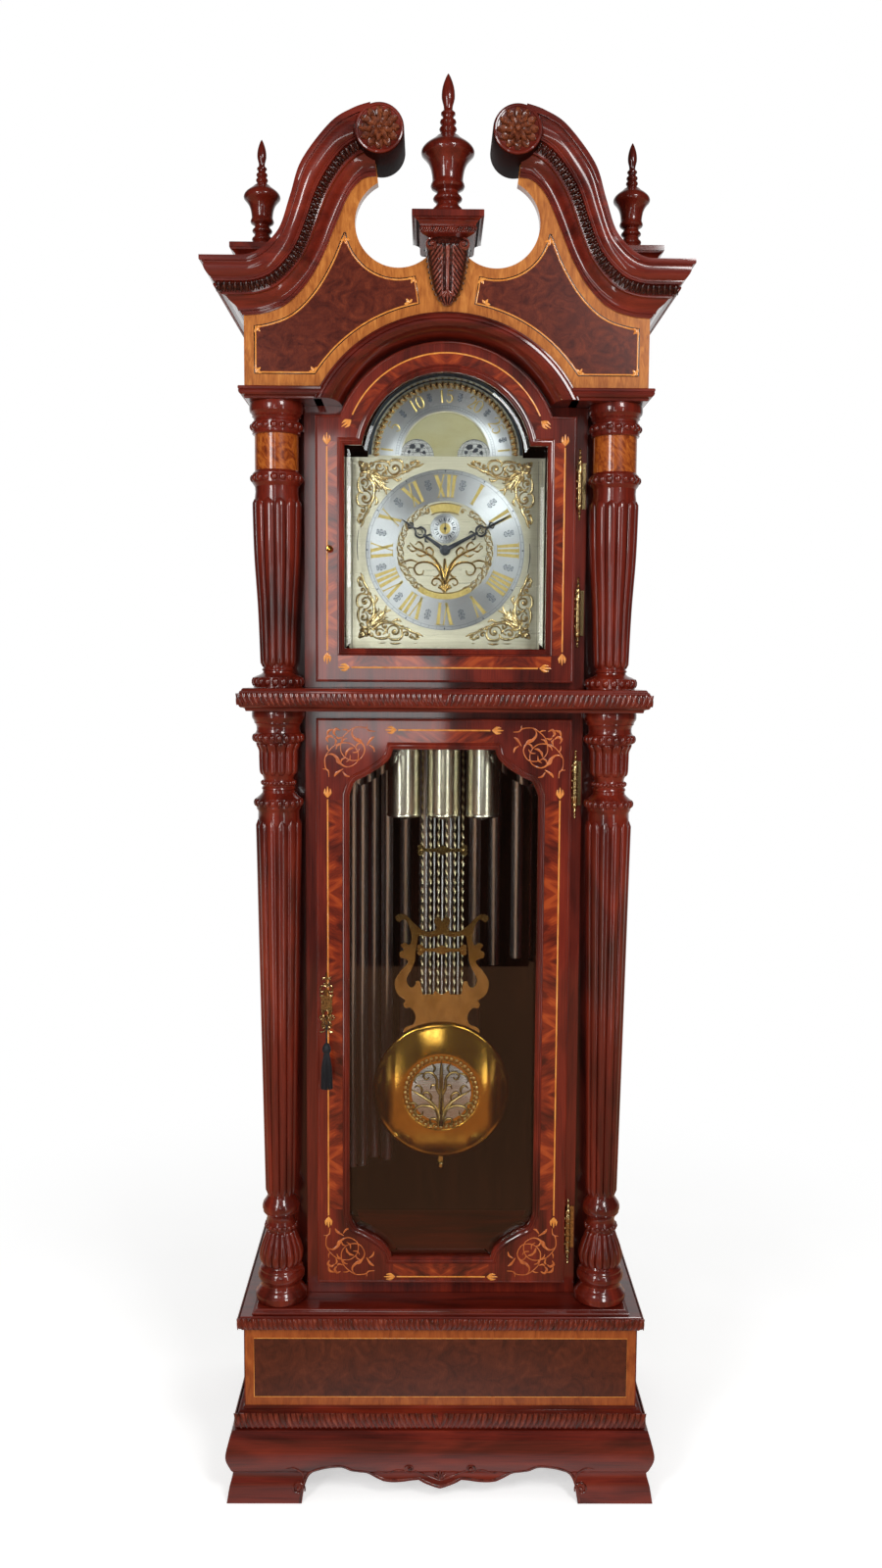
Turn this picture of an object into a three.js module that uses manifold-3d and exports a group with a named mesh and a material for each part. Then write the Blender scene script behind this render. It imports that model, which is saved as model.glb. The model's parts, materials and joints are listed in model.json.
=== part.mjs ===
// Tubular chime grandfather clock, free-standing, in millimetres.
// +Z is up, the clock faces -Y, and the origin is on the floor under the middle of the case.
import * as THREE from 'three';
import { mergeVertices } from 'three/addons/utils/BufferGeometryUtils.js';
import Module from 'manifold-3d';

const wasm = await Module();
wasm.setup();

// Clearances
const seatGap = 0.3;
const runningGap = 0.4;

// Overall levels, floor to finial
const halfDepth = 232;
const ogeeTop = 128;
const plinthTop = 338;
const waistMouldingBottom = 1374;
const waistMouldingHeight = 38;
const corniceBottom = 1880;
const corniceHeight = 20;
const neckTop = 2092;
const finialBlockHeight = 58;
const centreBlockHeight = 73;
const centreFinialHeight = 235.7;
const sideFinialHeight = 180;

// Bracket base and plinth
const ogeeHalfWidth = 371.5;
const ogeeFront = 222;
const baseWall = 26;
const footSpan = 240;
const apronRise = 63;
const apronDrop = 25;
const sideFootLength = 122;
const plinthHalfWidth = 341.5;
const plinthFront = 193;
const plinthWall = 20;
const plinthBoardHalfWidth = 327;
const plinthBoardFront = 197;

// Trunk and hood carcase
const carcaseHalfWidth = 296;
const carcaseFront = 95;
const stileHalfWidth = 237;
const frameFront = 130;
const frameThickness = 20;
const sideWall = 18;
const backThickness = 16;
const waistMouldingHalfWidth = 344;
const waistMouldingFront = 215;
const waistMouldingInset = 128;
const corniceHalfWidth = 337;
const corniceFront = 200;
const corniceDepth = 69.5;

// Columns, each turned from one post
const columnX = 281;
const columnY = -145;
const columnRadius = 44.6;
const columnBaseRadius = 45.3;
const reedCount = 12;
const reedDepth = 4;

// Doors, both overlaid on their frames and hung on the right
const doorThickness = 20;
const doorHalfWidth = 217;
const waistDoorBottom = 366;
const waistDoorTop = 1361;
const waistSightHalfWidth = 162;
const waistSightBottom = 412;
const waistSightTop = 1310;
const waistSightFlat = 88;
const waistSightDrop = 80;
const hoodDoorBottom = 1422;
const hoodDoorShoulder = 1862;
const archCentre = 1793;
const doorArchRadius = 189;
const sightArchRadius = 143;
const sightArchCentre = 1791;
const hoodSightHalfWidth = 170;
const hoodSightBottom = 1477;
const hoodSightShoulder = 1815;
const glassThickness = 4;
const hingePinX = 222.5;
const hingePinSetOut = 1.5;
const hingeBarrelRadius = 4.6;
const hingeBarrelLength = 84;
const hingeFinialLength = 17;
const waistHingeLevels = [461, 1251];
const hoodHingeLevels = [1540, 1751];

// Pediment
const pedimentFront = 186;
const pedimentThickness = 20;
const pedimentHalfWidth = 328;
const hoodArchFrontRadius = 222;
const hoodArchFrontCentre = 1780;
const hoodArchBackRadius = 194;
const hoodArchRimRadius = 238;
const neckSideReach = 64;
const neckHeight = 81;
const voluteX = 108.3;
const voluteRise = 194;
const voluteRadius = 38.9;
const voluteBack = 125;
const boardShare = 0.55;
const finialInset = 15;
const finialY = -60;
const finialBlockHalf = 49;
const finialCentreY = -150;
const finialRadius = 43.5;
const sideFinialRadius = 31;
const bracketCapHeight = 40;
const cutOutX = 79;
const cutOutRise = 65;
const cutOutRadius = 69.5;

// Dial and movement
const dialHalfWidth = 165;
const dialBottom = 1480;
const dialShoulder = 1805;
const dialArchRadius = 140;
const dialFront = 75;
const dialThickness = 2;
const dialCentre = 1648;
const chapterOuter = 137;
const chapterInner = 84;
const secondsOffset = 37;
const moonApertureRadius = 74;
const moonDiscRadius = 108;
const lunarRingOuter = 125;
const globeRadius = 29;
const globeX = 49;
const movementHalfWidth = 105;
const movementTop = 1825;
const plateThickness = 3;
const frontPlateY = -64;
const plateSpacing = 62;
const seatBoardTop = 1520;
const seatBoardThickness = 20;
const hourHandLength = 92;
const minuteHandLength = 128;
const secondsHandLength = 22;

// Weights, pendulum and tubes
const weightPitch = 70.5;
const weightY = -45;
const weightRadius = 30;
const weightBottom = 1182;
const weightLength = 230;
const pulleyRadius = 16;
const pulleyGroove = 13;
const pulleyLift = 34;
const drumRadius = 26;
const drumLevel = 1562;
const cableRadius = 1;
const pendulumY = 15;
const pendulumPivot = 1680;
const suspensionRadius = 6;
const bobLevel = 663;
const bobRadius = 127;
const bobDepth = 20;
const rodTop = 1352;
const rodBottom = 834;
const lyreFoot = 750;
const rodCount = 11;
const rodPitch = 7.4;
const rodRadius = 2.5;
const plateDepth = 2;
const tubeRadius = 11;
const tubeBore = 9.4;
const tubeTop = 1700;
const tubeCentres = [-152, -130, -104, -70, -32, 14, 62, 100, 142];
const tubeBottoms = [485, 491, 497, 540, 590, 645, 700, 874, 894];
const tubeRowFront = 94;
const tubeRowBack = 122;

// Key and knob
const keyX = -198;
const keyLevel = 848;
const keyShankRadius = 2.6;
const keyBowRadius = 9;
const keyBowWidth = 4;
const tasselLoopRadius = 3.1;
const tasselLength = 110;
const knobX = -193;
const knobLevel = 1643;

// Places that follow from the sizes above
const backY = halfDepth;
const backInnerY = halfDepth - backThickness;
const doorBackY = -frameFront - 0.5;
const doorFrontY = doorBackY - doorThickness;
const hingePinY = doorFrontY - hingePinSetOut;
const waistMouldingTop = waistMouldingBottom + waistMouldingHeight;
const corniceTop = corniceBottom + corniceHeight;
const carcaseInnerHalf = carcaseHalfWidth - sideWall;
const voluteLevel = neckTop + voluteRise;
const cutOutLevel = neckTop + cutOutRise;
const finialBlockTop = neckTop + finialBlockHeight;
const centreBlockTop = neckTop + centreBlockHeight;
const finialX = pedimentHalfWidth - finialInset;
const neckFrontY = -halfDepth;
const neckBackY = -pedimentFront - seatGap;
const returnInnerX = pedimentHalfWidth + seatGap;

// Finishes
const finish = (color, roughness, metalness = 0) => ({ color, roughness, metalness });
const mahogany = finish(0x5a1a12, 0.3);
const burl = finish(0x6a2418, 0.3);
const darkWood = finish(0x2a100c, 0.6);
const polishedBrass = finish(0xc79a4b, 0.25, 1);
const dialGold = finish(0xc9b676, 0.35, 1);
const silvered = finish(0xc9ccd0, 0.3, 1);
const chromed = finish(0xb9bec6, 0.15, 1);
const blackened = finish(0x1c1a1a, 0.4, 0.6);
const glazing = finish(0xdfe8e6, 0.05);
const navyThread = finish(0x14182a, 0.9);

// Solid modelling helpers

function toSolid(geometry) {
  const bare = geometry.clone();
  bare.deleteAttribute('normal');
  bare.deleteAttribute('uv');
  const merged = mergeVertices(bare, 1e-3);
  return new wasm.Manifold(new wasm.Mesh({
    numProp: 3,
    vertProperties: new Float32Array(merged.attributes.position.array),
    triVerts: new Uint32Array(merged.index.array),
  }));
}

function toGeometry(solid) {
  const mesh = solid.getMesh();
  const geometry = new THREE.BufferGeometry();
  geometry.setAttribute('position', new THREE.BufferAttribute(new Float32Array(mesh.vertProperties), 3));
  geometry.setIndex(new THREE.BufferAttribute(new Uint32Array(mesh.triVerts), 1));
  geometry.computeVertexNormals();
  return geometry;
}

function join(...geometries) {
  return toGeometry(geometries.map(toSolid).reduce((sum, solid) => sum.add(solid)));
}

function cut(geometry, ...tools) {
  return toGeometry(tools.map(toSolid).reduce((rest, tool) => rest.subtract(tool), toSolid(geometry)));
}

function box(x0, x1, y0, y1, z0, z1) {
  const geometry = new THREE.BoxGeometry(x1 - x0, y1 - y0, z1 - z0);
  geometry.translate((x0 + x1) / 2, (y0 + y1) / 2, (z0 + z1) / 2);
  return geometry;
}

// A shape drawn in the X-Z plane, given depth from y0 (front) to y1 (back).
function panel(shape, y0, y1, curveSegments = 12) {
  const geometry = new THREE.ExtrudeGeometry(shape, { depth: y1 - y0, bevelEnabled: false, curveSegments });
  geometry.rotateX(Math.PI / 2);
  geometry.translate(0, y1, 0);
  return geometry;
}

// A shape drawn in the X-Y plane, given height from z0 to z1.
function plan(shape, z0, z1, curveSegments = 12) {
  const geometry = new THREE.ExtrudeGeometry(shape, { depth: z1 - z0, bevelEnabled: false, curveSegments });
  geometry.translate(0, 0, z0);
  return geometry;
}

function polygon(points) {
  const shape = new THREE.Shape();
  points.forEach(([x, y], i) => (i ? shape.lineTo(x, y) : shape.moveTo(x, y)));
  shape.closePath();
  return shape;
}

// A turning: outline points are [radius, height] from one end of the axis to the other.
function turned(outline, sides, x = 0, y = 0, z = 0) {
  const points = outline.map(([r, h]) => new THREE.Vector2(r, h));
  points.unshift(new THREE.Vector2(0, outline[0][1]));
  points.push(new THREE.Vector2(0, outline[outline.length - 1][1]));
  const geometry = new THREE.LatheGeometry(points, sides);
  geometry.rotateX(Math.PI / 2);
  geometry.translate(x, y, z);
  return outward(geometry);
}

// The same turning with its axis along Y: outline points are [radius, y].
function turnedAlongY(outline, sides, x, z) {
  const points = outline.map(([r, y]) => new THREE.Vector2(r, y));
  points.unshift(new THREE.Vector2(0, outline[0][1]));
  points.push(new THREE.Vector2(0, outline[outline.length - 1][1]));
  const geometry = new THREE.LatheGeometry(points, sides);
  geometry.translate(x, 0, z);
  return outward(geometry);
}

// Turns a closed geometry the right way out, whichever way its outline was drawn.
function outward(geometry) {
  const bare = geometry.clone();
  bare.deleteAttribute('normal');
  bare.deleteAttribute('uv');
  const merged = mergeVertices(bare, 1e-3);
  const index = [];
  const a = new THREE.Vector3();
  const b = new THREE.Vector3();
  const c = new THREE.Vector3();
  let volume = 0;
  for (let i = 0; i < merged.index.count; i += 3) {
    const [p, q, r] = [merged.index.getX(i), merged.index.getX(i + 1), merged.index.getX(i + 2)];
    if (p === q || q === r || r === p) {
      continue;
    }
    index.push(p, q, r);
    a.fromBufferAttribute(merged.attributes.position, p);
    b.fromBufferAttribute(merged.attributes.position, q);
    c.fromBufferAttribute(merged.attributes.position, r);
    volume += a.dot(b.cross(c));
  }
  merged.setIndex(volume < 0 ? index.reverse() : index);
  merged.computeVertexNormals();
  return merged;
}

// A solid between rings of points; the ends are closed over the flat outline of the section.
function loft(rings, outline) {
  const count = outline.length;
  const positions = rings.flat().flatMap((p) => [p.x, p.y, p.z]);
  const index = [];
  for (let s = 0; s + 1 < rings.length; s += 1) {
    for (let i = 0; i < count; i += 1) {
      const j = (i + 1) % count;
      const [a, b, c, d] = [s * count + i, s * count + j, (s + 1) * count + j, (s + 1) * count + i];
      index.push(a, b, c, a, c, d);
    }
  }
  const last = (rings.length - 1) * count;
  const clockwise = THREE.ShapeUtils.isClockWise(outline);
  for (const [i, p, q] of THREE.ShapeUtils.triangulateShape(outline, [])) {
    const [j, k] = clockwise ? [q, p] : [p, q];
    index.push(i, k, j, last + i, last + j, last + k);
  }
  const geometry = new THREE.BufferGeometry();
  geometry.setAttribute('position', new THREE.Float32BufferAttribute(positions, 3));
  geometry.setIndex(index);
  return outward(geometry);
}

const flatOutline = (section) => section.map(([u, v]) => new THREE.Vector2(u, v));

// A moulding round the left side, front and right side, mitred at the two front corners.
// Section points are [distance out from the reference face, height].
function mitred(section, halfWidth, front, back) {
  const corners = [[-1, 0], [-1, 1], [1, 1], [1, 0]];
  const rings = corners.map(([side, atFront]) => section.map(([out, height]) => new THREE.Vector3(
    side * (halfWidth + out),
    atFront ? -(front + out) : back,
    height,
  )));
  return loft(rings, flatOutline(section));
}

// Points along a smooth curve through the given points.
function smooth(points, steps) {
  const curve = new THREE.SplineCurve(points.map(([x, y]) => new THREE.Vector2(x, y)));
  return curve.getPoints(steps).map((p) => [p.x, p.y]);
}

const mirrored = (points) => points.map(([x, z]) => [-x, z]).reverse();

// A turned post with reeded lengths. Stations are [radius, height, depth of the reeds], foot to top:
// plain lengths have no depth, and reeded ones a crest for each reed with a valley between.
function reededPost(stations, count, x, y) {
  const total = count * 2;
  const rings = stations.map(([radius, height, depth = 0]) => Array.from({ length: total }, (unused, i) => {
    const angle = ((i + 0.5) / total) * 2 * Math.PI;
    const r = i % 2 ? radius : radius - depth;
    return new THREE.Vector3(x + r * Math.cos(angle), y + r * Math.sin(angle), height);
  }));
  return loft(rings, rings[0].map((p) => new THREE.Vector2(p.x - x, p.y - y)));
}

// Part builders

const clock = new THREE.Group();

function add(name, geometry, { color, roughness, metalness }) {
  const mesh = new THREE.Mesh(geometry, new THREE.MeshStandardMaterial({ color, roughness, metalness }));
  mesh.name = name;
  clock.add(mesh);
  return mesh;
}

// The ogee-sided bracket base with its scrolled apron, open inside and at the back.
function bracketBase() {
  const swell = smooth([[-11, 128], [-5.5, 112], [0, 84], [-7.5, 58], [-11.5, 48], [-6, 28], [-1.5, 0]], 11);
  const outer = swell.map(([out, height]) => [out, height * (ogeeTop / 128)]);
  const section = [[-baseWall, 0], [-baseWall, ogeeTop], ...outer];
  const body = mitred(section, ogeeHalfWidth, ogeeFront, backY);
  const half = [
    [footSpan, -1],
    [footSpan - 4, 26],
    [footSpan - 14, 46],
    [footSpan - 36, 59],
    [160, apronRise],
    [124, 55],
    [98, 37],
    [76, 47],
    [46, 43],
    [20, 29],
  ];
  const apron = polygon([...half, [0, apronDrop], ...mirrored(half)]);
  const frontCut = panel(apron, -ogeeFront - 1, -ogeeFront + baseWall + 14, 4);
  const middle = (backY - ogeeFront) / 2;
  const reach = (backY + ogeeFront) / 2 - sideFootLength;
  const arch = new THREE.Shape();
  arch.moveTo(middle - reach, -1);
  arch.bezierCurveTo(middle - reach + 8, 50, middle - reach + 30, apronRise, middle - reach + 70, apronRise);
  arch.lineTo(middle + reach - 70, apronRise);
  arch.bezierCurveTo(middle + reach - 30, apronRise, middle + reach - 8, 50, middle + reach, -1);
  arch.closePath();
  const sideCut = panel(arch, -ogeeHalfWidth - 1, ogeeHalfWidth + 1, 5);
  sideCut.rotateZ(Math.PI / 2);

  return cut(body, frontCut, sideCut);
}

// The plinth case: lower carved moulding, panelled box, upper carved moulding and the top board.
function plinth() {
  const bottom = ogeeTop + seatGap;
  const under = plinthTop - 10;
  const section = [
    [-plinthWall, bottom],
    [12, bottom],
    [17.5, bottom + 6],
    [17.5, bottom + 18],
    [12, bottom + 28],
    [2, bottom + 32],
    [0, bottom + 36],
    [0, under - 27],
    [2, under - 24],
    [9, under - 20],
    [12, under - 10],
    [9, under - 2],
    [4, under],
    [-plinthWall, under],
  ];
  const walls = mitred(section, plinthHalfWidth, plinthFront, backY);
  const board = [
    [-40, under - 12],
    [-15, under - 12],
    [-15, under],
    [-1, under],
    [0, under + 3],
    [0, plinthTop - 2],
    [-2, plinthTop],
    [-40, plinthTop],
  ];
  const rim = mitred(board, plinthBoardHalfWidth, plinthBoardFront, backY);
  const inner = plinthBoardHalfWidth - 39;
  const field = box(-inner, inner, -plinthBoardFront + 39, backY, under - 12, plinthTop);
  return join(walls, rim, field);
}

// One side of the carcase: set back at the front so that a full column stands in the corner.
function carcaseSide(side, z0, z1) {
  const corner = [
    [carcaseHalfWidth, backInnerY - seatGap],
    [carcaseHalfWidth, -carcaseFront],
    [stileHalfWidth, -carcaseFront],
    [stileHalfWidth, -frameFront + frameThickness + seatGap],
    [stileHalfWidth - sideWall, -frameFront + frameThickness + seatGap],
    [stileHalfWidth - sideWall, -carcaseFront + sideWall],
    [carcaseInnerHalf, -carcaseFront + sideWall],
    [carcaseInnerHalf, backInnerY - seatGap],
  ];
  return outward(plan(polygon(corner.map(([x, y]) => [side * x, y])), z0, z1));
}

// A hood side has a cleat along its inner face for the seat board.
function hoodSide(side) {
  const wall = carcaseSide(side, waistMouldingTop + seatGap, corniceBottom - seatGap);
  const top = seatBoardTop - seatBoardThickness - seatGap;
  const [near, far] = [side * (carcaseInnerHalf - 16), side * (carcaseInnerHalf + 1)];
  return join(wall, box(Math.min(near, far), Math.max(near, far), frontPlateY - 6, 66, top - 20, top));
}

// A full-height back board closes trunk and hood.
function backPanel() {
  return box(
    -carcaseHalfWidth,
    carcaseHalfWidth,
    backInnerY,
    backY,
    plinthTop + seatGap,
    corniceBottom - seatGap,
  );
}

// The sight opening of the waist door: straight sides, with a serpentine at each corner.
function waistSight(inset, steps) {
  const w = waistSightHalfWidth - inset;
  const f = waistSightFlat - inset * 0.4;
  const top = waistSightTop - inset;
  const bottom = waistSightBottom + inset;
  const d = waistSightDrop;
  const middleX = w - 27;
  const corner = smooth([
    [f, top],
    [f + 5, top - 15],
    [f + 20, top - 30],
    [middleX, top - 47],
    [w - 10, top - 56],
    [w, top - d],
  ], steps);
  const level = (top + bottom) / 2;
  const lower = corner.map(([x, z]) => [x, 2 * level - z]).reverse();
  const right = [...corner, ...lower];
  return [...right, ...mirrored(right)];
}

function trunkFrontFrame() {
  const w = stileHalfWidth;
  const shape = polygon([
    [-w, plinthTop + seatGap],
    [w, plinthTop + seatGap],
    [w, waistMouldingBottom - seatGap],
    [-w, waistMouldingBottom - seatGap],
  ]);
  const rebate = 9;
  const x = waistSightHalfWidth + rebate;
  shape.holes.push(polygon([
    [-x, waistSightBottom - rebate],
    [-x, waistSightTop + rebate],
    [x, waistSightTop + rebate],
    [x, waistSightBottom - rebate],
  ]));
  return outward(panel(shape, -frameFront, -frameFront + frameThickness));
}

// The carved belt between trunk and hood, open in the middle for weights, pendulum and tubes.
function waistMoulding() {
  const z = waistMouldingBottom;
  const section = [
    [-waistMouldingInset, z],
    [-14, z],
    [-12, z + 6],
    [-5, z + 9],
    [-1, z + 14],
    [0, z + 22],
    [-2, z + 30],
    [-8, z + 36],
    [-12, z + waistMouldingHeight],
    [-waistMouldingInset, z + waistMouldingHeight],
  ];
  return mitred(section, waistMouldingHalfWidth, waistMouldingFront, backInnerY - seatGap);
}

// Outline of the hood door: square shoulders under a round arch.
function archedOutline(halfWidth, bottom, shoulder, radius, centre, steps) {
  const spring = Math.asin((shoulder - centre) / radius);
  const arc = Array.from({ length: steps + 1 }, (unused, i) => {
    const angle = spring + ((Math.PI - 2 * spring) * i) / steps;
    return [radius * Math.cos(angle), centre + radius * Math.sin(angle)];
  });
  return [[-halfWidth, bottom], [halfWidth, bottom], [halfWidth, shoulder], ...arc, [-halfWidth, shoulder]];
}

function hoodFrontFrame() {
  const w = stileHalfWidth;
  const shape = polygon(archedOutline(
    w,
    waistMouldingTop + seatGap,
    corniceBottom - seatGap,
    hoodArchRimRadius - 6,
    hoodArchFrontCentre,
    20,
  ));
  const rebate = 5;
  shape.holes.push(polygon(archedOutline(
    hoodSightHalfWidth + rebate,
    hoodSightBottom - rebate,
    hoodSightShoulder + rebate,
    sightArchRadius + rebate,
    sightArchCentre,
    16,
  ).reverse()));
  return outward(panel(shape, -frameFront, -frameFront + frameThickness));
}

// The hood's lower cornice with the arched moulding that flares forward over the door.
function hoodCornice() {
  const z = corniceBottom;
  const strip = [
    [-corniceDepth, z],
    [-10, z],
    [-8, z + 5],
    [-1, z + 8],
    [0, z + 14],
    [-3, z + 18],
    [-9, z + corniceHeight],
    [-corniceDepth, z + corniceHeight],
  ];
  const body = mitred(strip, corniceHalfWidth, corniceFront, backY);
  const steps = 16;
  const backFaceY = -frameFront - 0.8;
  const depth = corniceFront + backFaceY;
  const flare = [0, 0.5, 0.85, 1].map((t) => {
    const spread = 1 - Math.sqrt(1 - t * t);
    const radius = hoodArchBackRadius + (hoodArchFrontRadius - hoodArchBackRadius) * spread;
    const centre = archCentre + (hoodArchFrontCentre - archCentre) * spread;
    return [radius, centre, backFaceY - depth * t];
  });
  const rim = [
    [hoodArchFrontRadius + 9, hoodArchFrontCentre, -corniceFront],
    [hoodArchRimRadius, hoodArchFrontCentre, -corniceFront + 6],
    [hoodArchRimRadius, hoodArchFrontCentre, backFaceY],
  ];
  const section = [...flare, ...rim];
  const spring = corniceBottom;
  const rings = Array.from({ length: steps + 1 }, (unused, i) => section.map(([radius, centre, y]) => {
    const start = Math.asin((spring - centre) / radius);
    const angle = start + ((Math.PI - 2 * start) * i) / steps;
    return new THREE.Vector3(radius * Math.cos(angle), y, centre + radius * Math.sin(angle));
  }));
  const arch = loft(rings, section.map(([radius, centre, y]) => new THREE.Vector2(radius, y)));
  const clear = new THREE.Shape();
  clear.absarc(0, hoodArchFrontCentre, hoodArchFrontRadius + 8, 0, 2 * Math.PI, false);
  const opening = panel(clear, -corniceFront - 2, -corniceFront + corniceDepth + 2, 16);
  return join(cut(body, opening), arch);
}

// The swan neck's lower edge, from the horn at the side up to the volute.
function neckLowerEdge(steps) {
  const level = neckTop - neckHeight;
  const end = voluteLevel - voluteRadius - 19;
  return smooth([
    [returnInnerX, level],
    [returnInnerX - 33, level + 3.5],
    [returnInnerX - 69, level + 17.5],
    [returnInnerX - 101, level + 49],
    [voluteX + 93, level + 91],
    [voluteX + 72, level + 140],
    [voluteX + 50, end - 29],
    [voluteX + 28, end - 5],
    [voluteX + 6, end],
  ], steps);
}

// Its upper edge, point for point with the lower one.
function neckUpperEdge(steps) {
  const end = voluteLevel + voluteRadius;
  return smooth([
    [returnInnerX, neckTop],
    [returnInnerX - 12, neckTop + 1],
    [returnInnerX - 28, neckTop + 7],
    [returnInnerX - 45, neckTop + 20],
    [voluteX + 155, neckTop + 45],
    [voluteX + 139, neckTop + 92],
    [voluteX + 121, neckTop + 144],
    [voluteX + 77, end - 33],
    [voluteX + 24, end - 5],
  ], steps);
}

// Points between the two edges: share 0 lies on the lower edge, 1 on the upper.
function neckBetween(share, steps) {
  const upper = neckUpperEdge(steps);
  return neckLowerEdge(steps).map(([x, z], i) => [
    x + (upper[i][0] - x) * share,
    z + (upper[i][1] - z) * share,
  ]);
}

function pedimentBoard() {
  const postTop = centreBlockTop - bracketCapHeight - seatGap;
  const postAngle = 180 + THREE.MathUtils.radToDeg(Math.asin((cutOutLevel - postTop) / cutOutRadius));
  const tipAngle = 62;
  const steps = 14;
  const round = Array.from({ length: steps + 1 }, (unused, i) => {
    const angle = THREE.MathUtils.degToRad(tipAngle - ((360 - postAngle + tipAngle) * i) / steps);
    return [cutOutX + cutOutRadius * Math.cos(angle), cutOutLevel + cutOutRadius * Math.sin(angle)];
  });
  const rise = neckBetween(boardShare, 10);
  const right = [
    [pedimentHalfWidth, corniceTop + seatGap],
    [pedimentHalfWidth, rise[0][1]],
    ...rise.slice(1),
    ...round,
  ];
  const outline = polygon([...right, ...mirrored(right)]);
  const board = outward(panel(outline, -pedimentFront, -pedimentFront + pedimentThickness));
  const facets = 24;
  const clear = new THREE.Shape();
  const clearRadius = (hoodArchRimRadius + seatGap) / Math.cos(Math.PI / (2 * facets));
  clear.absarc(0, hoodArchFrontCentre, clearRadius, 0, 2 * Math.PI, false);
  const arch = panel(clear, -pedimentFront - 1, -pedimentFront + pedimentThickness + 1, facets);
  const seats = [-1, 1].map((side) => turnedAlongY([
    [voluteRadius + seatGap, -pedimentFront - 1],
    [voluteRadius + seatGap, -pedimentFront + pedimentThickness + 1],
  ], 18, side * voluteX, voluteLevel));
  return cut(board, arch, ...seats);
}

// Profile of the swan-neck moulding: [share of its reach, drop from its top edge].
const neckProfile = [
  [1, 0],
  [1, 8],
  [0.9, 12],
  [0.82, 21],
  [0.77, 30],
  [0.6, 37],
  [0.58, 42],
  [0.49, 50],
  [0.37, 55],
  [0.22, 60],
  [0.13, 71],
  [0.1, 77],
];

// A wedge that keeps one side of the mitre between the front moulding and its side return.
function mitreWedge(keepFront) {
  const span = 11;
  const reach = neckBackY - neckFrontY;
  const inner = [returnInnerX - neckSideReach * span, neckBackY + reach * span];
  const outer = [returnInnerX + neckSideReach * span, neckBackY - reach * span];
  const shift = (keepFront ? -1 : 1) * seatGap * 0.65;
  const far = keepFront ? [inner[0], outer[1]] : [outer[0], inner[1]];
  const shape = polygon([inner, outer, far].map(([x, y]) => [x, y + shift]));
  return outward(plan(shape, neckTop - neckHeight * 2, voluteLevel + voluteRadius * 2));
}

// The carved swan neck: moulding, volute cylinder and petalled rosette.
function gooseneck(side) {
  const steps = 12;
  const lower = neckLowerEdge(steps);
  const upper = neckUpperEdge(steps);
  const beyond = returnInnerX + neckSideReach + 20;
  lower.unshift([beyond, lower[0][1]]);
  upper.unshift([beyond, upper[0][1]]);
  const reach = neckBackY - neckFrontY;
  const section = [[0, 0], ...neckProfile, [0, neckHeight]].map(([share, drop]) => [
    share * reach,
    1 - drop / neckHeight,
  ]);
  const rings = lower.map(([x, z], i) => section.map(([forward, share]) => new THREE.Vector3(
    x + (upper[i][0] - x) * share,
    neckBackY - forward,
    z + (upper[i][1] - z) * share,
  )));
  const moulding = loft(rings, flatOutline(section.map(([forward, share]) => [forward, share * neckHeight])));
  const body = toGeometry(toSolid(moulding).intersect(toSolid(mitreWedge(true))));
  const volute = turnedAlongY([
    [voluteRadius, -voluteBack],
    [voluteRadius, neckFrontY + 3],
    [voluteRadius - 3, neckFrontY],
    [voluteRadius - 8, neckFrontY + 2],
  ], 18, voluteX, voluteLevel);
  const whole = join(body, volute, rosette(12, voluteRadius - 7, 4));
  return side > 0 ? whole : mirrorX(whole);
}

// A domed flower with pointed petals, facing forward.
function rosette(count, radius, rise) {
  const rings = [
    [radius, rise * 0.9],
    [radius * 0.9, rise * 0.3],
    [radius * 0.2, rise * 0.5],
  ].map(([r, y], level) => Array.from({ length: count * 2 }, (unused, i) => {
    const angle = (i / (count * 2)) * 2 * Math.PI;
    const notch = i % 2 && level < 2 ? 0.86 : 1;
    return new THREE.Vector3(
      voluteX + r * notch * Math.cos(angle),
      neckFrontY + y,
      voluteLevel + r * notch * Math.sin(angle),
    );
  }));
  return loft(rings, rings[0].map((p) => new THREE.Vector2(p.x, p.z)));
}

function mirrorX(geometry) {
  const copy = geometry.clone();
  copy.scale(-1, 1, 1);
  return outward(copy);
}

// The top of the hood: side friezes, side returns of the swan-neck moulding, roof and finial blocks.
function hoodTop() {
  const front = -pedimentFront + pedimentThickness + seatGap;
  const roofZ = neckTop - 14;
  const wall = 16;
  const outer = returnInnerX + 1;
  const bottom = corniceTop + seatGap;
  const roof = box(-outer, outer, front, backY, roofZ, neckTop);
  const friezes = [-1, 1].map((side) => {
    const [near, far] = [side * (outer - wall), side * outer];
    return box(Math.min(near, far), Math.max(near, far), front, backY, bottom, roofZ + 1);
  });
  const back = box(-outer, outer, backInnerY, backY, bottom, roofZ + 1);
  const tail = corniceHalfWidth - corniceDepth - seatGap;
  const backFoot = box(-tail, tail, backInnerY, backY, corniceBottom + seatGap, bottom + 1);
  const section = [[0, 0], ...neckProfile, [0, neckHeight]].map(([share, drop]) => [
    share * (neckSideReach - seatGap),
    neckTop - drop,
  ]);
  const returns = [-1, 1].map((side) => {
    const rings = [neckFrontY - 5, backY].map((y) => section.map(([out, z]) => new THREE.Vector3(
      returnInnerX + out,
      y,
      z,
    )));
    const kept = toGeometry(toSolid(loft(rings, flatOutline(section))).intersect(toSolid(mitreWedge(false))));
    return side > 0 ? kept : mirrorX(kept);
  });
  const blocks = [-1, 1].map((side) => finialBlock(
    side * finialX,
    finialY,
    neckTop - 1,
    finialBlockTop,
    finialBlockHalf,
  ));
  const shelf = box(-16, 16, front, finialCentreY + 60, neckTop - 1, centreBlockTop - bracketCapHeight - seatGap);
  return join(roof, ...friezes, back, backFoot, ...returns, ...blocks, shelf);
}

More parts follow.
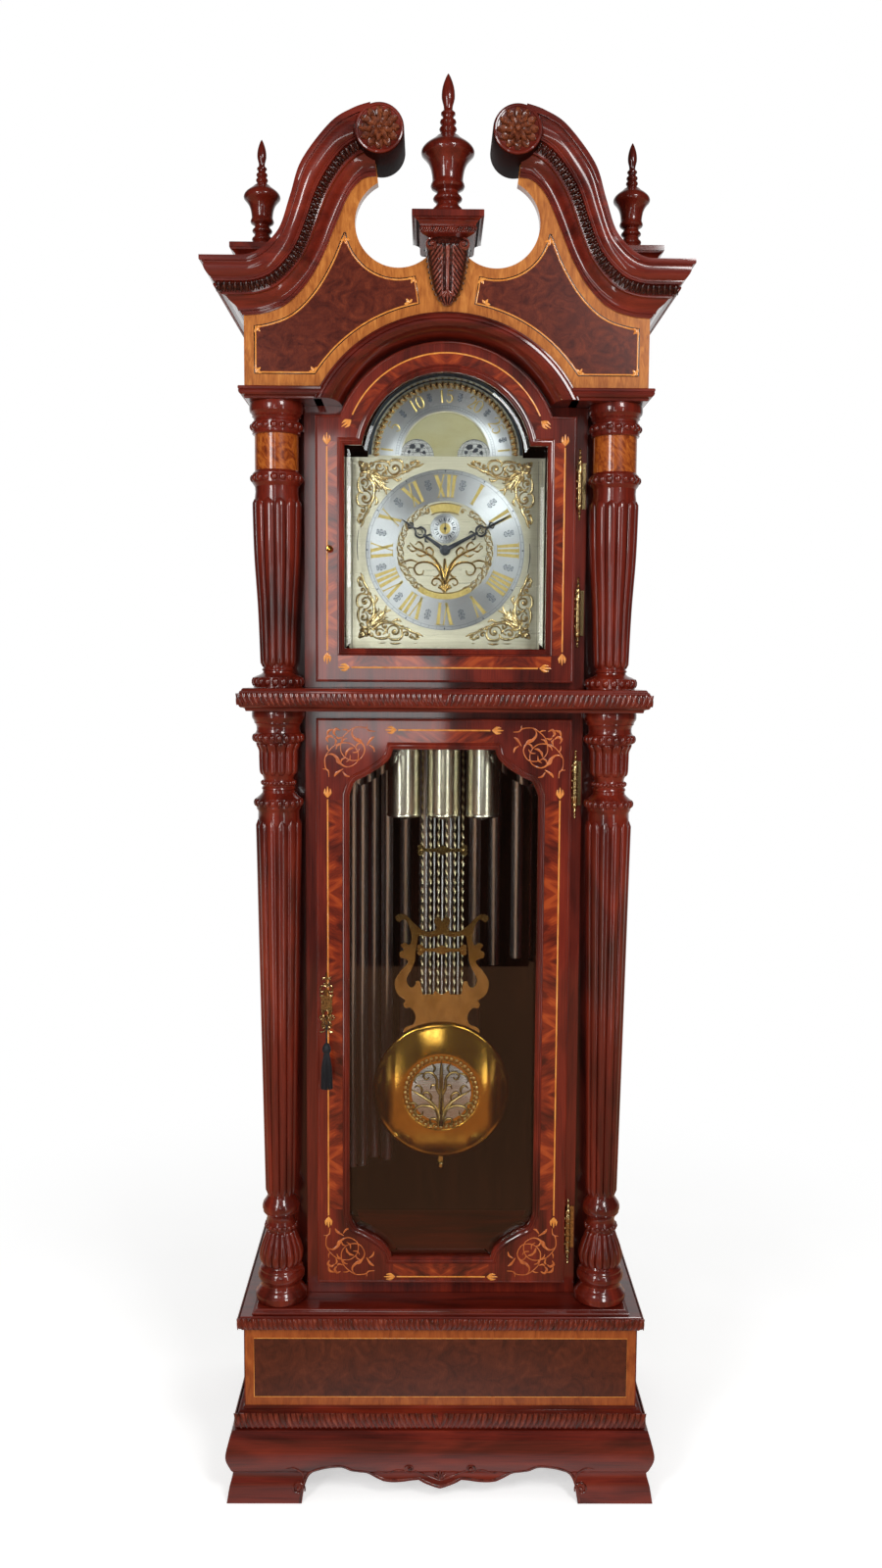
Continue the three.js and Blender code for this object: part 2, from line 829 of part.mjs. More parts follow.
// A square block with a moulded cap that carries a finial.
function finialBlock(x, y, z0, z1, half) {
  const steps = [
    [half - 16, z0],
    [half - 16, z1 - 34],
    [half - 10, z1 - 30],
    [half - 10, z1 - 22],
    [half - 5, z1 - 14],
    [half, z1 - 8],
    [half, z1],
  ];
  const ring = (r, z) => [[-r, -r], [r, -r], [r, r], [-r, r]].map(([u, v]) => new THREE.Vector3(
    x + u,
    y + v,
    z,
  ));
  return loft(steps.map(([r, z]) => ring(r, z)), flatOutline([[-1, -1], [1, -1], [1, 1], [-1, 1]]));
}

// The centre bracket: moulded cap over an acanthus corbel that tapers down the board.
function pedimentBracket() {
  const faceY = -pedimentFront - seatGap;
  const capFront = halfDepth - 2;
  const capBack = finialCentreY + 70;
  const base = centreBlockTop - bracketCapHeight;
  const cap = [
    [30, base, 24],
    [30, base + 5, 24],
    [44, base + 9, 12],
    [44, base + 19, 12],
    [51, base + 25, 5],
    [57, base + 30, 0],
    [57, centreBlockTop, 0],
  ].map(([w, z, inset]) => [
    new THREE.Vector3(-w, -capFront + inset, z),
    new THREE.Vector3(w, -capFront + inset, z),
    new THREE.Vector3(w, capBack - inset, z),
    new THREE.Vector3(-w, capBack - inset, z),
  ]);
  const block = loft(cap, flatOutline([[-1, -1], [1, -1], [1, 1], [-1, 1]]));
  const corbel = [
    [30, base + 4, 22],
    [36, base - 12, 34],
    [31, base - 24, 26],
    [26, base - 48, 18],
    [20, base - 70, 15],
    [12, base - 84, 11],
    [5, base - 90, 6],
  ].map(([w, z, forward]) => [
    new THREE.Vector3(-w, faceY, z),
    new THREE.Vector3(-w * 0.8, faceY - forward * 0.75, z),
    new THREE.Vector3(0, faceY - forward, z),
    new THREE.Vector3(w * 0.8, faceY - forward * 0.75, z),
    new THREE.Vector3(w, faceY, z),
  ]);
  const leaf = loft(corbel, flatOutline([[-1, 0], [-0.8, -0.75], [0, -1], [0.8, -0.75], [1, 0]]));
  return join(block, leaf);
}

// Turned finial: outline in shares of its height and its greatest radius, foot to tip.
const finialOutline = [
  [0.64, 0],
  [0.64, 0.04],
  [0.56, 0.09],
  [0.46, 0.14],
  [0.54, 0.17],
  [0.41, 0.21],
  [0.62, 0.25],
  [0.645, 0.376],
  [1, 0.482],
  [0.9, 0.529],
  [0.46, 0.588],
  [0.31, 0.64],
  [0.25, 0.66],
  [0.3, 0.69],
  [0.2, 0.72],
  [0.257, 0.74],
  [0.17, 0.765],
  [0.25, 0.83],
  [0.2, 0.911],
  [0.02, 1],
];

function finial(x, y, z, height, radius, sides) {
  return turned(finialOutline.map(([r, h]) => [r * radius, h * height]), sides, x, y, z + seatGap);
}

// Columns

function trunkColumn(x) {
  const z0 = plinthTop + seatGap;
  const z1 = waistMouldingBottom - seatGap;
  const shaftBottom = z0 + 196;
  const shaftTop = z1 - 185;
  return reededPost([
    [columnBaseRadius, z0],
    [columnBaseRadius, z0 + 17],
    [34, z0 + 27],
    [40.7, z0 + 40],
    [40.7, z0 + 56],
    [34, z0 + 61, 2],
    [36.6, z0 + 80, 3],
    [26, z0 + 126, 2],
    [30, z0 + 134],
    [24, z0 + 148],
    [32.4, z0 + 165],
    [25, shaftBottom - 10],
    [27, shaftBottom, reedDepth],
    [39.4, shaftTop, reedDepth],
    [34.9, shaftTop + 15],
    [42.3, shaftTop + 22],
    [42.3, shaftTop + 36],
    [27, shaftTop + 46],
    [30.6, shaftTop + 62],
    [26, shaftTop + 72],
    [33.2, shaftTop + 76, reedDepth],
    [33.2, z1 - 62, reedDepth],
    [columnRadius, z1 - 46, 2],
    [38, z1 - 24],
    [columnRadius, z1],
  ], reedCount, x, columnY);
}

function hoodColumn(x) {
  const z0 = waistMouldingTop + seatGap;
  const z1 = corniceBottom - seatGap;
  const shaftBottom = z0 + 40;
  const shaftTop = z1 - 156;
  return reededPost([
    [columnRadius, z0],
    [columnRadius, z0 + 18],
    [25, z0 + 24],
    [23.5, shaftBottom - 4],
    [29.5, shaftBottom, reedDepth],
    [41.2, shaftTop, reedDepth],
    [35.7, shaftTop + 20],
    [columnRadius, shaftTop + 28],
    [columnRadius, shaftTop + 40],
    [36.2, shaftTop + 46],
    [36.2, z1 - 52],
    [columnRadius, z1 - 46],
    [columnRadius, z1 - 32],
    [38, z1 - 25],
    [columnRadius, z1],
  ], reedCount, x, columnY);
}

// Doors

function waistDoorFrame() {
  const shape = polygon([
    [-doorHalfWidth, waistDoorBottom],
    [doorHalfWidth, waistDoorBottom],
    [doorHalfWidth, waistDoorTop],
    [-doorHalfWidth, waistDoorTop],
  ]);
  shape.holes.push(polygon(waistSight(0, 8)));
  const slab = outward(panel(shape, doorFrontY, doorBackY));
  const bore = keyShankRadius + runningGap;
  return cut(slab, turnedAlongY([[bore, doorFrontY - 1], [bore, doorFrontY + 16]], 8, keyX, keyLevel));
}

function waistDoorGlass() {
  const middle = (doorFrontY + doorBackY) / 2;
  const pane = polygon(waistSight(seatGap, 8));
  return outward(panel(pane, middle - glassThickness / 2, middle + glassThickness / 2));
}

function hoodSight(inset) {
  return archedOutline(
    hoodSightHalfWidth - inset,
    hoodSightBottom + inset,
    hoodSightShoulder - inset,
    sightArchRadius - inset,
    sightArchCentre,
    20,
  );
}

function hoodDoorFrame() {
  const shape = polygon(archedOutline(
    doorHalfWidth,
    hoodDoorBottom,
    hoodDoorShoulder,
    doorArchRadius,
    archCentre,
    24,
  ));
  shape.holes.push(polygon(hoodSight(0).reverse()));
  return outward(panel(shape, doorFrontY, doorBackY));
}

function hoodDoorGlass() {
  const middle = (doorFrontY + doorBackY) / 2;
  return outward(panel(polygon(hoodSight(seatGap)), middle - glassThickness / 2, middle + glassThickness / 2));
}

function hoodDoorKnob() {
  const y = doorFrontY - seatGap;
  return turnedAlongY([[4, y], [2.6, y - 3], [2.6, y - 6], [5, y - 9], [5.6, y - 12], [3.6, y - 15]], 8, knobX, knobLevel);
}

// A finial-tipped hinge: its barrel stands beside the door's edge, its leaf is let on to the stile.
function hinge(level) {
  const half = hingeBarrelLength / 2;
  const r = hingeBarrelRadius;
  const barrel = turned([
    [0.6, -half - hingeFinialLength],
    [2.6, -half - 10],
    [1.6, -half - 5],
    [r, -half],
    [r, half],
    [1.6, half + 5],
    [2.6, half + 10],
    [0.6, half + hingeFinialLength],
  ], 7, hingePinX, hingePinY, level);
  const footY = -frameFront - seatGap;
  const leaf = polygon([
    [hingePinX - 1, hingePinY],
    [hingePinX + 1.4, hingePinY],
    [hingePinX + 1.4, footY - 2],
    [stileHalfWidth - 2, footY - 2],
    [stileHalfWidth - 2, footY],
    [hingePinX - 1, footY],
  ]);
  return join(barrel, outward(plan(leaf, level - half + 4, level + half - 4)));
}

// Key, and the tassel that hangs from it

function doorKey() {
  const y = doorFrontY;
  const shank = turnedAlongY([[keyShankRadius, y + 14], [keyShankRadius, y - 17], [3.6, y - 18], [3.6, y - 21]], 6, keyX, keyLevel);
  const bow = new THREE.Shape();
  bow.absarc(0, 0, keyBowRadius, 0, 2 * Math.PI, false);
  const eye = new THREE.Path();
  eye.absarc(0, 0, keyBowRadius - keyBowWidth, 0, 2 * Math.PI, true);
  bow.holes.push(eye);
  const ring = plan(bow, -1.6, 1.6, 5);
  ring.rotateY(Math.PI / 2);
  ring.translate(keyX, y - 19 - keyBowRadius, keyLevel);
  return join(shank, ring);
}

// The loop is round about the middle of the bow's lower edge, so the key turns inside it while the tassel hangs.
function keyTassel() {
  const y = doorFrontY - 19 - keyBowRadius;
  const loopLevel = keyLevel - keyBowRadius + keyBowWidth / 2;
  const loop = new THREE.Shape();
  loop.absarc(keyX, loopLevel, tasselLoopRadius + 1.1, 0, 2 * Math.PI, false);
  const inside = new THREE.Path();
  inside.absarc(keyX, loopLevel, tasselLoopRadius, 0, 2 * Math.PI, true);
  loop.holes.push(inside);
  const top = loopLevel - tasselLoopRadius - 0.4;
  const t = tasselLength;
  const cord = turned([
    [1.4, top],
    [1.4, top - t * 0.28],
    [5, top - t * 0.31],
    [7.5, top - t * 0.36],
    [7, top - t * 0.42],
    [4.6, top - t * 0.45],
    [7, top - t * 0.5],
    [9, top - t * 0.7],
    [10, top - t],
  ], 8, keyX, y);
  return join(outward(panel(loop, y - 1, y + 1, 6)), cord);
}

// Dial, hands and movement

function dialPlate() {
  const half = dialHalfWidth;
  const arc = Array.from({ length: 17 }, (unused, i) => {
    const angle = (Math.PI * i) / 16;
    return [dialArchRadius * Math.cos(angle), dialShoulder + dialArchRadius * Math.sin(angle)];
  });
  const shape = polygon([
    [-half, dialBottom],
    [half, dialBottom],
    [half, dialShoulder],
    ...arc,
    [-half, dialShoulder],
  ]);
  shape.holes.push(moonAperture());
  const bore = new THREE.Path();
  bore.absarc(0, dialCentre, 7, 0, 2 * Math.PI, true);
  const secondsBore = new THREE.Path();
  secondsBore.absarc(0, dialCentre + secondsOffset, 2.5, 0, 2 * Math.PI, true);
  shape.holes.push(bore, secondsBore);
  const plate = outward(panel(shape, -dialFront, -dialFront + dialThickness, 4));
  const ring = lunarRing();
  const feet = [-1, 1].flatMap((side) => [dialBottom + 70, dialBottom + 200].map((z) => turnedAlongY(
    [[4, -dialFront + 1], [4, frontPlateY - seatGap]],
    6,
    side * (movementHalfWidth - 8),
    z,
  )));
  return join(plate, ring, ...feet);
}

// The half-round window over the moon, with a globe standing up into it at each side.
function moonAperture() {
  const path = new THREE.Path();
  const base = dialShoulder + 2;
  path.moveTo(-moonApertureRadius, base);
  const steps = 10;
  for (let i = 1; i <= steps; i += 1) {
    const angle = Math.PI - (Math.PI * i) / steps;
    path.lineTo(moonApertureRadius * Math.cos(angle), base + moonApertureRadius * Math.sin(angle));
  }
  [1, -1].forEach((side) => {
    for (let i = 0; i <= 6; i += 1) {
      const angle = (Math.PI * i) / 6;
      const x = side * globeX + globeRadius * Math.cos(angle);
      path.lineTo(Math.min(x, moonApertureRadius - 1), base + 1 + globeRadius * Math.sin(angle));
    }
  });
  path.closePath();
  return path;
}

// The raised half ring that carries the days of the moon's month.
function lunarRing() {
  const shape = new THREE.Shape();
  shape.absarc(0, dialShoulder + 2, lunarRingOuter, 0, Math.PI, false);
  shape.absarc(0, dialShoulder + 2, moonApertureRadius + 1, Math.PI, 0, true);
  shape.closePath();
  return outward(panel(shape, -dialFront - 2, -dialFront + 0.5, 8));
}

function chapterRing() {
  const shape = new THREE.Shape();
  shape.absarc(0, dialCentre, chapterOuter, 0, 2 * Math.PI, false);
  const inner = new THREE.Path();
  inner.absarc(0, dialCentre, chapterInner, 0, 2 * Math.PI, true);
  shape.holes.push(inner);
  return outward(panel(shape, -dialFront - seatGap - 1.6, -dialFront - seatGap, 14));
}

function moonDisc() {
  const y = -dialFront + dialThickness + runningGap;
  return turnedAlongY([
    [moonDiscRadius, y],
    [moonDiscRadius, y + 1.4],
    [4, y + 1.5],
    [4, frontPlateY - seatGap],
  ], 24, 0, dialShoulder + 2);
}

// A pierced serpentine hand that lies along +Z, drawn from its boss outwards.
function handShape(length, boss, swell) {
  const right = smooth([
    [swell * 0.4, boss],
    [swell, boss + (length - boss) * 0.2],
    [swell * 0.35, boss + (length - boss) * 0.38],
    [swell * 0.75, boss + (length - boss) * 0.52],
    [swell * 0.25, boss + (length - boss) * 0.75],
    [0.5, length],
  ], 7);
  return polygon([...right, ...mirrored(right)]);
}

function hand(length, boss, swell, frontY, thickness, pipeOuter, pipeInner, turn, centre) {
  const blade = outward(panel(handShape(length, boss * 0.8, swell), frontY, frontY + thickness));
  blade.rotateY(THREE.MathUtils.degToRad(turn));
  blade.translate(0, 0, centre);
  const disc = turnedAlongY([[boss, frontY], [boss, frontY + thickness]], 10, 0, centre);
  const pipe = turnedAlongY([[pipeOuter, frontY + thickness / 2], [pipeOuter, frontPlateY - seatGap]], 10, 0, centre);
  const solid = join(blade, disc, pipe);
  if (!pipeInner) {
    return solid;
  }
  return cut(solid, turnedAlongY([[pipeInner, frontY - 1], [pipeInner, frontPlateY + 1]], 10, 0, centre));
}

// Front and back plates, four pillars and three winding drums.
function movement() {
  const w = movementHalfWidth;
  const bottom = seatBoardTop + seatGap;
  const backPlateY = frontPlateY + plateSpacing;
  const front = box(-w, w, frontPlateY, frontPlateY + plateThickness, bottom, movementTop);
  const back = box(-w, w, backPlateY - plateThickness, backPlateY, bottom, movementTop);
  const pillars = [-1, 1].flatMap((side) => [bottom + 14, movementTop - 14].map((z) => turnedAlongY(
    [[6, frontPlateY + 1], [6, backPlateY - 1]],
    6,
    side * (w - 14),
    z,
  )));
  const drums = [-1, 0, 1].map((k) => turnedAlongY([
    [drumRadius + 3, frontPlateY + 1],
    [drumRadius + 3, frontPlateY + 8],
    [drumRadius, frontPlateY + 8.5],
    [drumRadius, backPlateY - 1],
  ], 12, k * weightPitch, drumLevel));
  const cockZ = pendulumPivot + suspensionRadius + seatGap;
  const cock = box(-14, 14, backPlateY - 1, pendulumY + 5, cockZ, cockZ + 10);
  return join(front, back, ...pillars, ...drums, cock);
}

// The board that carries the movement, slotted for the cables and the pendulum.
function seatBoard() {
  const x = carcaseInnerHalf - seatGap;
  const shape = polygon([[-x, frontPlateY - 8], [x, frontPlateY - 8], [x, 62], [-x, 62]]);
  shape.holes.push(polygon([[-98, frontPlateY + 4], [-98, 36], [98, 36], [98, frontPlateY + 4]]));
  return outward(plan(shape, seatBoardTop - seatBoardThickness, seatBoardTop));
}

// Weights, cables and pendulum

function weight(k) {
  const z0 = weightBottom;
  const z1 = weightBottom + weightLength;
  const shell = turned([
    [6, z0 - 6],
    [weightRadius - 6, z0],
    [weightRadius, z0 + 3],
    [weightRadius, z1 - 3],
    [weightRadius - 6, z1],
    [3, z1 + 5],
    [3, z1 + 22],
  ], 12, k * weightPitch, weightY);
  const pulley = turnedAlongY([
    [pulleyRadius, weightY - 5],
    [pulleyGroove, weightY - cableRadius - seatGap],
    [pulleyGroove, weightY + cableRadius + seatGap],
    [pulleyRadius, weightY + 5],
  ], 10, k * weightPitch, z1 + pulleyLift);
  return join(shell, pulley);
}

const cableBottom = weightBottom + weightLength + pulleyLift + pulleyGroove + seatGap;
const cableTop = drumLevel - drumRadius - seatGap;

function cable(k) {
  return turned([[cableRadius, cableBottom], [cableRadius, cableTop]], 6, k * weightPitch, weightY);
}

// Outline of the lyre, right half, from its centre top down the outside to its foot.
// Points are [distance from the middle, height above the foot].
const lyreOutside = [
  [0, 230],
  [4, 238],
  [12, 237],
  [15, 229],
  [10, 218],
  [18, 212],
  [34, 214],
  [50, 226],
  [66, 242],
  [78, 244],
  [88, 235],
  [78, 229],
  [68, 234],
  [60, 224],
  [56, 200],
  [62, 184],
  [76, 187],
  [72, 174],
  [78, 165],
  [68, 158],
  [63, 152],
  [77, 136],
  [87, 116],
  [82, 92],
  [67, 80],
  [71, 70],
  [60, 66],
  [48, 54],
  [51, 38],
  [69, 28],
  [70, 16],
  [52, 0],
];

// Inside edge of the lyre, right half, from under the cross bar down to its foot plate.
const lyreInside = [
  [0, 206],
  [20, 201],
  [42, 203],
  [46, 190],
  [50, 170],
  [50, 153],
  [58, 139],
  [66, 123],
  [58, 106],
  [48, 118],
  [39, 112],
  [34, 92],
  [16, 82],
  [10, 100],
  [0, 98],
];

// Centre rods, lyre, cross bars, suspension and rating nut, carried as one. The plates lie in front
// of the rods, which are held by a block behind the lyre and by the bar at the top.
function pendulumRod() {
  const rodFront = pendulumY - rodRadius;
  const plateBack = rodFront - seatGap;
  const plateFront = plateBack - plateDepth;
  const lyre = polygon([...lyreOutside, ...mirrored(lyreOutside.slice(1))]);
  lyre.holes.push(polygon([...lyreInside, ...mirrored(lyreInside.slice(1, -1))].reverse()));
  const plate = outward(panel(lyre, plateFront, plateBack));
  plate.translate(0, 0, lyreFoot);
  const span = (rodCount - 1) / 2;
  const rods = Array.from({ length: rodCount }, (unused, i) => turned(
    [[rodRadius, rodBottom], [rodRadius, rodTop]],
    4,
    (i - span) * rodPitch,
    pendulumY,
  ));
  const w = (span + 1) * rodPitch;
  const barLevels = [rodBottom + 279, rodBottom + 93];
  const bars = barLevels.map((z) => outward(panel(polygon([
    [-w - 4, z - 4.5],
    [0, z - 9],
    [w + 4, z - 4.5],
    [w + 4, z + 4.5],
    [0, z + 9],
    [-w - 4, z + 4.5],
  ]), plateFront, plateBack)));
  const rivets = barLevels.flatMap((z) => [-1, 1].map((side) => {
    const x = side * span * rodPitch;
    return box(x - 2, x + 2, plateBack - 1, pendulumY, z - 2, z + 2);
  }));
  const foot = box(-w, w, plateBack - 1, pendulumY + 1, rodBottom - 1, rodBottom + 9);
  const head = box(-w, w, plateFront, pendulumY + rodRadius + 1, rodTop - 26, rodTop + 1);
  const stem = box(-4, 4, pendulumY - 1.5, pendulumY + 1.5, rodTop - 1, pendulumPivot);
  const r = suspensionRadius;
  const eye = turnedAlongY([[r, pendulumY - 3], [r, pendulumY + 3]], 8, 0, pendulumPivot);
  const tail = box(-4, 4, plateFront, plateBack, bobLevel - bobRadius - 22, lyreFoot + 6);
  const nutY = (plateFront + plateBack) / 2;
  const nut = turned([
    [3, bobLevel - bobRadius - 24],
    [8, bobLevel - bobRadius - 21],
    [8, bobLevel - bobRadius - 15],
    [3, bobLevel - bobRadius - 12],
  ], 6, 0, nutY);
  return join(plate, ...rods, ...bars, ...rivets, foot, head, stem, eye, tail, nut);
}

function pendulumBob() {
  const y1 = pendulumY - rodRadius - plateDepth - seatGap * 2;
  const y0 = y1 - bobDepth;
  return turnedAlongY([
    [bobRadius - 20, y1],
    [bobRadius - 2, y1 - 3],
    [bobRadius, y1 - 6],
    [bobRadius - 2, y1 - 9],
    [bobRadius * 0.8, y0 + 6],
    [bobRadius * 0.58, y0],
    [bobRadius * 0.55, y0 + 2],
  ], 20, 0, bobLevel);
}

// Chime tubes and the rack that they hang from

function chimeTube(k) {
  const bottom = tubeBottoms[k];
  const y = k % 2 ? tubeRowBack : tubeRowFront;
  const profile = [
    [0, tubeTop],
    [tubeRadius, tubeTop],
    [tubeRadius, bottom],
    [tubeBore, bottom],
    [tubeBore, tubeTop - 12],
    [0, tubeTop - 12],
  ].map(([r, z]) => new THREE.Vector2(r, z));
  const geometry = new THREE.LatheGeometry(profile, 8);
  geometry.rotateX(Math.PI / 2);
  geometry.translate(tubeCentres[k], y, 0);
  return outward(geometry);
}

function tubeRack() {
  const board = box(-182, 182, tubeRowFront - 14, backInnerY - seatGap, tubeTop + 8, tubeTop + 28);
  const pegs = tubeCentres.map((x, k) => turned(
    [[3, tubeTop + seatGap], [3, tubeTop + 10]],
    5,
    x,
    k % 2 ? tubeRowBack : tubeRowFront,
  ));
  return join(board, ...pegs);
}

// Assembly

add('bracket_base', bracketBase(), mahogany);
add('plinth', plinth(), burl);
add('back_panel', backPanel(), darkWood);
for (const [name, side] of [['left', -1], ['right', 1]]) {
  add(`trunk_side_${name}`, carcaseSide(side, plinthTop + seatGap, waistMouldingBottom - seatGap), mahogany);
  add(`hood_side_${name}`, hoodSide(side), mahogany);
  add(`trunk_column_${name}`, trunkColumn(side * columnX), mahogany);
  add(`hood_column_${name}`, hoodColumn(side * columnX), mahogany);
  add(`gooseneck_${name}`, gooseneck(side), mahogany);
  add(`finial_${name}`, finial(side * finialX, finialY, finialBlockTop, sideFinialHeight, sideFinialRadius, 8), mahogany);
}
add('trunk_front_frame', trunkFrontFrame(), mahogany);
add('waist_moulding', waistMoulding(), mahogany);
add('hood_front_frame', hoodFrontFrame(), mahogany);
add('hood_cornice', hoodCornice(), mahogany);
add('pediment_board', pedimentBoard(), burl);
add('hood_top', hoodTop(), mahogany);
add('pediment_bracket', pedimentBracket(), mahogany);
add('finial_centre', finial(0, finialCentreY, centreBlockTop, centreFinialHeight, finialRadius, 10), mahogany);
add('waist_door_frame', waistDoorFrame(), mahogany);
add('waist_door_glass', waistDoorGlass(), glazing);
add('hood_door_frame', hoodDoorFrame(), mahogany);
add('hood_door_glass', hoodDoorGlass(), glazing);
add('hood_door_knob', hoodDoorKnob(), polishedBrass);
waistHingeLevels.forEach((level, i) => add(`waist_hinge_${i ? 'upper' : 'lower'}`, hinge(level), polishedBrass));
hoodHingeLevels.forEach((level, i) => add(`hood_hinge_${i ? 'upper' : 'lower'}`, hinge(level), polishedBrass));
add('door_key', doorKey(), polishedBrass);
add('key_tassel', keyTassel(), navyThread);
add('seat_board', seatBoard(), darkWood);
add('movement', movement(), polishedBrass);
add('dial_plate', dialPlate(), dialGold);
add('chapter_ring', chapterRing(), silvered);
add('moon_disc', moonDisc(), dialGold);
add('hour_hand', hand(hourHandLength, 9, 9, -dialFront - 4.5, 1.2, 5, 3.8, 305, dialCentre), blackened);
add('minute_hand', hand(minuteHandLength, 7, 7, -dialFront - 7, 1.2, 3.4, 0, 62, dialCentre), blackened);
add('seconds_hand', hand(
  secondsHandLength,
  3,
  2,
  -dialFront - 2.6,
  0.8,
  1.4,
  0,
  0,
  dialCentre + secondsOffset,
), blackened);
['left', 'centre', 'right'].forEach((name, i) => {
  add(`weight_${name}`, weight(i - 1), polishedBrass);
  add(`cable_${name}`, cable(i - 1), blackened);
});
add('pendulum_rod', pendulumRod(), polishedBrass);
add('pendulum_bob', pendulumBob(), polishedBrass);
add('tube_rack', tubeRack(), darkWood);
tubeCentres.forEach((unused, k) => add(`chime_tube_${k + 1}`, chimeTube(k), chromed));

export default clock;
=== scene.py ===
# Tubular chime longcase clock: mahogany case, brass and silver dial, lyre pendulum.
# Sizes in the dictionaries are millimetres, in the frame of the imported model: +Z up, the dial faces -Y.
import json
import random
from math import acos, asin, atan2, cos, degrees, hypot, pi, radians, sin, sqrt

import bmesh
import bpy
from mathutils import Matrix, Vector
from mathutils.geometry import tessellate_polygon


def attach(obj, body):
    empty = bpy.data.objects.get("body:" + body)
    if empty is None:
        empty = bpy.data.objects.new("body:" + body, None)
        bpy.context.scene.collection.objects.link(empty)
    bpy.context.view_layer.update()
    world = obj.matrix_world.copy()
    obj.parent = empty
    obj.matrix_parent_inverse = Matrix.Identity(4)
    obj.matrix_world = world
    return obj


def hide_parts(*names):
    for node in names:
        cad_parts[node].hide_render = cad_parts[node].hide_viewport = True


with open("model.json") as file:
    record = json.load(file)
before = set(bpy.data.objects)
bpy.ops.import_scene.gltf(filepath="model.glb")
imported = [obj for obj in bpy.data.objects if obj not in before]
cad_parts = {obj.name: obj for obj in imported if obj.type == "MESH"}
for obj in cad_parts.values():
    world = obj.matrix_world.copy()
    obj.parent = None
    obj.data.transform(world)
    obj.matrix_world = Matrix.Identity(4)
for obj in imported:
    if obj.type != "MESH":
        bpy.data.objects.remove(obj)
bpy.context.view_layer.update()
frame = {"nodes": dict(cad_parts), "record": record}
scene = bpy.context.scene
mm = 0.001
# The back of the case, and the signs of its two sides.
caseBack = 232
leftAndRight = ((-1, "left"), (1, "right"))
bodyOf = {node: body for body, nodes in frame["record"]["behaviour"]["bodies"].items() for node in nodes}


# Materials

def toLinear(hexColour):
    parts = [int(hexColour[i:i + 2], 16) / 255 for i in (1, 3, 5)]
    return [c / 12.92 if c <= 0.04045 else ((c + 0.055) / 1.055) ** 2.4 for c in parts] + [1]


def addNode(tree, kind, inputs=None, **settings):
    node = tree.nodes.new(kind)
    for name, value in settings.items():
        setattr(node, name, value)
    for name, value in (inputs or {}).items():
        if isinstance(value, bpy.types.NodeSocket):
            tree.links.new(value, node.inputs[name])
        else:
            node.inputs[name].default_value = value
    return node


def fillRamp(node, *stops):
    ramp = node.color_ramp
    while len(ramp.elements) > 1:
        ramp.elements.remove(ramp.elements[-1])
    ramp.elements[0].position = stops[0][0]
    for position, _ in stops[1:]:
        ramp.elements.new(position)
    for element, (position, colour) in zip(ramp.elements, stops):
        element.color = toLinear(colour)
    return node.outputs["Color"]


def colourBy(tree, value, *stops):
    return fillRamp(addNode(tree, "ShaderNodeValToRGB", {"Fac": value}), *stops)


def maths(tree, operation, *values):
    return addNode(tree, "ShaderNodeMath", dict(enumerate(values)), operation=operation).outputs[0]


def noiseAt(tree, vector, scale=1, detail=2, rough=0.5, swirl=0):
    return addNode(tree, "ShaderNodeTexNoise", {
        "Vector": vector, "Scale": scale, "Detail": detail, "Roughness": rough, "Distortion": swirl}).outputs[0]


# Coordinates counted in steps of the given millimetres along each axis.
def stepsOf(tree, vector, sizes):
    return addNode(tree, "ShaderNodeMapping", {"Vector": vector, "Scale": [1000 / s for s in sizes]}).outputs[0]


def turnedBy(tree, vector, angles):
    return addNode(tree, "ShaderNodeMapping", {"Vector": vector,
                                               "Rotation": [radians(a) for a in angles]}).outputs[0]


def ranged(tree, value, low, high, start=0, end=1, **settings):
    return addNode(tree, "ShaderNodeMapRange", {
        "Value": value, "From Min": start, "From Max": end, "To Min": low, "To Max": high}, **settings).outputs[0]


def blended(tree, share, first, second):
    return addNode(tree, "ShaderNodeMix", {0: share, 2: first, 3: second}).outputs[0]


def bumpFrom(tree, height, strength, distance):
    return addNode(tree, "ShaderNodeBump", {"Height": height, "Strength": strength,
                                            "Distance": distance}).outputs[0]


def spreadTones(tones, low, high):
    return [(low + (high - low) * i / (len(tones) - 1), tone) for i, tone in enumerate(tones)]


# Materials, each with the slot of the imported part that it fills
slotOf = {}


def startMaterial(name, slot, **shaderValues):
    slotOf[name] = slot
    material = bpy.data.materials.new(name)
    material.use_nodes = True
    tree = material.node_tree
    tree.nodes.clear()
    shader = addNode(tree, "ShaderNodeBsdfPrincipled", {k.replace("_", " "): v for k, v in shaderValues.items()})
    addNode(tree, "ShaderNodeOutputMaterial", {"Surface": shader.outputs[0]})
    place = addNode(tree, "ShaderNodeTexCoord").outputs["Object"]
    return material, tree, shader, place


def link(tree, output, shader, name):
    tree.links.new(output, shader.inputs[name])


def setSurface(tree, output):
    holder = next(n for n in tree.nodes if n.type == "OUTPUT_MATERIAL")
    tree.links.new(output, holder.inputs["Surface"])


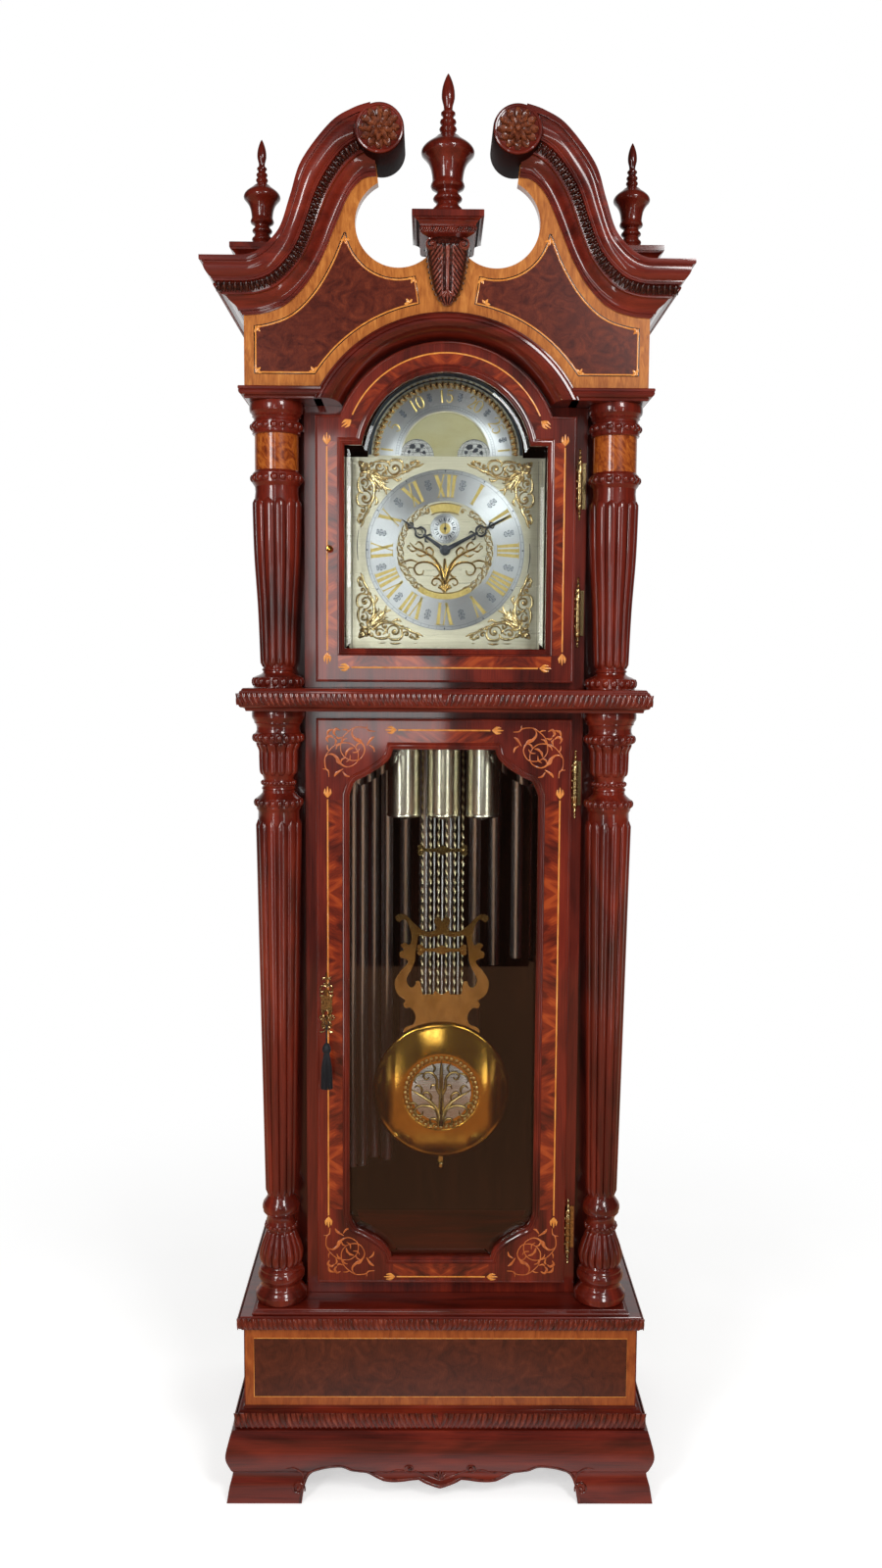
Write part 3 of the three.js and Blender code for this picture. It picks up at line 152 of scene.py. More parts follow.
# Polished wood: the grain sizes are millimetres across and along the fibres, and the tones run dark to light.
def polishedWood(name, slot, tones, grain=(1.4, 1.4, 90), figure=(60, 60, 320), swirl=1.2, pores=0.05, rough=0.32,
                 turn=(0, 0, 0), coat=0.9, shine=0.2):
    material, tree, shader, place = startMaterial(
        name, slot, Roughness=rough, Specular_IOR_Level=shine, Coat_Weight=coat, Coat_Roughness=0.07)
    turned = turnedBy(tree, place, turn)
    broad = noiseAt(tree, stepsOf(tree, turned, figure), 1, 3, 0.55, swirl)
    fine = noiseAt(tree, stepsOf(tree, turned, grain), 1, 3, 0.6, 0.2)
    tone = colourBy(tree, blended(tree, 0.32, broad, fine), *spreadTones(tones, 0.33, 0.67))
    link(tree, tone, shader, "Base Color")
    link(tree, ranged(tree, broad, rough - 0.05, rough + 0.08), shader, "Roughness")
    link(tree, bumpFrom(tree, fine, pores, 0.0006), shader, "Normal")
    return material


# Metal with fine unevenness: scratches are sized in millimetres along each axis.
def metalFinish(name, slot, colour, darker, rough=0.2, scratch=(6, 6, 6), depth=0.02, metallic=1, spread=0.08):
    material, tree, shader, place = startMaterial(name, slot, Metallic=metallic, Roughness=rough)
    noise = noiseAt(tree, stepsOf(tree, place, scratch), 1, 4, 0.6)
    link(tree, colourBy(tree, noise, (0.3, darker), (0.62, colour)), shader, "Base Color")
    link(tree, ranged(tree, noise, rough + spread, max(rough - spread, 0.03)), shader, "Roughness")
    link(tree, bumpFrom(tree, noise, depth, 0.001), shader, "Normal")
    return material


# French-polished red mahogany: dark, glassy, with the grain only just seen.
redTones = ("#310a05", "#50130a", "#6a1c0e", "#7e2612")
mahogany = polishedWood("polished_mahogany_upright", "mahogany", redTones, turn=(0, 0, 12))
# The same wood with its grain lying across the front.
mahoganyLying = polishedWood("polished_mahogany_lying", "mahogany", redTones, grain=(90, 1.4, 1.4),
                             figure=(320, 60, 60))
# The same wood on the sides of the rolls and of the bracket cap: painted darker as shade, and nearly dull.
mahoganyShadedSides = polishedWood("satin_mahogany_ends", "mahogany", ("#1d0805", "#2c0d08", "#3b120b"),
                             grain=(1.4, 1.4, 1.4), figure=(60, 60, 60), rough=0.6, coat=0.0, shine=0.04)
# The same wood with its grain running from front to back.
mahoganyDeep = polishedWood("polished_mahogany_depth", "mahogany", redTones, grain=(1.4, 90, 1.4),
                            figure=(60, 320, 60))

# Carved work: the same wood, browner where the polish is rubbed from the high spots.
carvedWood = polishedWood("carved_mahogany", "mahogany", ("#2c0b06", "#4c160c", "#6a2112", "#843a26"),
                          grain=(2, 2, 30), figure=(12, 12, 30), rough=0.28, coat=1.0)

# Deep small carving, painted dark as the shade in its hollows.
carvedShade = polishedWood("carved_mahogany_dark", "mahogany", ("#120605", "#230b07", "#3c140c", "#552014"),
                          grain=(2, 2, 6), figure=(5, 5, 5), rough=0.3, coat=0.8)
# Ridges of the bracket leaf and its scrolls, painted a lighter pinkish brown as a highlight.
carvedHighlight = polishedWood("carved_mahogany_ridges", "mahogany", ("#4c1a13", "#652a20", "#7c3b2e", "#924f3e"),
                           grain=(2, 2, 30), figure=(8, 8, 12), rough=0.24, coat=1.0)
# Rosettes: dry brown carving with lighter edges.
rosetteWood = polishedWood("carved_rosette_wood", "mahogany", ("#3a160b", "#562512", "#71361c", "#8c4c2a"),
                           grain=(3, 3, 3), figure=(8, 8, 8), rough=0.42, coat=0.4)


# Flamed crotch mahogany: fiery bands that slant across the strip and turn back at each joint of the veneers.
# Every leaf is so many millimetres long.
def flamedWood(name, slot, tones, leaf, slant, along):
    material, tree, shader, place = startMaterial(
        name, slot, Roughness=0.32, Specular_IOR_Level=0.2, Coat_Weight=0.9, Coat_Roughness=0.07)
    parts = addNode(tree, "ShaderNodeSeparateXYZ", {0: place}).outputs
    run, cross = (parts["Z"], parts["X"]) if along == "Z" else (parts["X"], parts["Z"])
    folded = maths(tree, "PINGPONG", run, leaf * mm)
    half = maths(tree, "ABSOLUTE", cross)
    bookmatched = addNode(tree, "ShaderNodeCombineXYZ", {"X": half, "Z": folded}).outputs[0]
    turned = turnedBy(tree, bookmatched, (0, slant, 0))
    flames = noiseAt(tree, stepsOf(tree, turned, (70, 1000, 21)), 1, 3, 0.55, 1.1)
    broad = noiseAt(tree, place, 14)
    fine = noiseAt(tree, stepsOf(tree, turned, (16, 16, 1.3)), 1, 2, 0.6)
    mixed = blended(tree, 0.2, blended(tree, 0.25, flames, broad), fine)
    link(tree, colourBy(tree, mixed, *spreadTones(tones, 0.36, 0.63)), shader, "Base Color")
    link(tree, bumpFrom(tree, fine, 0.04, 0.0005), shader, "Normal")
    return material

# Crossbanding of the doors.
flameTones = ("#340d06", "#5a190b", "#80290e", "#a04117")
crotch = flamedWood("flamed_crossband_upright", "burl", flameTones, 118, 28, "Z")
crotchLying = flamedWood("flamed_crossband_lying", "burl", flameTones, 118, 62, "X")
# Burr veneer of the pediment: tight dark red-brown curl.
burr = polishedWood("mahogany_burr_veneer", "burl", ("#3c1008", "#4e180b", "#5e210e", "#6f2b12"),
                    grain=(1.6, 1.6, 2.4), figure=(34, 34, 26), swirl=2.2, pores=0.03)
# Fine straight veneer of the plinth panel.
plinthVeneer = polishedWood("plain_mahogany_veneer", "burl", ("#361109", "#44180c", "#501e0e", "#5c2612"),
                            grain=(1.5, 1.5, 9), figure=(30, 30, 30), swirl=1.5, pores=0.03)
# Satinwood crossbanding: golden orange, with short bright ripples.
satinwood = polishedWood("satinwood_banding", "burl", ("#8a4718", "#a05a22", "#b46b2b", "#c47d38"),
                         grain=(1.2, 3, 14), figure=(10, 14, 40), swirl=1.2, rough=0.34)
# Redder banding round the plinth panel.
plinthBanding = polishedWood("plinth_banding", "burl", ("#7a3410", "#8c4014", "#9c4c1a", "#a85822"),
                             grain=(1.2, 3, 14), figure=(20, 14, 60), swirl=1.0, rough=0.34)
# Figured drum on the hood columns.
drumVeneer = polishedWood("figured_drum_veneer", "burl", ("#5a1d08", "#83370f", "#a3521a", "#b46525"),
                          grain=(2, 2, 20), figure=(22, 22, 40), swirl=3, turn=(0, 40, 0))
# Boxwood stringing: a thin light orange line.
boxwood = polishedWood("boxwood_stringing", "burl", ("#c06a22", "#d98a3a", "#e39a48"), grain=(2, 2, 12),
                       figure=(12, 12, 30), swirl=0.6, rough=0.36)
# Redder wood of the scrolled corners.
marquetryWood = polishedWood("marquetry_wood", "burl", ("#9a481c", "#b65e2a", "#ca7438"), grain=(2, 2, 12),
                             figure=(12, 12, 30), swirl=0.6, rough=0.36)
# Ebony line beside the stringing.
ebony = polishedWood("ebony_line", "dark_wood", ("#120806", "#1c0d0a", "#25110c"), grain=(2, 2, 12),
                     figure=(20, 20, 60))
# Dull brown-stained inside boards.
stained = polishedWood("dark_stained_boards", "dark_wood", ("#26100a", "#33160d", "#421e12"), grain=(2, 2, 60),
                       figure=(60, 60, 300), rough=0.7, coat=0.0, shine=0.03)

# Polished and lacquered brass of the bob.
brass = metalFinish("polished_brass", "brass", "#dba94a", "#c08d38", rough=0.13, scratch=(30, 30, 40), depth=0.01)
# Paler polished brass of the sawn plates and twisted rods.
palePolish = metalFinish("pale_polished_brass", "brass", "#d8c083", "#b89a58", rough=0.14, scratch=(20, 20, 40),
                         depth=0.01)
# Twisted rods, which glint all along their length.
rodBrass = metalFinish("twisted_rod_brass", "brass", "#e6dcb8", "#c9b987", rough=0.36, scratch=(20, 20, 40),
                       depth=0.0)
# Cast brass fittings, dulled in the hollows.
agedBrass = metalFinish("aged_cast_brass", "brass", "#cdb583", "#7a6238", rough=0.24, scratch=(3, 3, 3), depth=0.08)
# Drawn brass shells of the weights, pale and satin, drawn upright.
shellBrass = metalFinish("drawn_brass_shell", "brass", "#f0ebd8", "#dcd5ba", rough=0.24, scratch=(30, 30, 240),
                         depth=0.0, spread=0.03)


# Antiqued cast brass of the ornament: brown patina and painted shade against its ground, and a painted highlight on
# the ridges.
# The ground lies at y millimetres.
def castOrnament(name, slot, ground, rise=1.3):
    material, tree, shader, place = startMaterial(name, slot, Metallic=1, Roughness=0.3)
    noise = noiseAt(tree, place, 420, 3)
    depth = addNode(tree, "ShaderNodeSeparateXYZ", {0: place}).outputs["Y"]
    # Height above the ground: dark patina with painted shade low down, a painted highlight on top.
    height = ranged(tree, depth, 0, 1, (ground + 0.1) * mm, (ground - rise) * mm)
    patinaAndPaintedLight = blended(tree, 0.25, height, noise)
    tone = colourBy(tree, patinaAndPaintedLight, (0.16, "#2e2416"), (0.34, "#6b5530"), (0.5, "#c9ab6c"), (0.8, "#ecd7a4"))
    link(tree, tone, shader, "Base Color")
    link(tree, ranged(tree, patinaAndPaintedLight, 0.5, 0.2), shader, "Roughness")
    link(tree, bumpFrom(tree, noise, 0.1, 0.0006), shader, "Normal")
    return material


# Castings of the dial, and of the medallion in the bob.
castBrass = castOrnament("antiqued_cast_brass", "brass", -75.2, 1.8)
medalBrass = castOrnament("antiqued_medallion_brass", "brass", -8.1, 5.2)
# Satin champagne-gold dial plate, and the plainer disc behind the moon arch.
dialGold = metalFinish("satin_gilt_plate", "dial_gold", "#dfdac4", "#d0cab0", rough=0.3, scratch=(90, 2, 1.2),
                       depth=0.02)
moonGold = metalFinish("moon_disc_gilt", "dial_gold", "#b0aa88", "#a19a74", rough=0.34, scratch=(60, 3, 30),
                       depth=0.02)
# Brushed silvering.
silver = metalFinish("brushed_silvering", "silvered", "#d6d6d4", "#b9b8b6", rough=0.28, scratch=(80, 2, 1.2),
                     depth=0.02)
# Chromed tubes, mirror bright.
chrome = metalFinish("bright_chrome", "chrome", "#dcdee2", "#c8cace", rough=0.3, scratch=(30, 30, 300), depth=0.0,
                     spread=0.03)
# Blued and blackened steel hands.
bluedSteel = metalFinish("blued_steel", "blackened", "#3c3f46", "#26282e", rough=0.34, scratch=(4, 4, 8),
                         metallic=0.6)
# Black printing ink on the dial.
ink = metalFinish("dial_ink", "blackened", "#2a3038", "#1b1f26", rough=0.45, metallic=0.1)

# Clear bevelled glass: only its gloss is seen, and lamps shine through it.
glass, glassTree, glassShader, glassPlace = startMaterial(
    "clear_glass", "glass", Roughness=0.0, IOR=1.45, Transmission_Weight=1.0)
glassShader.inputs["Base Color"].default_value = toLinear("#f7faf9")
haze = noiseAt(glassTree, glassPlace, 40)
link(glassTree, ranged(glassTree, haze, 0, 0.01), glassShader, "Roughness")
glassSeen = addNode(glassTree, "ShaderNodeLightPath").outputs
lampRay = maths(glassTree, "MAXIMUM", glassSeen["Is Shadow Ray"], glassSeen["Is Diffuse Ray"])
clearPass = addNode(glassTree, "ShaderNodeBsdfTransparent", {0: toLinear("#f2f6f5")}).outputs[0]
setSurface(glassTree, addNode(glassTree, "ShaderNodeMixShader", {
    0: lampRay, 1: glassShader.outputs[0], 2: clearPass}).outputs[0])

# Twisted navy silk threads.
silk, silkTree, silkShader, silkPlace = startMaterial("navy_silk_thread", "thread", Roughness=0.6, Sheen_Weight=0.1)
silkNoise = noiseAt(silkTree, silkPlace, 1600)
link(silkTree, colourBy(silkTree, silkNoise, (0.35, "#05070d"), (0.7, "#10151f")), silkShader, "Base Color")

print("materials made")


# Mesh helpers: a form is (points in millimetres, faces)

def combine(*forms):
    points, faces = [], []
    for more, moreFaces in forms:
        base = len(points)
        points += more
        faces += [[i + base for i in face] for face in moreFaces]
    return points, faces


def shade(mesh, angle=32):
    mesh.shade_smooth()
    mesh.set_sharp_from_angle(angle=radians(angle))


def meshFrom(name, form, angle=32):
    mesh = bpy.data.meshes.new(name)
    mesh.from_pydata([Vector(p) * mm for p in form[0]], [], form[1])
    work = bmesh.new()
    work.from_mesh(mesh)
    bmesh.ops.remove_doubles(work, verts=work.verts, dist=2e-6)
    bmesh.ops.recalc_face_normals(work, faces=work.faces)
    work.to_mesh(mesh)
    work.free()
    shade(mesh, angle)
    return mesh


# A piece belongs to the case unless another body is named.
def makePiece(name, form, material, *nodes, body="case", angle=32, bevel=0):
    mesh = meshFrom(name, form, angle)
    mesh.materials.append(material)
    return placePiece(name, mesh, slotOf[material.name], *nodes, body=body, bevel=bevel)


def placePiece(name, mesh, slot, *nodes, body="case", bevel=0):
    piece = bpy.data.objects.new(name, mesh)
    scene.collection.objects.link(piece)
    if bevel:
        rounding = piece.modifiers.new("rounding", "BEVEL")
        rounding.width = bevel * mm
        rounding.segments = 2
        rounding.limit_method = "ANGLE"
        rounding.angle_limit = radians(40)
        rounding.harden_normals = True
    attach(piece, body)
    if nodes:
        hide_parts(*nodes)
    return piece


# A copy of a CAD node with merged points, softened edges and smooth curves.
def refine(node, material, bevel=0.6):
    source = frame["nodes"][node].data
    work = bmesh.new()
    work.from_mesh(source)
    bmesh.ops.remove_doubles(work, verts=work.verts, dist=2e-6)
    bmesh.ops.dissolve_limit(work, angle_limit=radians(0.4), verts=work.verts, edges=work.edges)
    mesh = bpy.data.meshes.new(node + "_dressed")
    points = [v.co.copy() for v in work.verts]
    work.verts.index_update()
    mesh.from_pydata(points, [], [[v.index for v in f.verts] for f in work.faces])
    work.free()
    mesh.materials.append(material)
    shade(mesh)
    return placePiece(node + "_dressed", mesh, slotOf[material.name], node, body=bodyOf[node], bevel=bevel)


# Forms: outlines and paths are lists of (x, z) seen from the front

def smoothCurve(points, steps):
    curve, last = [], len(points) - 1
    for s in range(steps + 1):
        t = s / steps * last
        i = min(int(t), last - 1)
        u = t - i
        p0, p1, p2, p3 = (points[max(0, min(last, i + k))] for k in (-1, 0, 1, 2))
        curve.append(tuple(0.5 * (2 * b + (c - a) * u + (2 * a - 5 * b + 4 * c - d) * u * u
                                  + (3 * b - a - 3 * c + d) * u ** 3)
                           for a, b, c, d in zip(p0, p1, p2, p3)))
    return curve


def loft(rings, caps=True, closed=True):
    n = len(rings[0])
    points = [p for ring in rings for p in ring]
    faces = [[r * n + i, r * n + (i + 1) % n, (r + 1) * n + (i + 1) % n, (r + 1) * n + i]
             for r in range(len(rings) - 1) for i in range(n if closed else n - 1)]
    if caps:
        faces += [list(range(n)), list(range(len(points) - n, len(points)))]
    return points, faces


def slab(outline, y0, y1, holes=()):
    loops = [list(outline)] + [list(hole) for hole in holes]
    caps = tessellate_polygon([[Vector((x, z, 0)) for x, z in loop] for loop in loops])
    flat = [p for loop in loops for p in loop]
    n = len(flat)
    faces = [list(t) for t in caps] + [[i + n for i in t] for t in caps]
    start = 0
    for loop in loops:
        for i in range(len(loop)):
            a, b = start + i, start + (i + 1) % len(loop)
            faces.append([a, b, b + n, a + n])
        start += len(loop)
    return [(x, y0, z) for x, z in flat] + [(x, y1, z) for x, z in flat], faces


# Turned about an upright axis, or with axis "Y" about one that points at the viewer.
# The outline is a list of (radius, height), or of (radius, y).
def turning(outline, sides=48, at=(0, 0, 0), axis="Z"):
    rings = []
    for r, h in outline:
        angles = [2 * pi * i / sides for i in range(sides)]
        if axis == "Z":
            rings.append([(at[0] + r * cos(t), at[1] + r * sin(t), at[2] + h) for t in angles])
        else:
            rings.append([(at[0] + r * cos(t), at[1] + h, at[2] + r * sin(t)) for t in angles])
    return loft(rings)


def mirrorX(form):
    return [(-x, y, z) for x, y, z in form[0]], [list(reversed(f)) for f in form[1]]


def bothSides(form):
    return combine(form, mirrorX(form))


def moved(form, x=0, y=0, z=0):
    return [(px + x, py + y, pz + z) for px, py, pz in form[0]], form[1]


# An outline moved outwards by a distance, or inwards when it is negative.
def grown(outline, distance):
    area = sum(a[0] * b[1] - b[0] * a[1] for a, b in zip(outline, outline[1:] + outline[:1]))
    side = 1 if area > 0 else -1
    result = []
    for i, (x, z) in enumerate(outline):
        before, after = outline[i - 1], outline[(i + 1) % len(outline)]
        d0 = Vector((x - before[0], z - before[1])).normalized()
        d1 = Vector((after[0] - x, after[1] - z)).normalized()
        normal = Vector((d0.y + d1.y, -d0.x - d1.x))
        size = max(normal.length, 0.6)
        reach = distance * side * 2 / size
        normal.normalize()
        result.append((x + normal.x * reach, z + normal.y * reach))
    return result


# A moulding that follows a closed outline: profile is (distance outwards, distance forwards of y).
def edgeMoulding(outline, profile, y):
    rings = [[(x, y - forward, z) for x, z in grown(outline, out)] for out, forward in profile]
    return loft(rings + rings[:1], caps=False)


# A carved ridge along a path on a face at y: widths are spread evenly along it.
def stroke(path, widths, y, height=0.5):
    rings = []
    section = [(-1, 0), (-0.8, 0.6), (0, 1), (0.8, 0.6), (1, 0)]
    last = len(path) - 1
    for i, (x, z) in enumerate(path):
        t = i / last * (len(widths) - 1)
        k = min(int(t), len(widths) - 2)
        half = (widths[k] + (widths[k + 1] - widths[k]) * (t - k)) / 2
        a, b = path[max(i - 1, 0)], path[min(i + 1, last)]
        along = Vector((b[0] - a[0], b[1] - a[1]))
        along = along.normalized() if along.length > 1e-6 else Vector((1, 0))
        rings.append([(x - along.y * u * half, y - v * half * 2 * height, z + along.x * u * half)
                      for u, v in section])
    return loft(rings)


def circle(x, z, radius, start=0, end=360, steps=32):
    return [(x + radius * cos(radians(start + (end - start) * i / steps)),
             z + radius * sin(radians(start + (end - start) * i / steps))) for i in range(steps + 1)]


# Geometry Nodes trees

def startTree(name, *sockets):
    tree = bpy.data.node_groups.new(name, "GeometryNodeTree")
    tree.interface.new_socket("Geometry", in_out="OUTPUT", socket_type="NodeSocketGeometry")
    for socket, kind in sockets:
        tree.interface.new_socket(socket, in_out="INPUT", socket_type="NodeSocket" + kind)
    return tree, addNode(tree, "NodeGroupInput").outputs


def endTree(tree, instances, material):
    real = addNode(tree, "GeometryNodeRealizeInstances", {0: instances})
    dressed = addNode(tree, "GeometryNodeSetMaterial", {"Geometry": real.outputs[0], "Material": material})
    addNode(tree, "NodeGroupOutput", {0: dressed.outputs[0]})


# Copies set round an axis through Centre, each drawn at its own radius.
roundTree, given = startTree("copies_round_an_axis", ("Copy", "Object"), ("Count", "Int"), ("Start", "Float"),
                             ("Sweep", "Float"), ("Tilt", "Vector"), ("Centre", "Vector"), ("Material", "Material"))
info = addNode(roundTree, "GeometryNodeObjectInfo", {"Object": given["Copy"], "As Instance": True})
spots = addNode(roundTree, "GeometryNodePoints", {"Count": given["Count"]})
index = addNode(roundTree, "GeometryNodeInputIndex").outputs[0]
share = addNode(roundTree, "ShaderNodeMath", {0: index, 1: given["Count"]}, operation="DIVIDE").outputs[0]
angle = addNode(roundTree, "ShaderNodeMath", {0: share, 1: given["Sweep"], 2: given["Start"]},
                operation="MULTIPLY_ADD").outputs[0]
turn = addNode(roundTree, "ShaderNodeCombineXYZ", {"Z": angle}).outputs[0]
copies = addNode(roundTree, "GeometryNodeInstanceOnPoints",
                 {"Points": spots.outputs[0], "Instance": info.outputs["Geometry"], "Rotation": turn})
placed = addNode(roundTree, "GeometryNodeTransform", {"Geometry": copies.outputs[0], "Translation": given["Centre"],
    "Rotation": given["Tilt"]})
endTree(roundTree, placed.outputs[0], given["Material"])

# Copies in a row along a path: local X runs along it and local Y points away from the viewer of that face.
rowTree, given = startTree("copies_along_a_path", ("Geometry", "Geometry"), ("Copy", "Object"), ("Pitch", "Float"),
                           ("Facing", "Vector"), ("Material", "Material"))
info = addNode(rowTree, "GeometryNodeObjectInfo", {"Object": given["Copy"], "As Instance": True})
curve = addNode(rowTree, "GeometryNodeMeshToCurve", {0: given["Geometry"]})
even = addNode(rowTree, "GeometryNodeResampleCurve", {"Curve": curve.outputs[0], "Length": given["Pitch"]},
               mode="LENGTH")
tangent = addNode(rowTree, "GeometryNodeInputTangent").outputs[0]
along = addNode(rowTree, "FunctionNodeAlignRotationToVector", {"Vector": tangent}, axis="X")
square = addNode(rowTree, "FunctionNodeAlignRotationToVector",
                 {"Rotation": along.outputs[0], "Vector": given["Facing"]}, axis="Y", pivot_axis="X")
copies = addNode(rowTree, "GeometryNodeInstanceOnPoints",
                 {"Points": even.outputs[0], "Instance": info.outputs["Geometry"], "Rotation": square.outputs[0]})
endTree(rowTree, copies.outputs[0], given["Material"])


# Runs a tree on a path or on nothing and keeps the result as a plain mesh.
def growMesh(name, tree, copyForm, values, path=None, angle=40):
    base = bpy.data.meshes.new(name)
    if path:
        base.from_pydata([Vector(p) * mm for p in path], [(i, i + 1) for i in range(len(path) - 1)], [])
    holder = bpy.data.objects.new(name, base)
    copy = bpy.data.objects.new(name + "_copy", meshFrom(name + "_copy", copyForm, angle))
    scene.collection.objects.link(holder)
    scene.collection.objects.link(copy)
    modifier = holder.modifiers.new("copies", "NODES")
    modifier.node_group = tree
    values = {"Copy": copy, **values}
    for item in tree.interface.items_tree:
        if item.in_out == "INPUT" and item.name in values:
            modifier[item.identifier] = values[item.name]
    bpy.context.view_layer.update()
    mesh = bpy.data.meshes.new_from_object(holder.evaluated_get(bpy.context.evaluated_depsgraph_get()))
    mesh.name = name
    bpy.data.objects.remove(holder)
    bpy.data.objects.remove(copy)
    shade(mesh, angle)
    return mesh


def roundCopies(name, copyForm, count, centre, material, body="case", start=0, sweep=360, tilt=0, angle=40):
    mesh = growMesh(name, roundTree, copyForm, {
        "Count": count, "Start": radians(start), "Sweep": radians(sweep), "Tilt": (radians(tilt), 0, 0),
        "Centre": tuple(c * mm for c in centre), "Material": material}, angle=angle)
    return placePiece(name, mesh, slotOf[material.name], body=body)


# Copies round a centre on a face that the viewer looks at.
# The form is drawn on that face as if at the centre's right.
def faceCopies(name, form, count, centre, material, **more):
    drawn = [(x, z, -y) for x, y, z in form[0]], form[1]
    return roundCopies(name, drawn, count, centre, material, tilt=90, **more)


def mirroredMesh(mesh):
    work = bmesh.new()
    work.from_mesh(mesh)
    copied = bmesh.ops.duplicate(work, geom=work.verts[:] + work.edges[:] + work.faces[:])["geom"]
    for item in copied:
        if isinstance(item, bmesh.types.BMVert):
            item.co.x = -item.co.x
    bmesh.ops.reverse_faces(work, faces=[item for item in copied if isinstance(item, bmesh.types.BMFace)])
    work.to_mesh(mesh)
    work.free()
    return mesh


def rowCopies(name, copyForm, path, pitch, facing, material, body="case", slot=None, mirror=False, angle=40):
    values = {"Pitch": pitch * mm, "Facing": facing, "Material": material}
    mesh = growMesh(name, rowTree, copyForm, values, path=path, angle=angle)
    return placePiece(name, mirroredMesh(mesh) if mirror else mesh, slot or slotOf[material.name], body=body)


# Points moved by fixed distances, for outlines that are measured from a level or a centre.
def shifted(points, x=0, z=0):
    return [(a + x, b + z) for a, b in points]


def mirrored(points):
    return [(-x, z) for x, z in reversed(points)]


def box(x0, x1, y0, y1, z0, z1):
    return slab([(x0, z0), (x1, z0), (x1, z1), (x0, z1)], y0, y1)


# A bead, longer or flatter as its three half sizes say.
def bead(x, y, z, rx, ry, rz, around=10, up=5):
    rings = [[(x + rx * sin(pi * j / up) * cos(2 * pi * i / around),
               y + ry * sin(pi * j / up) * sin(2 * pi * i / around),
               z - rz * cos(pi * j / up)) for i in range(around)] for j in range(up + 1)]
    return loft(rings, caps=False)


print("helpers and trees ready")


# Camera: solved from the photograph
camera = {"lens": 29.74, "at": (-23.1, -2340.2, 1463.5), "pitch": 5.565, "yaw": 0.474, "roll": 0.350}
lensData = bpy.data.cameras.new("camera")
lensData.lens = camera["lens"]
lensData.sensor_fit = "VERTICAL"
lensData.sensor_height = 36
viewer = bpy.data.objects.new("camera", lensData)
viewer.matrix_world = (Matrix.Translation(Vector(camera["at"]) * mm)
                       @ Matrix.Rotation(radians(-camera["yaw"]), 4, "Z")
                       @ Matrix.Rotation(radians(90 - camera["pitch"]), 4, "X")
                       @ Matrix.Rotation(radians(camera["roll"]), 4, "Z"))
scene.collection.objects.link(viewer)
scene.camera = viewer

# Studio: a white backdrop behind, a dim room in front,
# soft boxes and tall strip lamps beside the camera and a pale floor
studio = {"floor": ("#eeeeec", "#f4f4f3"), "roomFront": "#382a22", "roomBack": "#ffffff", "roomFloor": "#aa7c5c",
          "roomSpread": 0.42, "floorFade": (0.55, 1.9), "mirrorFade": (0.3, 0.75), "floorLift": 0.5,
          "clockFront": -0.35, "roomDepth": (0.6, 6.0)}
white = (1, 1, 1, 1)
softBoxes = {
    "left_high": {"at": (-1300, -2450, 2200), "aim": (0, 0, 1250), "size": (0.55, 1.0), "power": 20},
    "right_high": {"at": (1060, -2450, 2800), "aim": (0, 0, 1250), "size": (0.6, 0.9), "power": 31},
    "left_strip": {"at": (-1200, -2250, 1050), "aim": (0, 0, 1050), "size": (0.14, 2.0), "power": 7.5},
    "right_strip": {"at": (1200, -2250, 1050), "aim": (0, 0, 1050), "size": (0.14, 2.0), "power": 6.5},
    "glare_stile": {"at": (-385, -2500, 1850), "aim": (-385, 0, 1850), "size": (0.13, 0.74), "power": 1.3},
    "glare_rails": {"at": (-205, -2500, 1320), "aim": (-205, 0, 1320), "size": (0.46, 0.34), "power": 2.0},
}


def addLamp(name, panel):
    data = bpy.data.lights.new(name, "AREA")
    data.energy = panel["power"]
    data.shape = "RECTANGLE"
    data.size, data.size_y = panel["size"]
    lamp = bpy.data.objects.new(name, data)
    lamp.location = Vector(panel["at"]) * mm
    lamp.rotation_euler = (Vector(panel["aim"]) - Vector(panel["at"])).to_track_quat("-Z", "Y").to_euler()
    scene.collection.objects.link(lamp)


for name, panel in softBoxes.items():
    addLamp(name, panel)

world = bpy.data.worlds.new("studio")
scene.world = world
world.use_nodes = True
worldTree = world.node_tree
worldTree.nodes.clear()
seen = addNode(worldTree, "ShaderNodeLightPath").outputs
skyPlace = addNode(worldTree, "ShaderNodeTexCoord").outputs["Generated"]
heading = addNode(worldTree, "ShaderNodeSeparateXYZ", {0: skyPlace})
sharp = maths(worldTree, "MAXIMUM", seen["Is Glossy Ray"], seen["Is Transmission Ray"])
backwards = ranged(worldTree, heading.outputs["Y"], 0, 1, 0.5, 1)
room = colourBy(worldTree, backwards, (0, studio["roomFront"]), (1, studio["roomBack"]))
spread = maths(worldTree, "MULTIPLY", seen["Is Diffuse Ray"], studio["roomSpread"])
strength = maths(worldTree, "MAXIMUM", seen["Is Camera Ray"], spread)
sky = addNode(worldTree, "ShaderNodeBackground", {"Color": white, "Strength": strength})
mirroredRoom = addNode(worldTree, "ShaderNodeBackground", {"Color": room, "Strength": sharp})
both = addNode(worldTree, "ShaderNodeAddShader", {0: sky.outputs[0], 1: mirroredRoom.outputs[0]})
addNode(worldTree, "ShaderNodeOutputWorld", {"Surface": both.outputs[0]})
scene.view_settings.view_transform = "Standard"

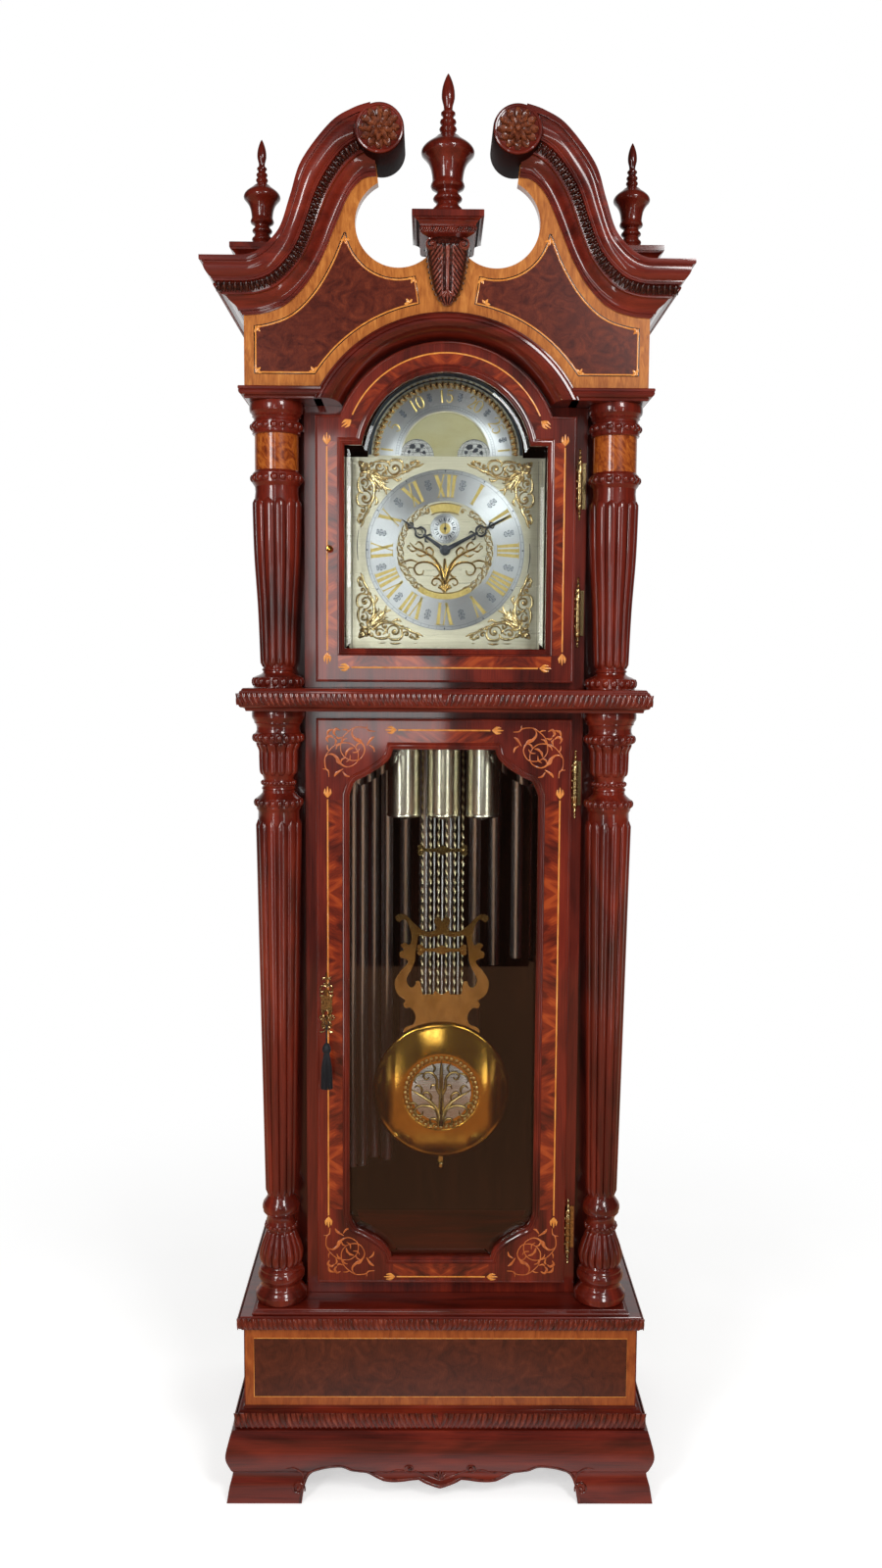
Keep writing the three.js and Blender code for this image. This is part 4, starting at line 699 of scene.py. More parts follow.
# The floor takes the shadow near the clock. Farther out it turns into the white backdrop,
# and in reflections into the room before the clock.
floorMaterial, floorTree, floorShader, floorPlace = startMaterial("pale_matt_floor", None, Roughness=0.8)
floorTone = colourBy(floorTree, noiseAt(floorTree, floorPlace, 3), (0.3, studio["floor"][0]),
                     (0.7, studio["floor"][1]))
link(floorTree, floorTone, floorShader, "Base Color")
away = addNode(floorTree, "ShaderNodeVectorMath", {0: floorPlace}, operation="LENGTH").outputs["Value"]
fade, mirrorFade = (ranged(floorTree, away, 0, 1, *studio[key], interpolation_type="SMOOTHSTEP")
                    for key in ("floorFade", "mirrorFade"))
floorSeen = addNode(floorTree, "ShaderNodeLightPath").outputs
floorY = addNode(floorTree, "ShaderNodeSeparateXYZ", {0: floorPlace}).outputs["Y"]
behind = maths(floorTree, "GREATER_THAN", floorY, studio["clockFront"])
through = maths(floorTree, "MULTIPLY", floorSeen["Is Transmission Ray"], behind)
looked = maths(floorTree, "MAXIMUM", floorSeen["Is Camera Ray"], through)
glow = maths(floorTree, "MULTIPLY", looked, studio["floorLift"])
lift = addNode(floorTree, "ShaderNodeEmission", {"Color": white, "Strength": glow})
lifted = addNode(floorTree, "ShaderNodeAddShader", {0: floorShader.outputs[0], 1: lift.outputs[0]})
distance = ranged(floorTree, floorY, 0, 1, *studio["roomDepth"])
roomFloor = colourBy(floorTree, distance, (0, studio["roomFloor"]), (1, studio["roomBack"]))
farColour = addNode(floorTree, "ShaderNodeMix", {0: looked, 6: roomFloor, 7: white}, data_type="RGBA").outputs[2]
far = addNode(floorTree, "ShaderNodeEmission", {"Color": farColour, "Strength": 1.0})
seenShare = maths(floorTree, "MULTIPLY", fade, looked)
bentRay = maths(floorTree, "MAXIMUM", floorSeen["Is Glossy Ray"], floorSeen["Is Transmission Ray"])
mirrorShare = maths(floorTree, "MULTIPLY", mirrorFade, bentRay)
farShare = maths(floorTree, "MAXIMUM", seenShare, mirrorShare)
setSurface(floorTree, addNode(floorTree, "ShaderNodeMixShader",
                              {0: farShare, 1: lifted.outputs[0], 2: far.outputs[0]}).outputs[0])
floorMesh = bpy.data.meshes.new("floor")
floorMesh.from_pydata([(-6, -4, 0), (6, -4, 0), (6, 6, 0), (-6, 6, 0)], [], [(0, 1, 2, 3)])
floorMesh.materials.append(floorMaterial)
floor = bpy.data.objects.new("floor", floorMesh)
scene.collection.objects.link(floor)
print("camera, lamps and floor set")


# Columns

trunkColumn = {"x": 281, "y": -145, "foot": 338.3, "top": 1373.7, "reeds": 12, "reedDepth": 4.2}


# A half-round reed that follows (radius, height) stations, rounded off at both ends.
def reed(stations, count, depth, fill=0.84, rounding=9, steps=26):
    path = smoothCurve(stations, steps)
    low, high = path[0][1], path[-1][1]
    rings = []
    for i, (r, z) in enumerate(path):
        end = min(min(z - low, high - z) / rounding, 1)
        swell = sqrt(max(1 - (1 - end) ** 2, 0.02))
        half = pi * r / count * fill * swell
        rings.append([(r - depth - 0.6, -half, z)] + [(r - depth + depth * swell * sin(pi * k / 6),
            -half * cos(pi * k / 6), z) for k in range(7)]
                     + [(r - depth - 0.6, half, z)])
    return loft(rings)


def trunkColumnPieces(name, x):
    c = trunkColumn
    y, z0, z1 = c["y"], c["foot"], c["top"]
    shaft0, shaft1 = z0 + 196, z1 - 185
    foot = shifted([(42, 0), (44.6, 2.5), (45.3, 8), (44.8, 13), (42, 16.5), (41.4, 17.2), (40.4, 19.5),
                    (37.5, 22.5), (36.8, 23.2), (34.6, 27), (34.2, 31), (36, 34.5), (38.4, 37), (40.4, 41),
                    (40.7, 46), (39.6, 50.5), (37.6, 53.4), (37.2, 54), (37.6, 57), (35.6, 60), (32.5, 62),
                    (30.4, 66), (31.6, 74), (33, 82), (32, 94), (27.4, 108), (22.6, 122), (22, 127), (25, 128.5),
                    (26.4, 133), (26, 138), (24.4, 141), (23.6, 146), (25, 151), (28, 155), (30.4, 158),
                    (31.2, 159), (30.8, 161), (32.4, 165), (32.4, 170), (31, 175), (27.5, 180), (24.2, 185),
                    (22.4, 189)], z=z0)
    head = shifted([(35.2, 0), (34.9, 13), (35.6, 15.5), (37.4, 18), (38, 22), (38.4, 29), (38, 36), (35, 38.5),
                    (31, 42), (27.6, 46), (27.2, 50), (28.6, 52), (28.2, 54.5), (26.4, 57), (27.2, 60), (27, 65),
                    (25.4, 68), (26, 72), (28, 76), (29, 82)], z=shaft1)
    capital = shifted([(29, -68), (31, -60), (37, -55), (40.4, -53), (40.6, -46), (40.4, -39), (38, -37),
                       (36.6, -33), (36.8, -27), (38.4, -23), (40.6, -21), (40.6, -19), (41.8, -16), (43.8, -13.6),
                       (44.6, -10), (44.6, -4), (43.6, 0)], z=z1)
    core = foot + [(22.6, shaft0)] + head + capital
    makePiece(name, turning(core, 72, (x, y, 0)), mahogany, name.replace("_turned", ""), angle=28)
    for part, form, count in (
            ("shaft_reeds", reed([(27, shaft0 - 7), (30, shaft0 + 150), (36.6, shaft1 - 150), (39.4, shaft1)],
                                 c["reeds"], c["reedDepth"]), c["reeds"]),
            ("vase_reeds", reed([(33.6, z0 + 62), (37.4, z0 + 72), (38.3, z0 + 84), (34.6, z0 + 100),
                                 (28, z0 + 116), (25.6, z0 + 125)], 16, 4.2, rounding=6), 16),
            ("capital_reeds", reed([(27, shaft1 + 74), (32, shaft1 + 80), (33.2, z1 - 80), (33.6, z1 - 68),
                                    (38, z1 - 58), (40.6, z1 - 54)], c["reeds"], 4.2, rounding=8), c["reeds"])):
        roundCopies(f"{name}_{part}", form, count, (x, y, 0), mahogany, start=180 / count)
    for part, r, z, half, count in (("capital_beads", 39.6, z1 - 46, 7.2, 20),
                                    ("collar_beads", 27, shaft1 + 62.5, 4.2, 24),
                                    ("shaft_beads", 37.6, shaft1 + 29, 7, 20),
                                    ("vase_beads", 26.2, z0 + 133.5, 4.6, 18)):
        roundCopies(f"{name}_{part}", bead(r, 0, z, 4.9 if half > 6 else 3.4, pi * r / count * 0.96, half), count,
                    (x, y, 0), mahogany, start=180 / count)


hoodColumn = {"x": 281, "y": -145, "foot": 1412.3, "top": 1879.7, "reeds": 12, "reedDepth": 4.2}


def hoodColumnPieces(name, x):
    c = hoodColumn
    y, z0, z1 = c["y"], c["foot"], c["top"]
    shaft0, shaft1 = z0 + 40, z1 - 156
    foot = shifted([(41, 0), (41.2, 3), (40.4, 17), (36, 19.5), (29, 22), (25.4, 25), (25, 27), (26.8, 28.5),
                    (26.8, 30.5), (24.6, 33), (24.4, 38)], z=z0)
    head = shifted([(37, 0), (35.7, 12), (36.4, 20), (38.4, 23), (40.4, 26), (40.4, 41), (37.6, 44), (36.4, 46)],
                   z=shaft1)
    core = foot + [(25.4, shaft0)] + head
    cap = shifted([(36.4, -52), (39, -51.5), (40.2, -50), (39.6, -48.4), (40.2, -46), (40.4, -32), (38, -29.5),
                   (37.2, -26), (38.6, -24), (40.4, -22.5), (39.6, -20.6), (41.4, -17.5), (43.8, -15), (44.6, -11),
                   (44.6, -5), (43.4, 0)], z=z1)
    makePiece(name, combine(turning(core, 72, (x, y, 0)), turning(cap, 72, (x, y, 0))), mahogany,
              name.replace("_turned", ""), angle=28)
    roundedDrum = [(36.25, shaft1 + 45.5 + (z1 - shaft1 - 97) * i / 6) for i in range(7)]
    makePiece(name + "_drum", turning(roundedDrum, 72, (x, y, 0)), drumVeneer, angle=28)
    roundCopies(name + "_shaft_reeds", reed([(29.5, shaft0 - 6), (33, shaft0 + 90), (38.8, shaft1 - 90),
                                             (41.2, shaft1)], c["reeds"], c["reedDepth"]), c["reeds"], (x, y, 0),
                mahogany, start=15)
    for part, z, half, count in (("foot_beads", z0 + 9.5, 8, 18), ("lower_beads", shaft1 + 33.5, 6.4, 18),
                                 ("upper_beads", z1 - 39, 6, 18)):
        roundCopies(f"{name}_{part}", bead(39.8, 0, z, 4.8, pi * 39.8 / count * 0.94, half), count, (x, y, 0),
                    mahogany, start=180 / count)


for side, name in leftAndRight:
    trunkColumnPieces(f"trunk_column_{name}_turned", side * trunkColumn["x"])
    hoodColumnPieces(f"hood_column_{name}_turned", side * hoodColumn["x"])
print("columns made")

# Doors: mahogany frames with crossbanding, stringing, marquetry corners and a carved sight moulding

doors = {"front": -150.5, "back": -130.5, "glass": (-142.5, -138.5), "halfWidth": 217, "veneer": 0.25,
         "stringIn": 19.5,
         "waist": {"bottom": 366, "top": 1361, "stringRun": (489, 1223), "railRun": 78},
         "waistSight": {"halfWidth": 162, "bottom": 412, "top": 1310, "flat": 88, "drop": 80},
         "hood": {"bottom": 1422, "shoulder": 1862, "centre": 1793, "radius": 189, "stringRun": (1474, 1811),
                  "rail": (157, 1446.5)},
         "hoodSight": {"halfWidth": 170, "bottom": 1477, "shoulder": 1815, "centre": 1791, "radius": 143}}
face = doors["front"] - doors["veneer"]


def waistSight(inset=0, steps=20):
    s = doors["waistSight"]
    w, f, top, bottom = s["halfWidth"] - inset, s["flat"] - inset * 0.4, s["top"] - inset, s["bottom"] + inset
    corner = smoothCurve([(f, top), (f + 5, top - 15), (f + 20, top - 30), (w - 27, top - 47), (w - 10, top - 56),
                          (w, top - s["drop"])], steps)
    right = corner + [(x, top + bottom - z) for x, z in reversed(corner)]
    return right + mirrored(right)


def archedOutline(halfWidth, bottom, shoulder, centre, radius, steps=48):
    spring = asin((shoulder - centre) / radius)
    arc = [(radius * cos(a), centre + radius * sin(a)) for a in (spring + (pi - 2 * spring) * i / steps
        for i in range(steps + 1))]
    return [(-halfWidth, bottom), (halfWidth, bottom), (halfWidth, shoulder)] + arc + [(-halfWidth, shoulder)]


def inlay(path, width=2.4):
    return stroke(path, [width, width], face - 0.05, 0.12)


# A small bellflower at the end of a string: it points along the heading.
def bellflower(x, z, heading, size=15):
    a = radians(heading)
    def local(u, v):
        return x + u * cos(a) - v * sin(a), z + u * sin(a) + v * cos(a)
    parts = [[local(-size * 0.55, 0), local(0, 0), local(size * 0.75, 0)],
             [local(-size * 0.5, 0), local(0, size * 0.3), local(size * 0.5, size * 0.28)],
             [local(-size * 0.5, 0), local(0, -size * 0.3), local(size * 0.5, -size * 0.28)]]
    return combine(*[stroke(smoothCurve(p, 8), w, face - 0.1, 0.14)
                     for p, w in zip(parts, ([1.6, size * 0.3, 0.8], [1.6, size * 0.3, 0.6],
                                             [1.6, size * 0.3, 0.6]))])


def string(x0, z0, x1, z1, reach=11):
    heading = degrees(atan2(z1 - z0, x1 - x0))
    c, s = cos(radians(heading)) * reach, sin(radians(heading)) * reach
    return combine(inlay([(x0, z0), (x1, z1)]), bellflower(x0 - c, z0 - s, heading + 180),
                   bellflower(x1 + c, z1 + s, heading))


# The marquetry corner, drawn from the door's corner inwards and mirrored about its diagonal: (in, down, width).
cornerScroll = [(100, 22), (90, 21), (86, 17), (78, 15), (66, 15.5), (55, 22.5), (46, 32), (42, 44), (42.5, 57),
                (50, 67), (61, 71.5), (73, 70), (80, 62), (82.5, 52), (78, 42.5), (68, 36), (61.5, 28.5),
                (61.5, 21), (66, 16)]
cornerSprays = [([(86, 17), (86.5, 14), (86, 11)], [2, 1.8, 0.8]),
                ([(56, 22), (51, 19.5), (45, 19.5)], [1.6, 2.6, 0.8]),
                ([(78, 42.5), (74, 37), (68, 34)], [2.6, 5, 1.2]),
                ([(41, 21), (34, 18), (30, 24.5), (34, 30)], [1, 4.4, 4.4, 1]),
                ([(34, 31), (38, 34), (44.5, 32)], [1, 3.6, 0.8]),
                ([(20, 27), (22, 21), (30, 19)], [1.5, 4.6, 1.2]),
                ([(99, 31), (93, 35), (86, 46)], [1.2, 4.8, 1]), ([(99, 57), (97, 50), (90, 45)], [1.2, 3.6, 1]),
                ([(64, 50), (57, 52), (51, 58)], [1.2, 4.4, 1]),
                ([(62, 58), (70, 57), (74, 51)], [1, 2.6, 0.8]), ([(50, 67), (44, 70), (42, 76)], [1.4, 3, 0.8]),
                ([(42, 44), (36, 47), (34, 53)], [1.4, 2.8, 0.8])]
cornerWidths = [1.2, 2.2, 2.4, 1.7, 1.6, 1.7, 1.7, 1.7, 1.7, 1.7, 1.7, 1.7, 1.7, 2, 3.2, 5, 3.4, 1.7, 1]


def marquetryCorner(side, upward):
    d = doors["waist"]
    def place(path, swap):
        points = [(b, a) if swap else (a, b) for a, b in path]
        return [(side * (doors["halfWidth"] - a), d["top"] - b if upward else d["bottom"] + b) for a, b in points]
    forms = [stroke(place(smoothCurve(cornerScroll, 72), swap), cornerWidths, face - 0.1, 0.1)
             for swap in (False, True)]
    forms += [stroke(place(smoothCurve(path, 9), swap), widths, face - 0.12, 0.1) for path, widths in cornerSprays
              for swap in (False, True)]
    return combine(*forms)


sightProfile = [(10.6, -0.6), (10.4, 1), (9.4, 1.9), (8.2, 1.5), (7.8, 2.2), (6.4, 3.6), (4.6, 3.9), (3.2, 3),
                (2.9, 2.2), (2.1, 2.8), (0.9, 2.6), (-0.3, 1), (-1.4, 0.2), (-1.5, -7.4), (-0.05, -7.5),
                (0.2, -0.6)]
beadProfile = [(-4.2, -0.4), (-4, 0.7), (-3, 1.5), (-1.6, 1.7), (-0.4, 0.9), (-0.1, -0.2), (-0.6, -0.6)]

w, d, s = doors["halfWidth"], doors["waist"], doors["waistSight"]
rim = [(-w, d["bottom"]), (w, d["bottom"]), (w, d["top"]), (-w, d["top"])]
makePiece("waist_door_slab", slab(rim, doors["front"], doors["back"], [waistSight()]), mahogany, "waist_door_frame",
          body="waist_door")
makePiece("waist_door_bead", edgeMoulding(rim, beadProfile, doors["front"]), mahogany, body="waist_door")
makePiece("waist_sight_moulding", edgeMoulding(waistSight(), sightProfile, doors["front"]), mahogany,
          body="waist_door", angle=24)

inner = s["halfWidth"] + 9
stringX = w - doors["stringIn"]
stripes = [box(side * inner, side * stringX, doors["front"] + 0.1, face, s["bottom"] + s["drop"] + 8,
               s["top"] - s["drop"] - 8) for side in (-1, 1)]
makePiece("waist_crossband_sides", combine(*stripes), crotch, body="waist_door")
rails = [box(-s["flat"] + 4, s["flat"] - 4, doors["front"] + 0.1, face, z0, z1)
         for z0, z1 in ((s["top"] + 9, d["top"] - doors["stringIn"]), (d["bottom"] + 11, s["bottom"] - 9))]
makePiece("waist_crossband_rails", combine(*rails), crotchLying, body="waist_door")
low, high = d["stringRun"]
run = d["railRun"]
strings = [string(side * stringX, low, side * stringX, high) for side in (-1, 1)]
strings += [string(-run, z, run, z) for z in (d["top"] - doors["stringIn"], d["bottom"] + 11)]
makePiece("waist_door_stringing", combine(*strings), boxwood, body="waist_door", angle=60)
makePiece("waist_door_marquetry", combine(*[marquetryCorner(side, up) for side in (-1, 1) for up in (True, False)]),
          marquetryWood, body="waist_door", angle=60)


# Bevelled glass: the front is ground back to a thin edge round the sight.
def bevelledPane(outline, bevel):
    front, back = doors["glass"]
    middle = grown(outline, -bevel)
    points, faces = loft([[(x, back, z) for x, z in outline], [(x, front + 2.2, z) for x, z in outline],
                          [(x, front, z) for x, z in middle]], caps=False)
    n = len(outline)
    for loop, start in ((outline, 0), (middle, 2 * n)):
        faces += [[i + start for i in t] for t in tessellate_polygon([[Vector((x, z, 0)) for x, z in loop]])]
    return points, faces


makePiece("waist_door_pane", bevelledPane(waistSight(0.3, 10), 13), glass, "waist_door_glass", body="waist_door",
          angle=5)

h, s = doors["hood"], doors["hoodSight"]
sight = archedOutline(s["halfWidth"], s["bottom"], s["shoulder"], s["centre"], s["radius"])
rim = archedOutline(w, h["bottom"], h["shoulder"], h["centre"], h["radius"])
makePiece("hood_door_slab", slab(rim, doors["front"], doors["back"], [sight]), mahogany, "hood_door_frame",
          body="hood_door")
makePiece("hood_door_bead", edgeMoulding(rim, beadProfile, doors["front"]), mahogany, body="hood_door")
makePiece("hood_sight_moulding", edgeMoulding(sight, sightProfile, doors["front"]), mahogany, body="hood_door",
          angle=24)
inner = s["halfWidth"] + 9
top = s["shoulder"] + 4
stripes = [box(side * inner, side * stringX, doors["front"] + 0.1, face, s["bottom"] - 9, top) for side in (-1, 1)]
makePiece("hood_crossband_sides", combine(*stripes), crotch, body="hood_door")
makePiece("hood_crossband_rail", box(-inner, inner, doors["front"] + 0.1, face, h["bottom"] + 25, s["bottom"] - 9),
          crotchLying, body="hood_door")
arc = {"outer": 170, "centre": h["centre"], "from": 18, "to": 162}
outerArc = circle(0, arc["centre"], arc["outer"], arc["from"], arc["to"], 48)
innerArc = circle(0, s["centre"], s["radius"] + 9, arc["to"], arc["from"], 48)
makePiece("hood_crossband_arch", slab(outerArc + innerArc, doors["front"] + 0.1, face), crotchLying,
          body="hood_door")
low, high = h["stringRun"]
run, level = h["rail"]
strings = [string(side * stringX, low, side * stringX, high) for side in (-1, 1)]
strings += [string(-run, level, run, level), inlay(circle(0, arc["centre"], arc["outer"], 24, 156, 60))]
strings += [bellflower(side * 164, 1849, 90 - side * 125) for side in (-1, 1)]
makePiece("hood_door_stringing", combine(*strings), boxwood, body="hood_door", angle=60)
paneOutline = archedOutline(s["halfWidth"] - 0.3, s["bottom"] + 0.3, s["shoulder"] - 0.3, s["centre"],
                            s["radius"] - 0.3)
makePiece("hood_door_pane", bevelledPane(paneOutline, 11), glass, "hood_door_glass", body="hood_door", angle=5)
print("doors made")


# Dial: gilt plate with silvered rings, gold numerals, cast spandrels and centre, moon arch and hands

dial = {"halfWidth": 165, "bottom": 1480, "shoulder": 1805, "archRadius": 132.5, "plateFront": -75,
        "plateBack": -73, "centre": 1648,
        "ring": (84, 137), "ringFront": -76.9, "numerals": (90, 128.5), "stroke": 5.4, "hair": 2.2,
        "track": (131.2, 136.2), "ornament": 113,
        "moonBase": 1807, "moonRadius": 74, "globe": (49, 29), "lunarRing": (76, 113), "lunarNumerals": (90, 111),
        "leafBand": 119,
        "secondsCentre": 1685, "secondsRadius": 25.5, "spandrelTop": (14, 5), "spandrelBottom": (14, 15)}


# A patch given in (across, outwards) millimetres, bent round a centre so that it narrows towards it.
def bent(points, centre, angle, middle, y0, y1):
    outline = []
    for across, out in points:
        a = radians(angle) - across / middle
        outline.append((out * cos(a), centre + out * sin(a)))
    return slab(outline, y0, y1)


# Roman letters as bars in (across, outwards): thick and hair strokes with serifs at both ends.
def romanBars(word):
    inner, outer = dial["numerals"]
    thick, hair = dial["stroke"], dial["hair"]
    widths = {"I": 8.2, "V": 19.5, "X": 19.5}
    at = -sum(widths[c] for c in word) / 2
    bars = []
    for letter in word:
        mid = at + widths[letter] / 2
        lean = 0 if letter == "I" else 5.8
        strokes = [(mid, mid, thick)] if letter == "I" else [(mid - lean, mid + (lean if letter == "X" else 0.8),
            thick), (mid + lean, mid - (lean if letter == "X" else 0.8), hair)]
        for top, foot, width in strokes:
            bars.append([(foot - width / 2, inner), (foot + width / 2, inner), (top + width / 2, outer),
                         (top - width / 2, outer)])
            for middle, level in ((top, outer - 0.9), (foot, inner)):
                if letter == "V" and level == inner:
                    continue
                bars.append([(middle - width / 2 - 2, level), (middle + width / 2 + 2, level),
                             (middle + width / 2 + 2, level + 0.9), (middle - width / 2 - 2, level + 0.9)])
        at += widths[letter]
    return bars


# Arabic figures as paths in shares of their width and height.
figurePaths = {
    "0": [([(0, 0.5), (0.08, 0.85), (0.5, 1), (0.92, 0.85), (1, 0.5), (0.92, 0.15), (0.5, 0), (0.08, 0.15),
            (0, 0.5)], [3.2, 2.4, 1.2, 2.4, 3.2, 2.4, 1.2, 2.4, 3.2])],
    "1": [([(0.5, 0), (0.5, 0.5), (0.5, 1)], [3, 3, 3]), ([(0.2, 0), (0.5, 0), (0.8, 0)], [1.1, 1.1, 1.1]),
          ([(0.25, 0.84), (0.4, 0.92), (0.5, 1)], [1, 1.2, 1.6])],
    "2": [([(0.06, 0.74), (0.2, 0.95), (0.55, 1), (0.9, 0.85), (0.86, 0.6), (0.5, 0.32), (0.05, 0.04)],
           [2.4, 1.8, 1.3, 2.8, 3.1, 1.8, 1.2]), ([(0.05, 0.05), (0.5, 0.05), (1, 0.05)], [2.2, 2.4, 1.8])],
    "5": [([(0.95, 0.97), (0.5, 0.97), (0.2, 0.97)], [2.2, 2.2, 1.6]),
          ([(0.2, 0.97), (0.17, 0.75), (0.14, 0.56)], [1.2, 1.2, 1.2]),
          ([(0.14, 0.56), (0.5, 0.64), (0.9, 0.5), (0.95, 0.25), (0.6, 0.02), (0.2, 0.05), (0.05, 0.2)],
           [1.2, 1.6, 2.8, 3.1, 1.5, 1.3, 2.4])]}


def figures(word, centre, angle, inner, outer, y):
    tall, wide = outer - inner, 10.5
    middle = (inner + outer) / 2
    forms = []
    for k, letter in enumerate(word):
        start = (k - len(word) / 2) * (wide + 2.6) + 1.3
        for path, widths in figurePaths[letter]:
            points = []
            for u, v in smoothCurve(path, 20):
                a = radians(angle) - (start + u * wide) / middle
                r = inner + v * tall
                points.append((r * cos(a), centre + r * sin(a)))
            forms.append(stroke(points, widths, y, 0.12))
    return combine(*forms)


def ringBand(inner, outer, centre, y0, y1, start=0, end=360, steps=96):
    outerArc, innerArc = circle(0, centre, outer, start, end, steps), circle(0, centre, inner, start, end, steps)
    if end - start == 360:
        rings = [[(x, y, z) for x, z in arc[:-1]] for arc, y in ((innerArc, y1), (innerArc, y0), (outerArc, y0),
            (outerArc, y1))]
        return loft(rings + rings[:1], caps=False)
    return slab(outerArc + innerArc[::-1], y0, y1)


# Turns brushed round a centre at a height: light fans out from the centre across them.
def brushedRound(name, slot, colour, darker, centre, rough=0.3):
    material, tree, shader, place = startMaterial(name, slot, Metallic=1, Roughness=rough, Anisotropic=0.75)
    shifts = (("ADD", (0, 0, -centre * mm)), ("MULTIPLY", (1, 0, 1)))
    flat = place
    for operation, value in shifts:
        flat = addNode(tree, "ShaderNodeVectorMath", {0: flat, 1: value}, operation=operation).outputs[0]
    radius = addNode(tree, "ShaderNodeVectorMath", {0: flat}, operation="LENGTH").outputs["Value"]
    turns = addNode(tree, "ShaderNodeTexNoise", {"W": radius, "Scale": 1600, "Detail": 2},
                    noise_dimensions="1D").outputs[0]
    link(tree, colourBy(tree, turns, (0.3, darker), (0.7, colour)), shader, "Base Color")
    link(tree, ranged(tree, turns, rough - 0.04, rough + 0.04), shader, "Roughness")
    outwards = addNode(tree, "ShaderNodeVectorMath", {0: flat}, operation="NORMALIZE").outputs[0]
    link(tree, outwards, shader, "Tangent")
    return material


# Cool silvering of the chapter ring and the moon ring, and the lighter one of the seconds ring.
chapterSilver = brushedRound("silvered_chapter_ring", "silvered", "#cfd1d3", "#b9bcc0", dial["centre"])
lunarSilver = brushedRound("silvered_moon_ring", "silvered", "#cfd1d3", "#b9bcc0", dial["moonBase"])
secondsSilver = brushedRound("silvered_seconds_ring", "silvered", "#e2e4e6", "#cfd2d5", dial["secondsCentre"])
# Bright gilt of the numerals.
gilt = metalFinish("bright_gilt", "dial_gold", "#cdb878", "#b7a05c", rough=0.34, scratch=(5, 5, 5), depth=0.0)
# Blue-grey printing of the minute track and arabesques.
greyInk = metalFinish("blue_grey_ink", "blackened", "#4c5666", "#333b48", rough=0.5, metallic=0)

half, bottom, shoulder = dial["halfWidth"], dial["bottom"], dial["shoulder"]
front, back, centre, base = dial["plateFront"], dial["plateBack"], dial["centre"], dial["moonBase"]
arch = circle(0, base, dial["archRadius"], 0, 180, 60)
plateOutline = [(-half, bottom), (half, bottom), (half, shoulder),
                (dial["archRadius"], shoulder)] + arch + [(-dial["archRadius"], shoulder), (-half, shoulder)]
globeX, globeR = dial["globe"]
meetX = (dial["moonRadius"] ** 2 - globeR ** 2 + globeX ** 2) / (2 * globeX)
meetZ = sqrt(dial["moonRadius"] ** 2 - meetX ** 2)
globeEnd, bigEnd = degrees(atan2(meetZ, meetX - globeX)), degrees(atan2(meetZ, meetX))
aperture = circle(globeX, base, globeR, 180, globeEnd, 20) + circle(0, base, dial["moonRadius"], bigEnd,
    180 - bigEnd, 48)[1:-1] + circle(-globeX, base, globeR, 180 - globeEnd, 0, 20)
makePiece("dial_plate_gilt", slab(plateOutline, front, back, [aperture]), dialGold, "dial_plate")
# A black band round the arch edge of the plate: a painted shadow of the gap behind the hood's sight.
makePiece("arch_dark_rim", slab(circle(0, base, dial["archRadius"] - 0.2, 1, 179, 60) + circle(0, base, 127, 179, 1,
    60), front - 0.4, front), ink)
lines = [stroke([(-half + 5, bottom + 5), (half - 5, bottom + 5)], [0.5, 0.5], front, 0.2)]
lines += [stroke([(s * (half - 5), bottom + 5), (s * (half - 5), shoulder - 5)], [0.5, 0.5], front, 0.2)
          for s in (-1, 1)]
slots = [stroke(smoothCurve([(-149, 1682), (-151.5, 1656), (-150, 1630)], 8), [0.8, 1.6, 0.8], front, 0.15),
         stroke(smoothCurve([(146, 1660), (147, 1636), (143, 1610)], 8), [0.8, 1.6, 0.8], front, 0.15)]
makePiece("dial_plate_lines", combine(*lines, *slots), ink, angle=60)

# Chapter ring
inner, outer = dial["ring"]
ringY = dial["ringFront"]
makePiece("chapter_ring_silvered", ringBand(inner, outer, centre, ringY, front - 0.3), chapterSilver,
          "chapter_ring", angle=20)
hours = ["XII", "I", "II", "III", "IIII", "V", "VI", "VII", "VIII", "IX", "X", "XI"]
numerals = [bent(bar, centre, 90 - 30 * k, sum(dial["numerals"]) / 2, ringY - 0.35, ringY)
            for k, word in enumerate(hours) for bar in romanBars(word)]
makePiece("hour_numerals", combine(*numerals), gilt, angle=50)
tracks = [ringBand(r - 0.22, r + 0.22, centre, ringY - 0.12, ringY) for r in dial["track"]]
makePiece("minute_track", combine(*tracks), greyInk)
tick = box(dial["track"][0], dial["track"][1], -0.12, 0, -0.22, 0.22)
faceCopies("minute_ticks", tick, 60, (0, ringY, centre), greyInk)
dot = turning([(0.1, -0.3), (1.3, -0.25), (1.3, 0)], 10, (sum(dial["track"]) / 2 + 0.6, 0, 0), "Y")
faceCopies("five_minute_dots", dot, 12, (0, ringY, centre), ink)


def arabesque(r, tall, wide):
    forms = [stroke([(r - tall / 2, 0), (r, 0), (r + tall / 2, 0)], [0.5, 1.6, 0.5], 0, 0.1)]
    for side in (-1, 1):
        for shift, reach in ((-0.3, 0.8), (0.02, 1), (0.3, 0.7)):
            z = side * wide / 2 * reach
            x = r + tall * shift
            forms.append(stroke(smoothCurve([(x - tall * 0.1, 0), (x, z * 0.9), (x + tall * 0.12, z),
                                             (x + tall * 0.12, z * 0.45), (x + tall * 0.02, z * 0.4)], 10),
                                [0.6, 1.5, 1.2, 1, 0.5], 0, 0.1))
    return combine(*forms)


faceCopies("chapter_arabesques", arabesque(dial["ornament"], 20, 10), 12, (0, ringY, centre), greyInk, start=15)


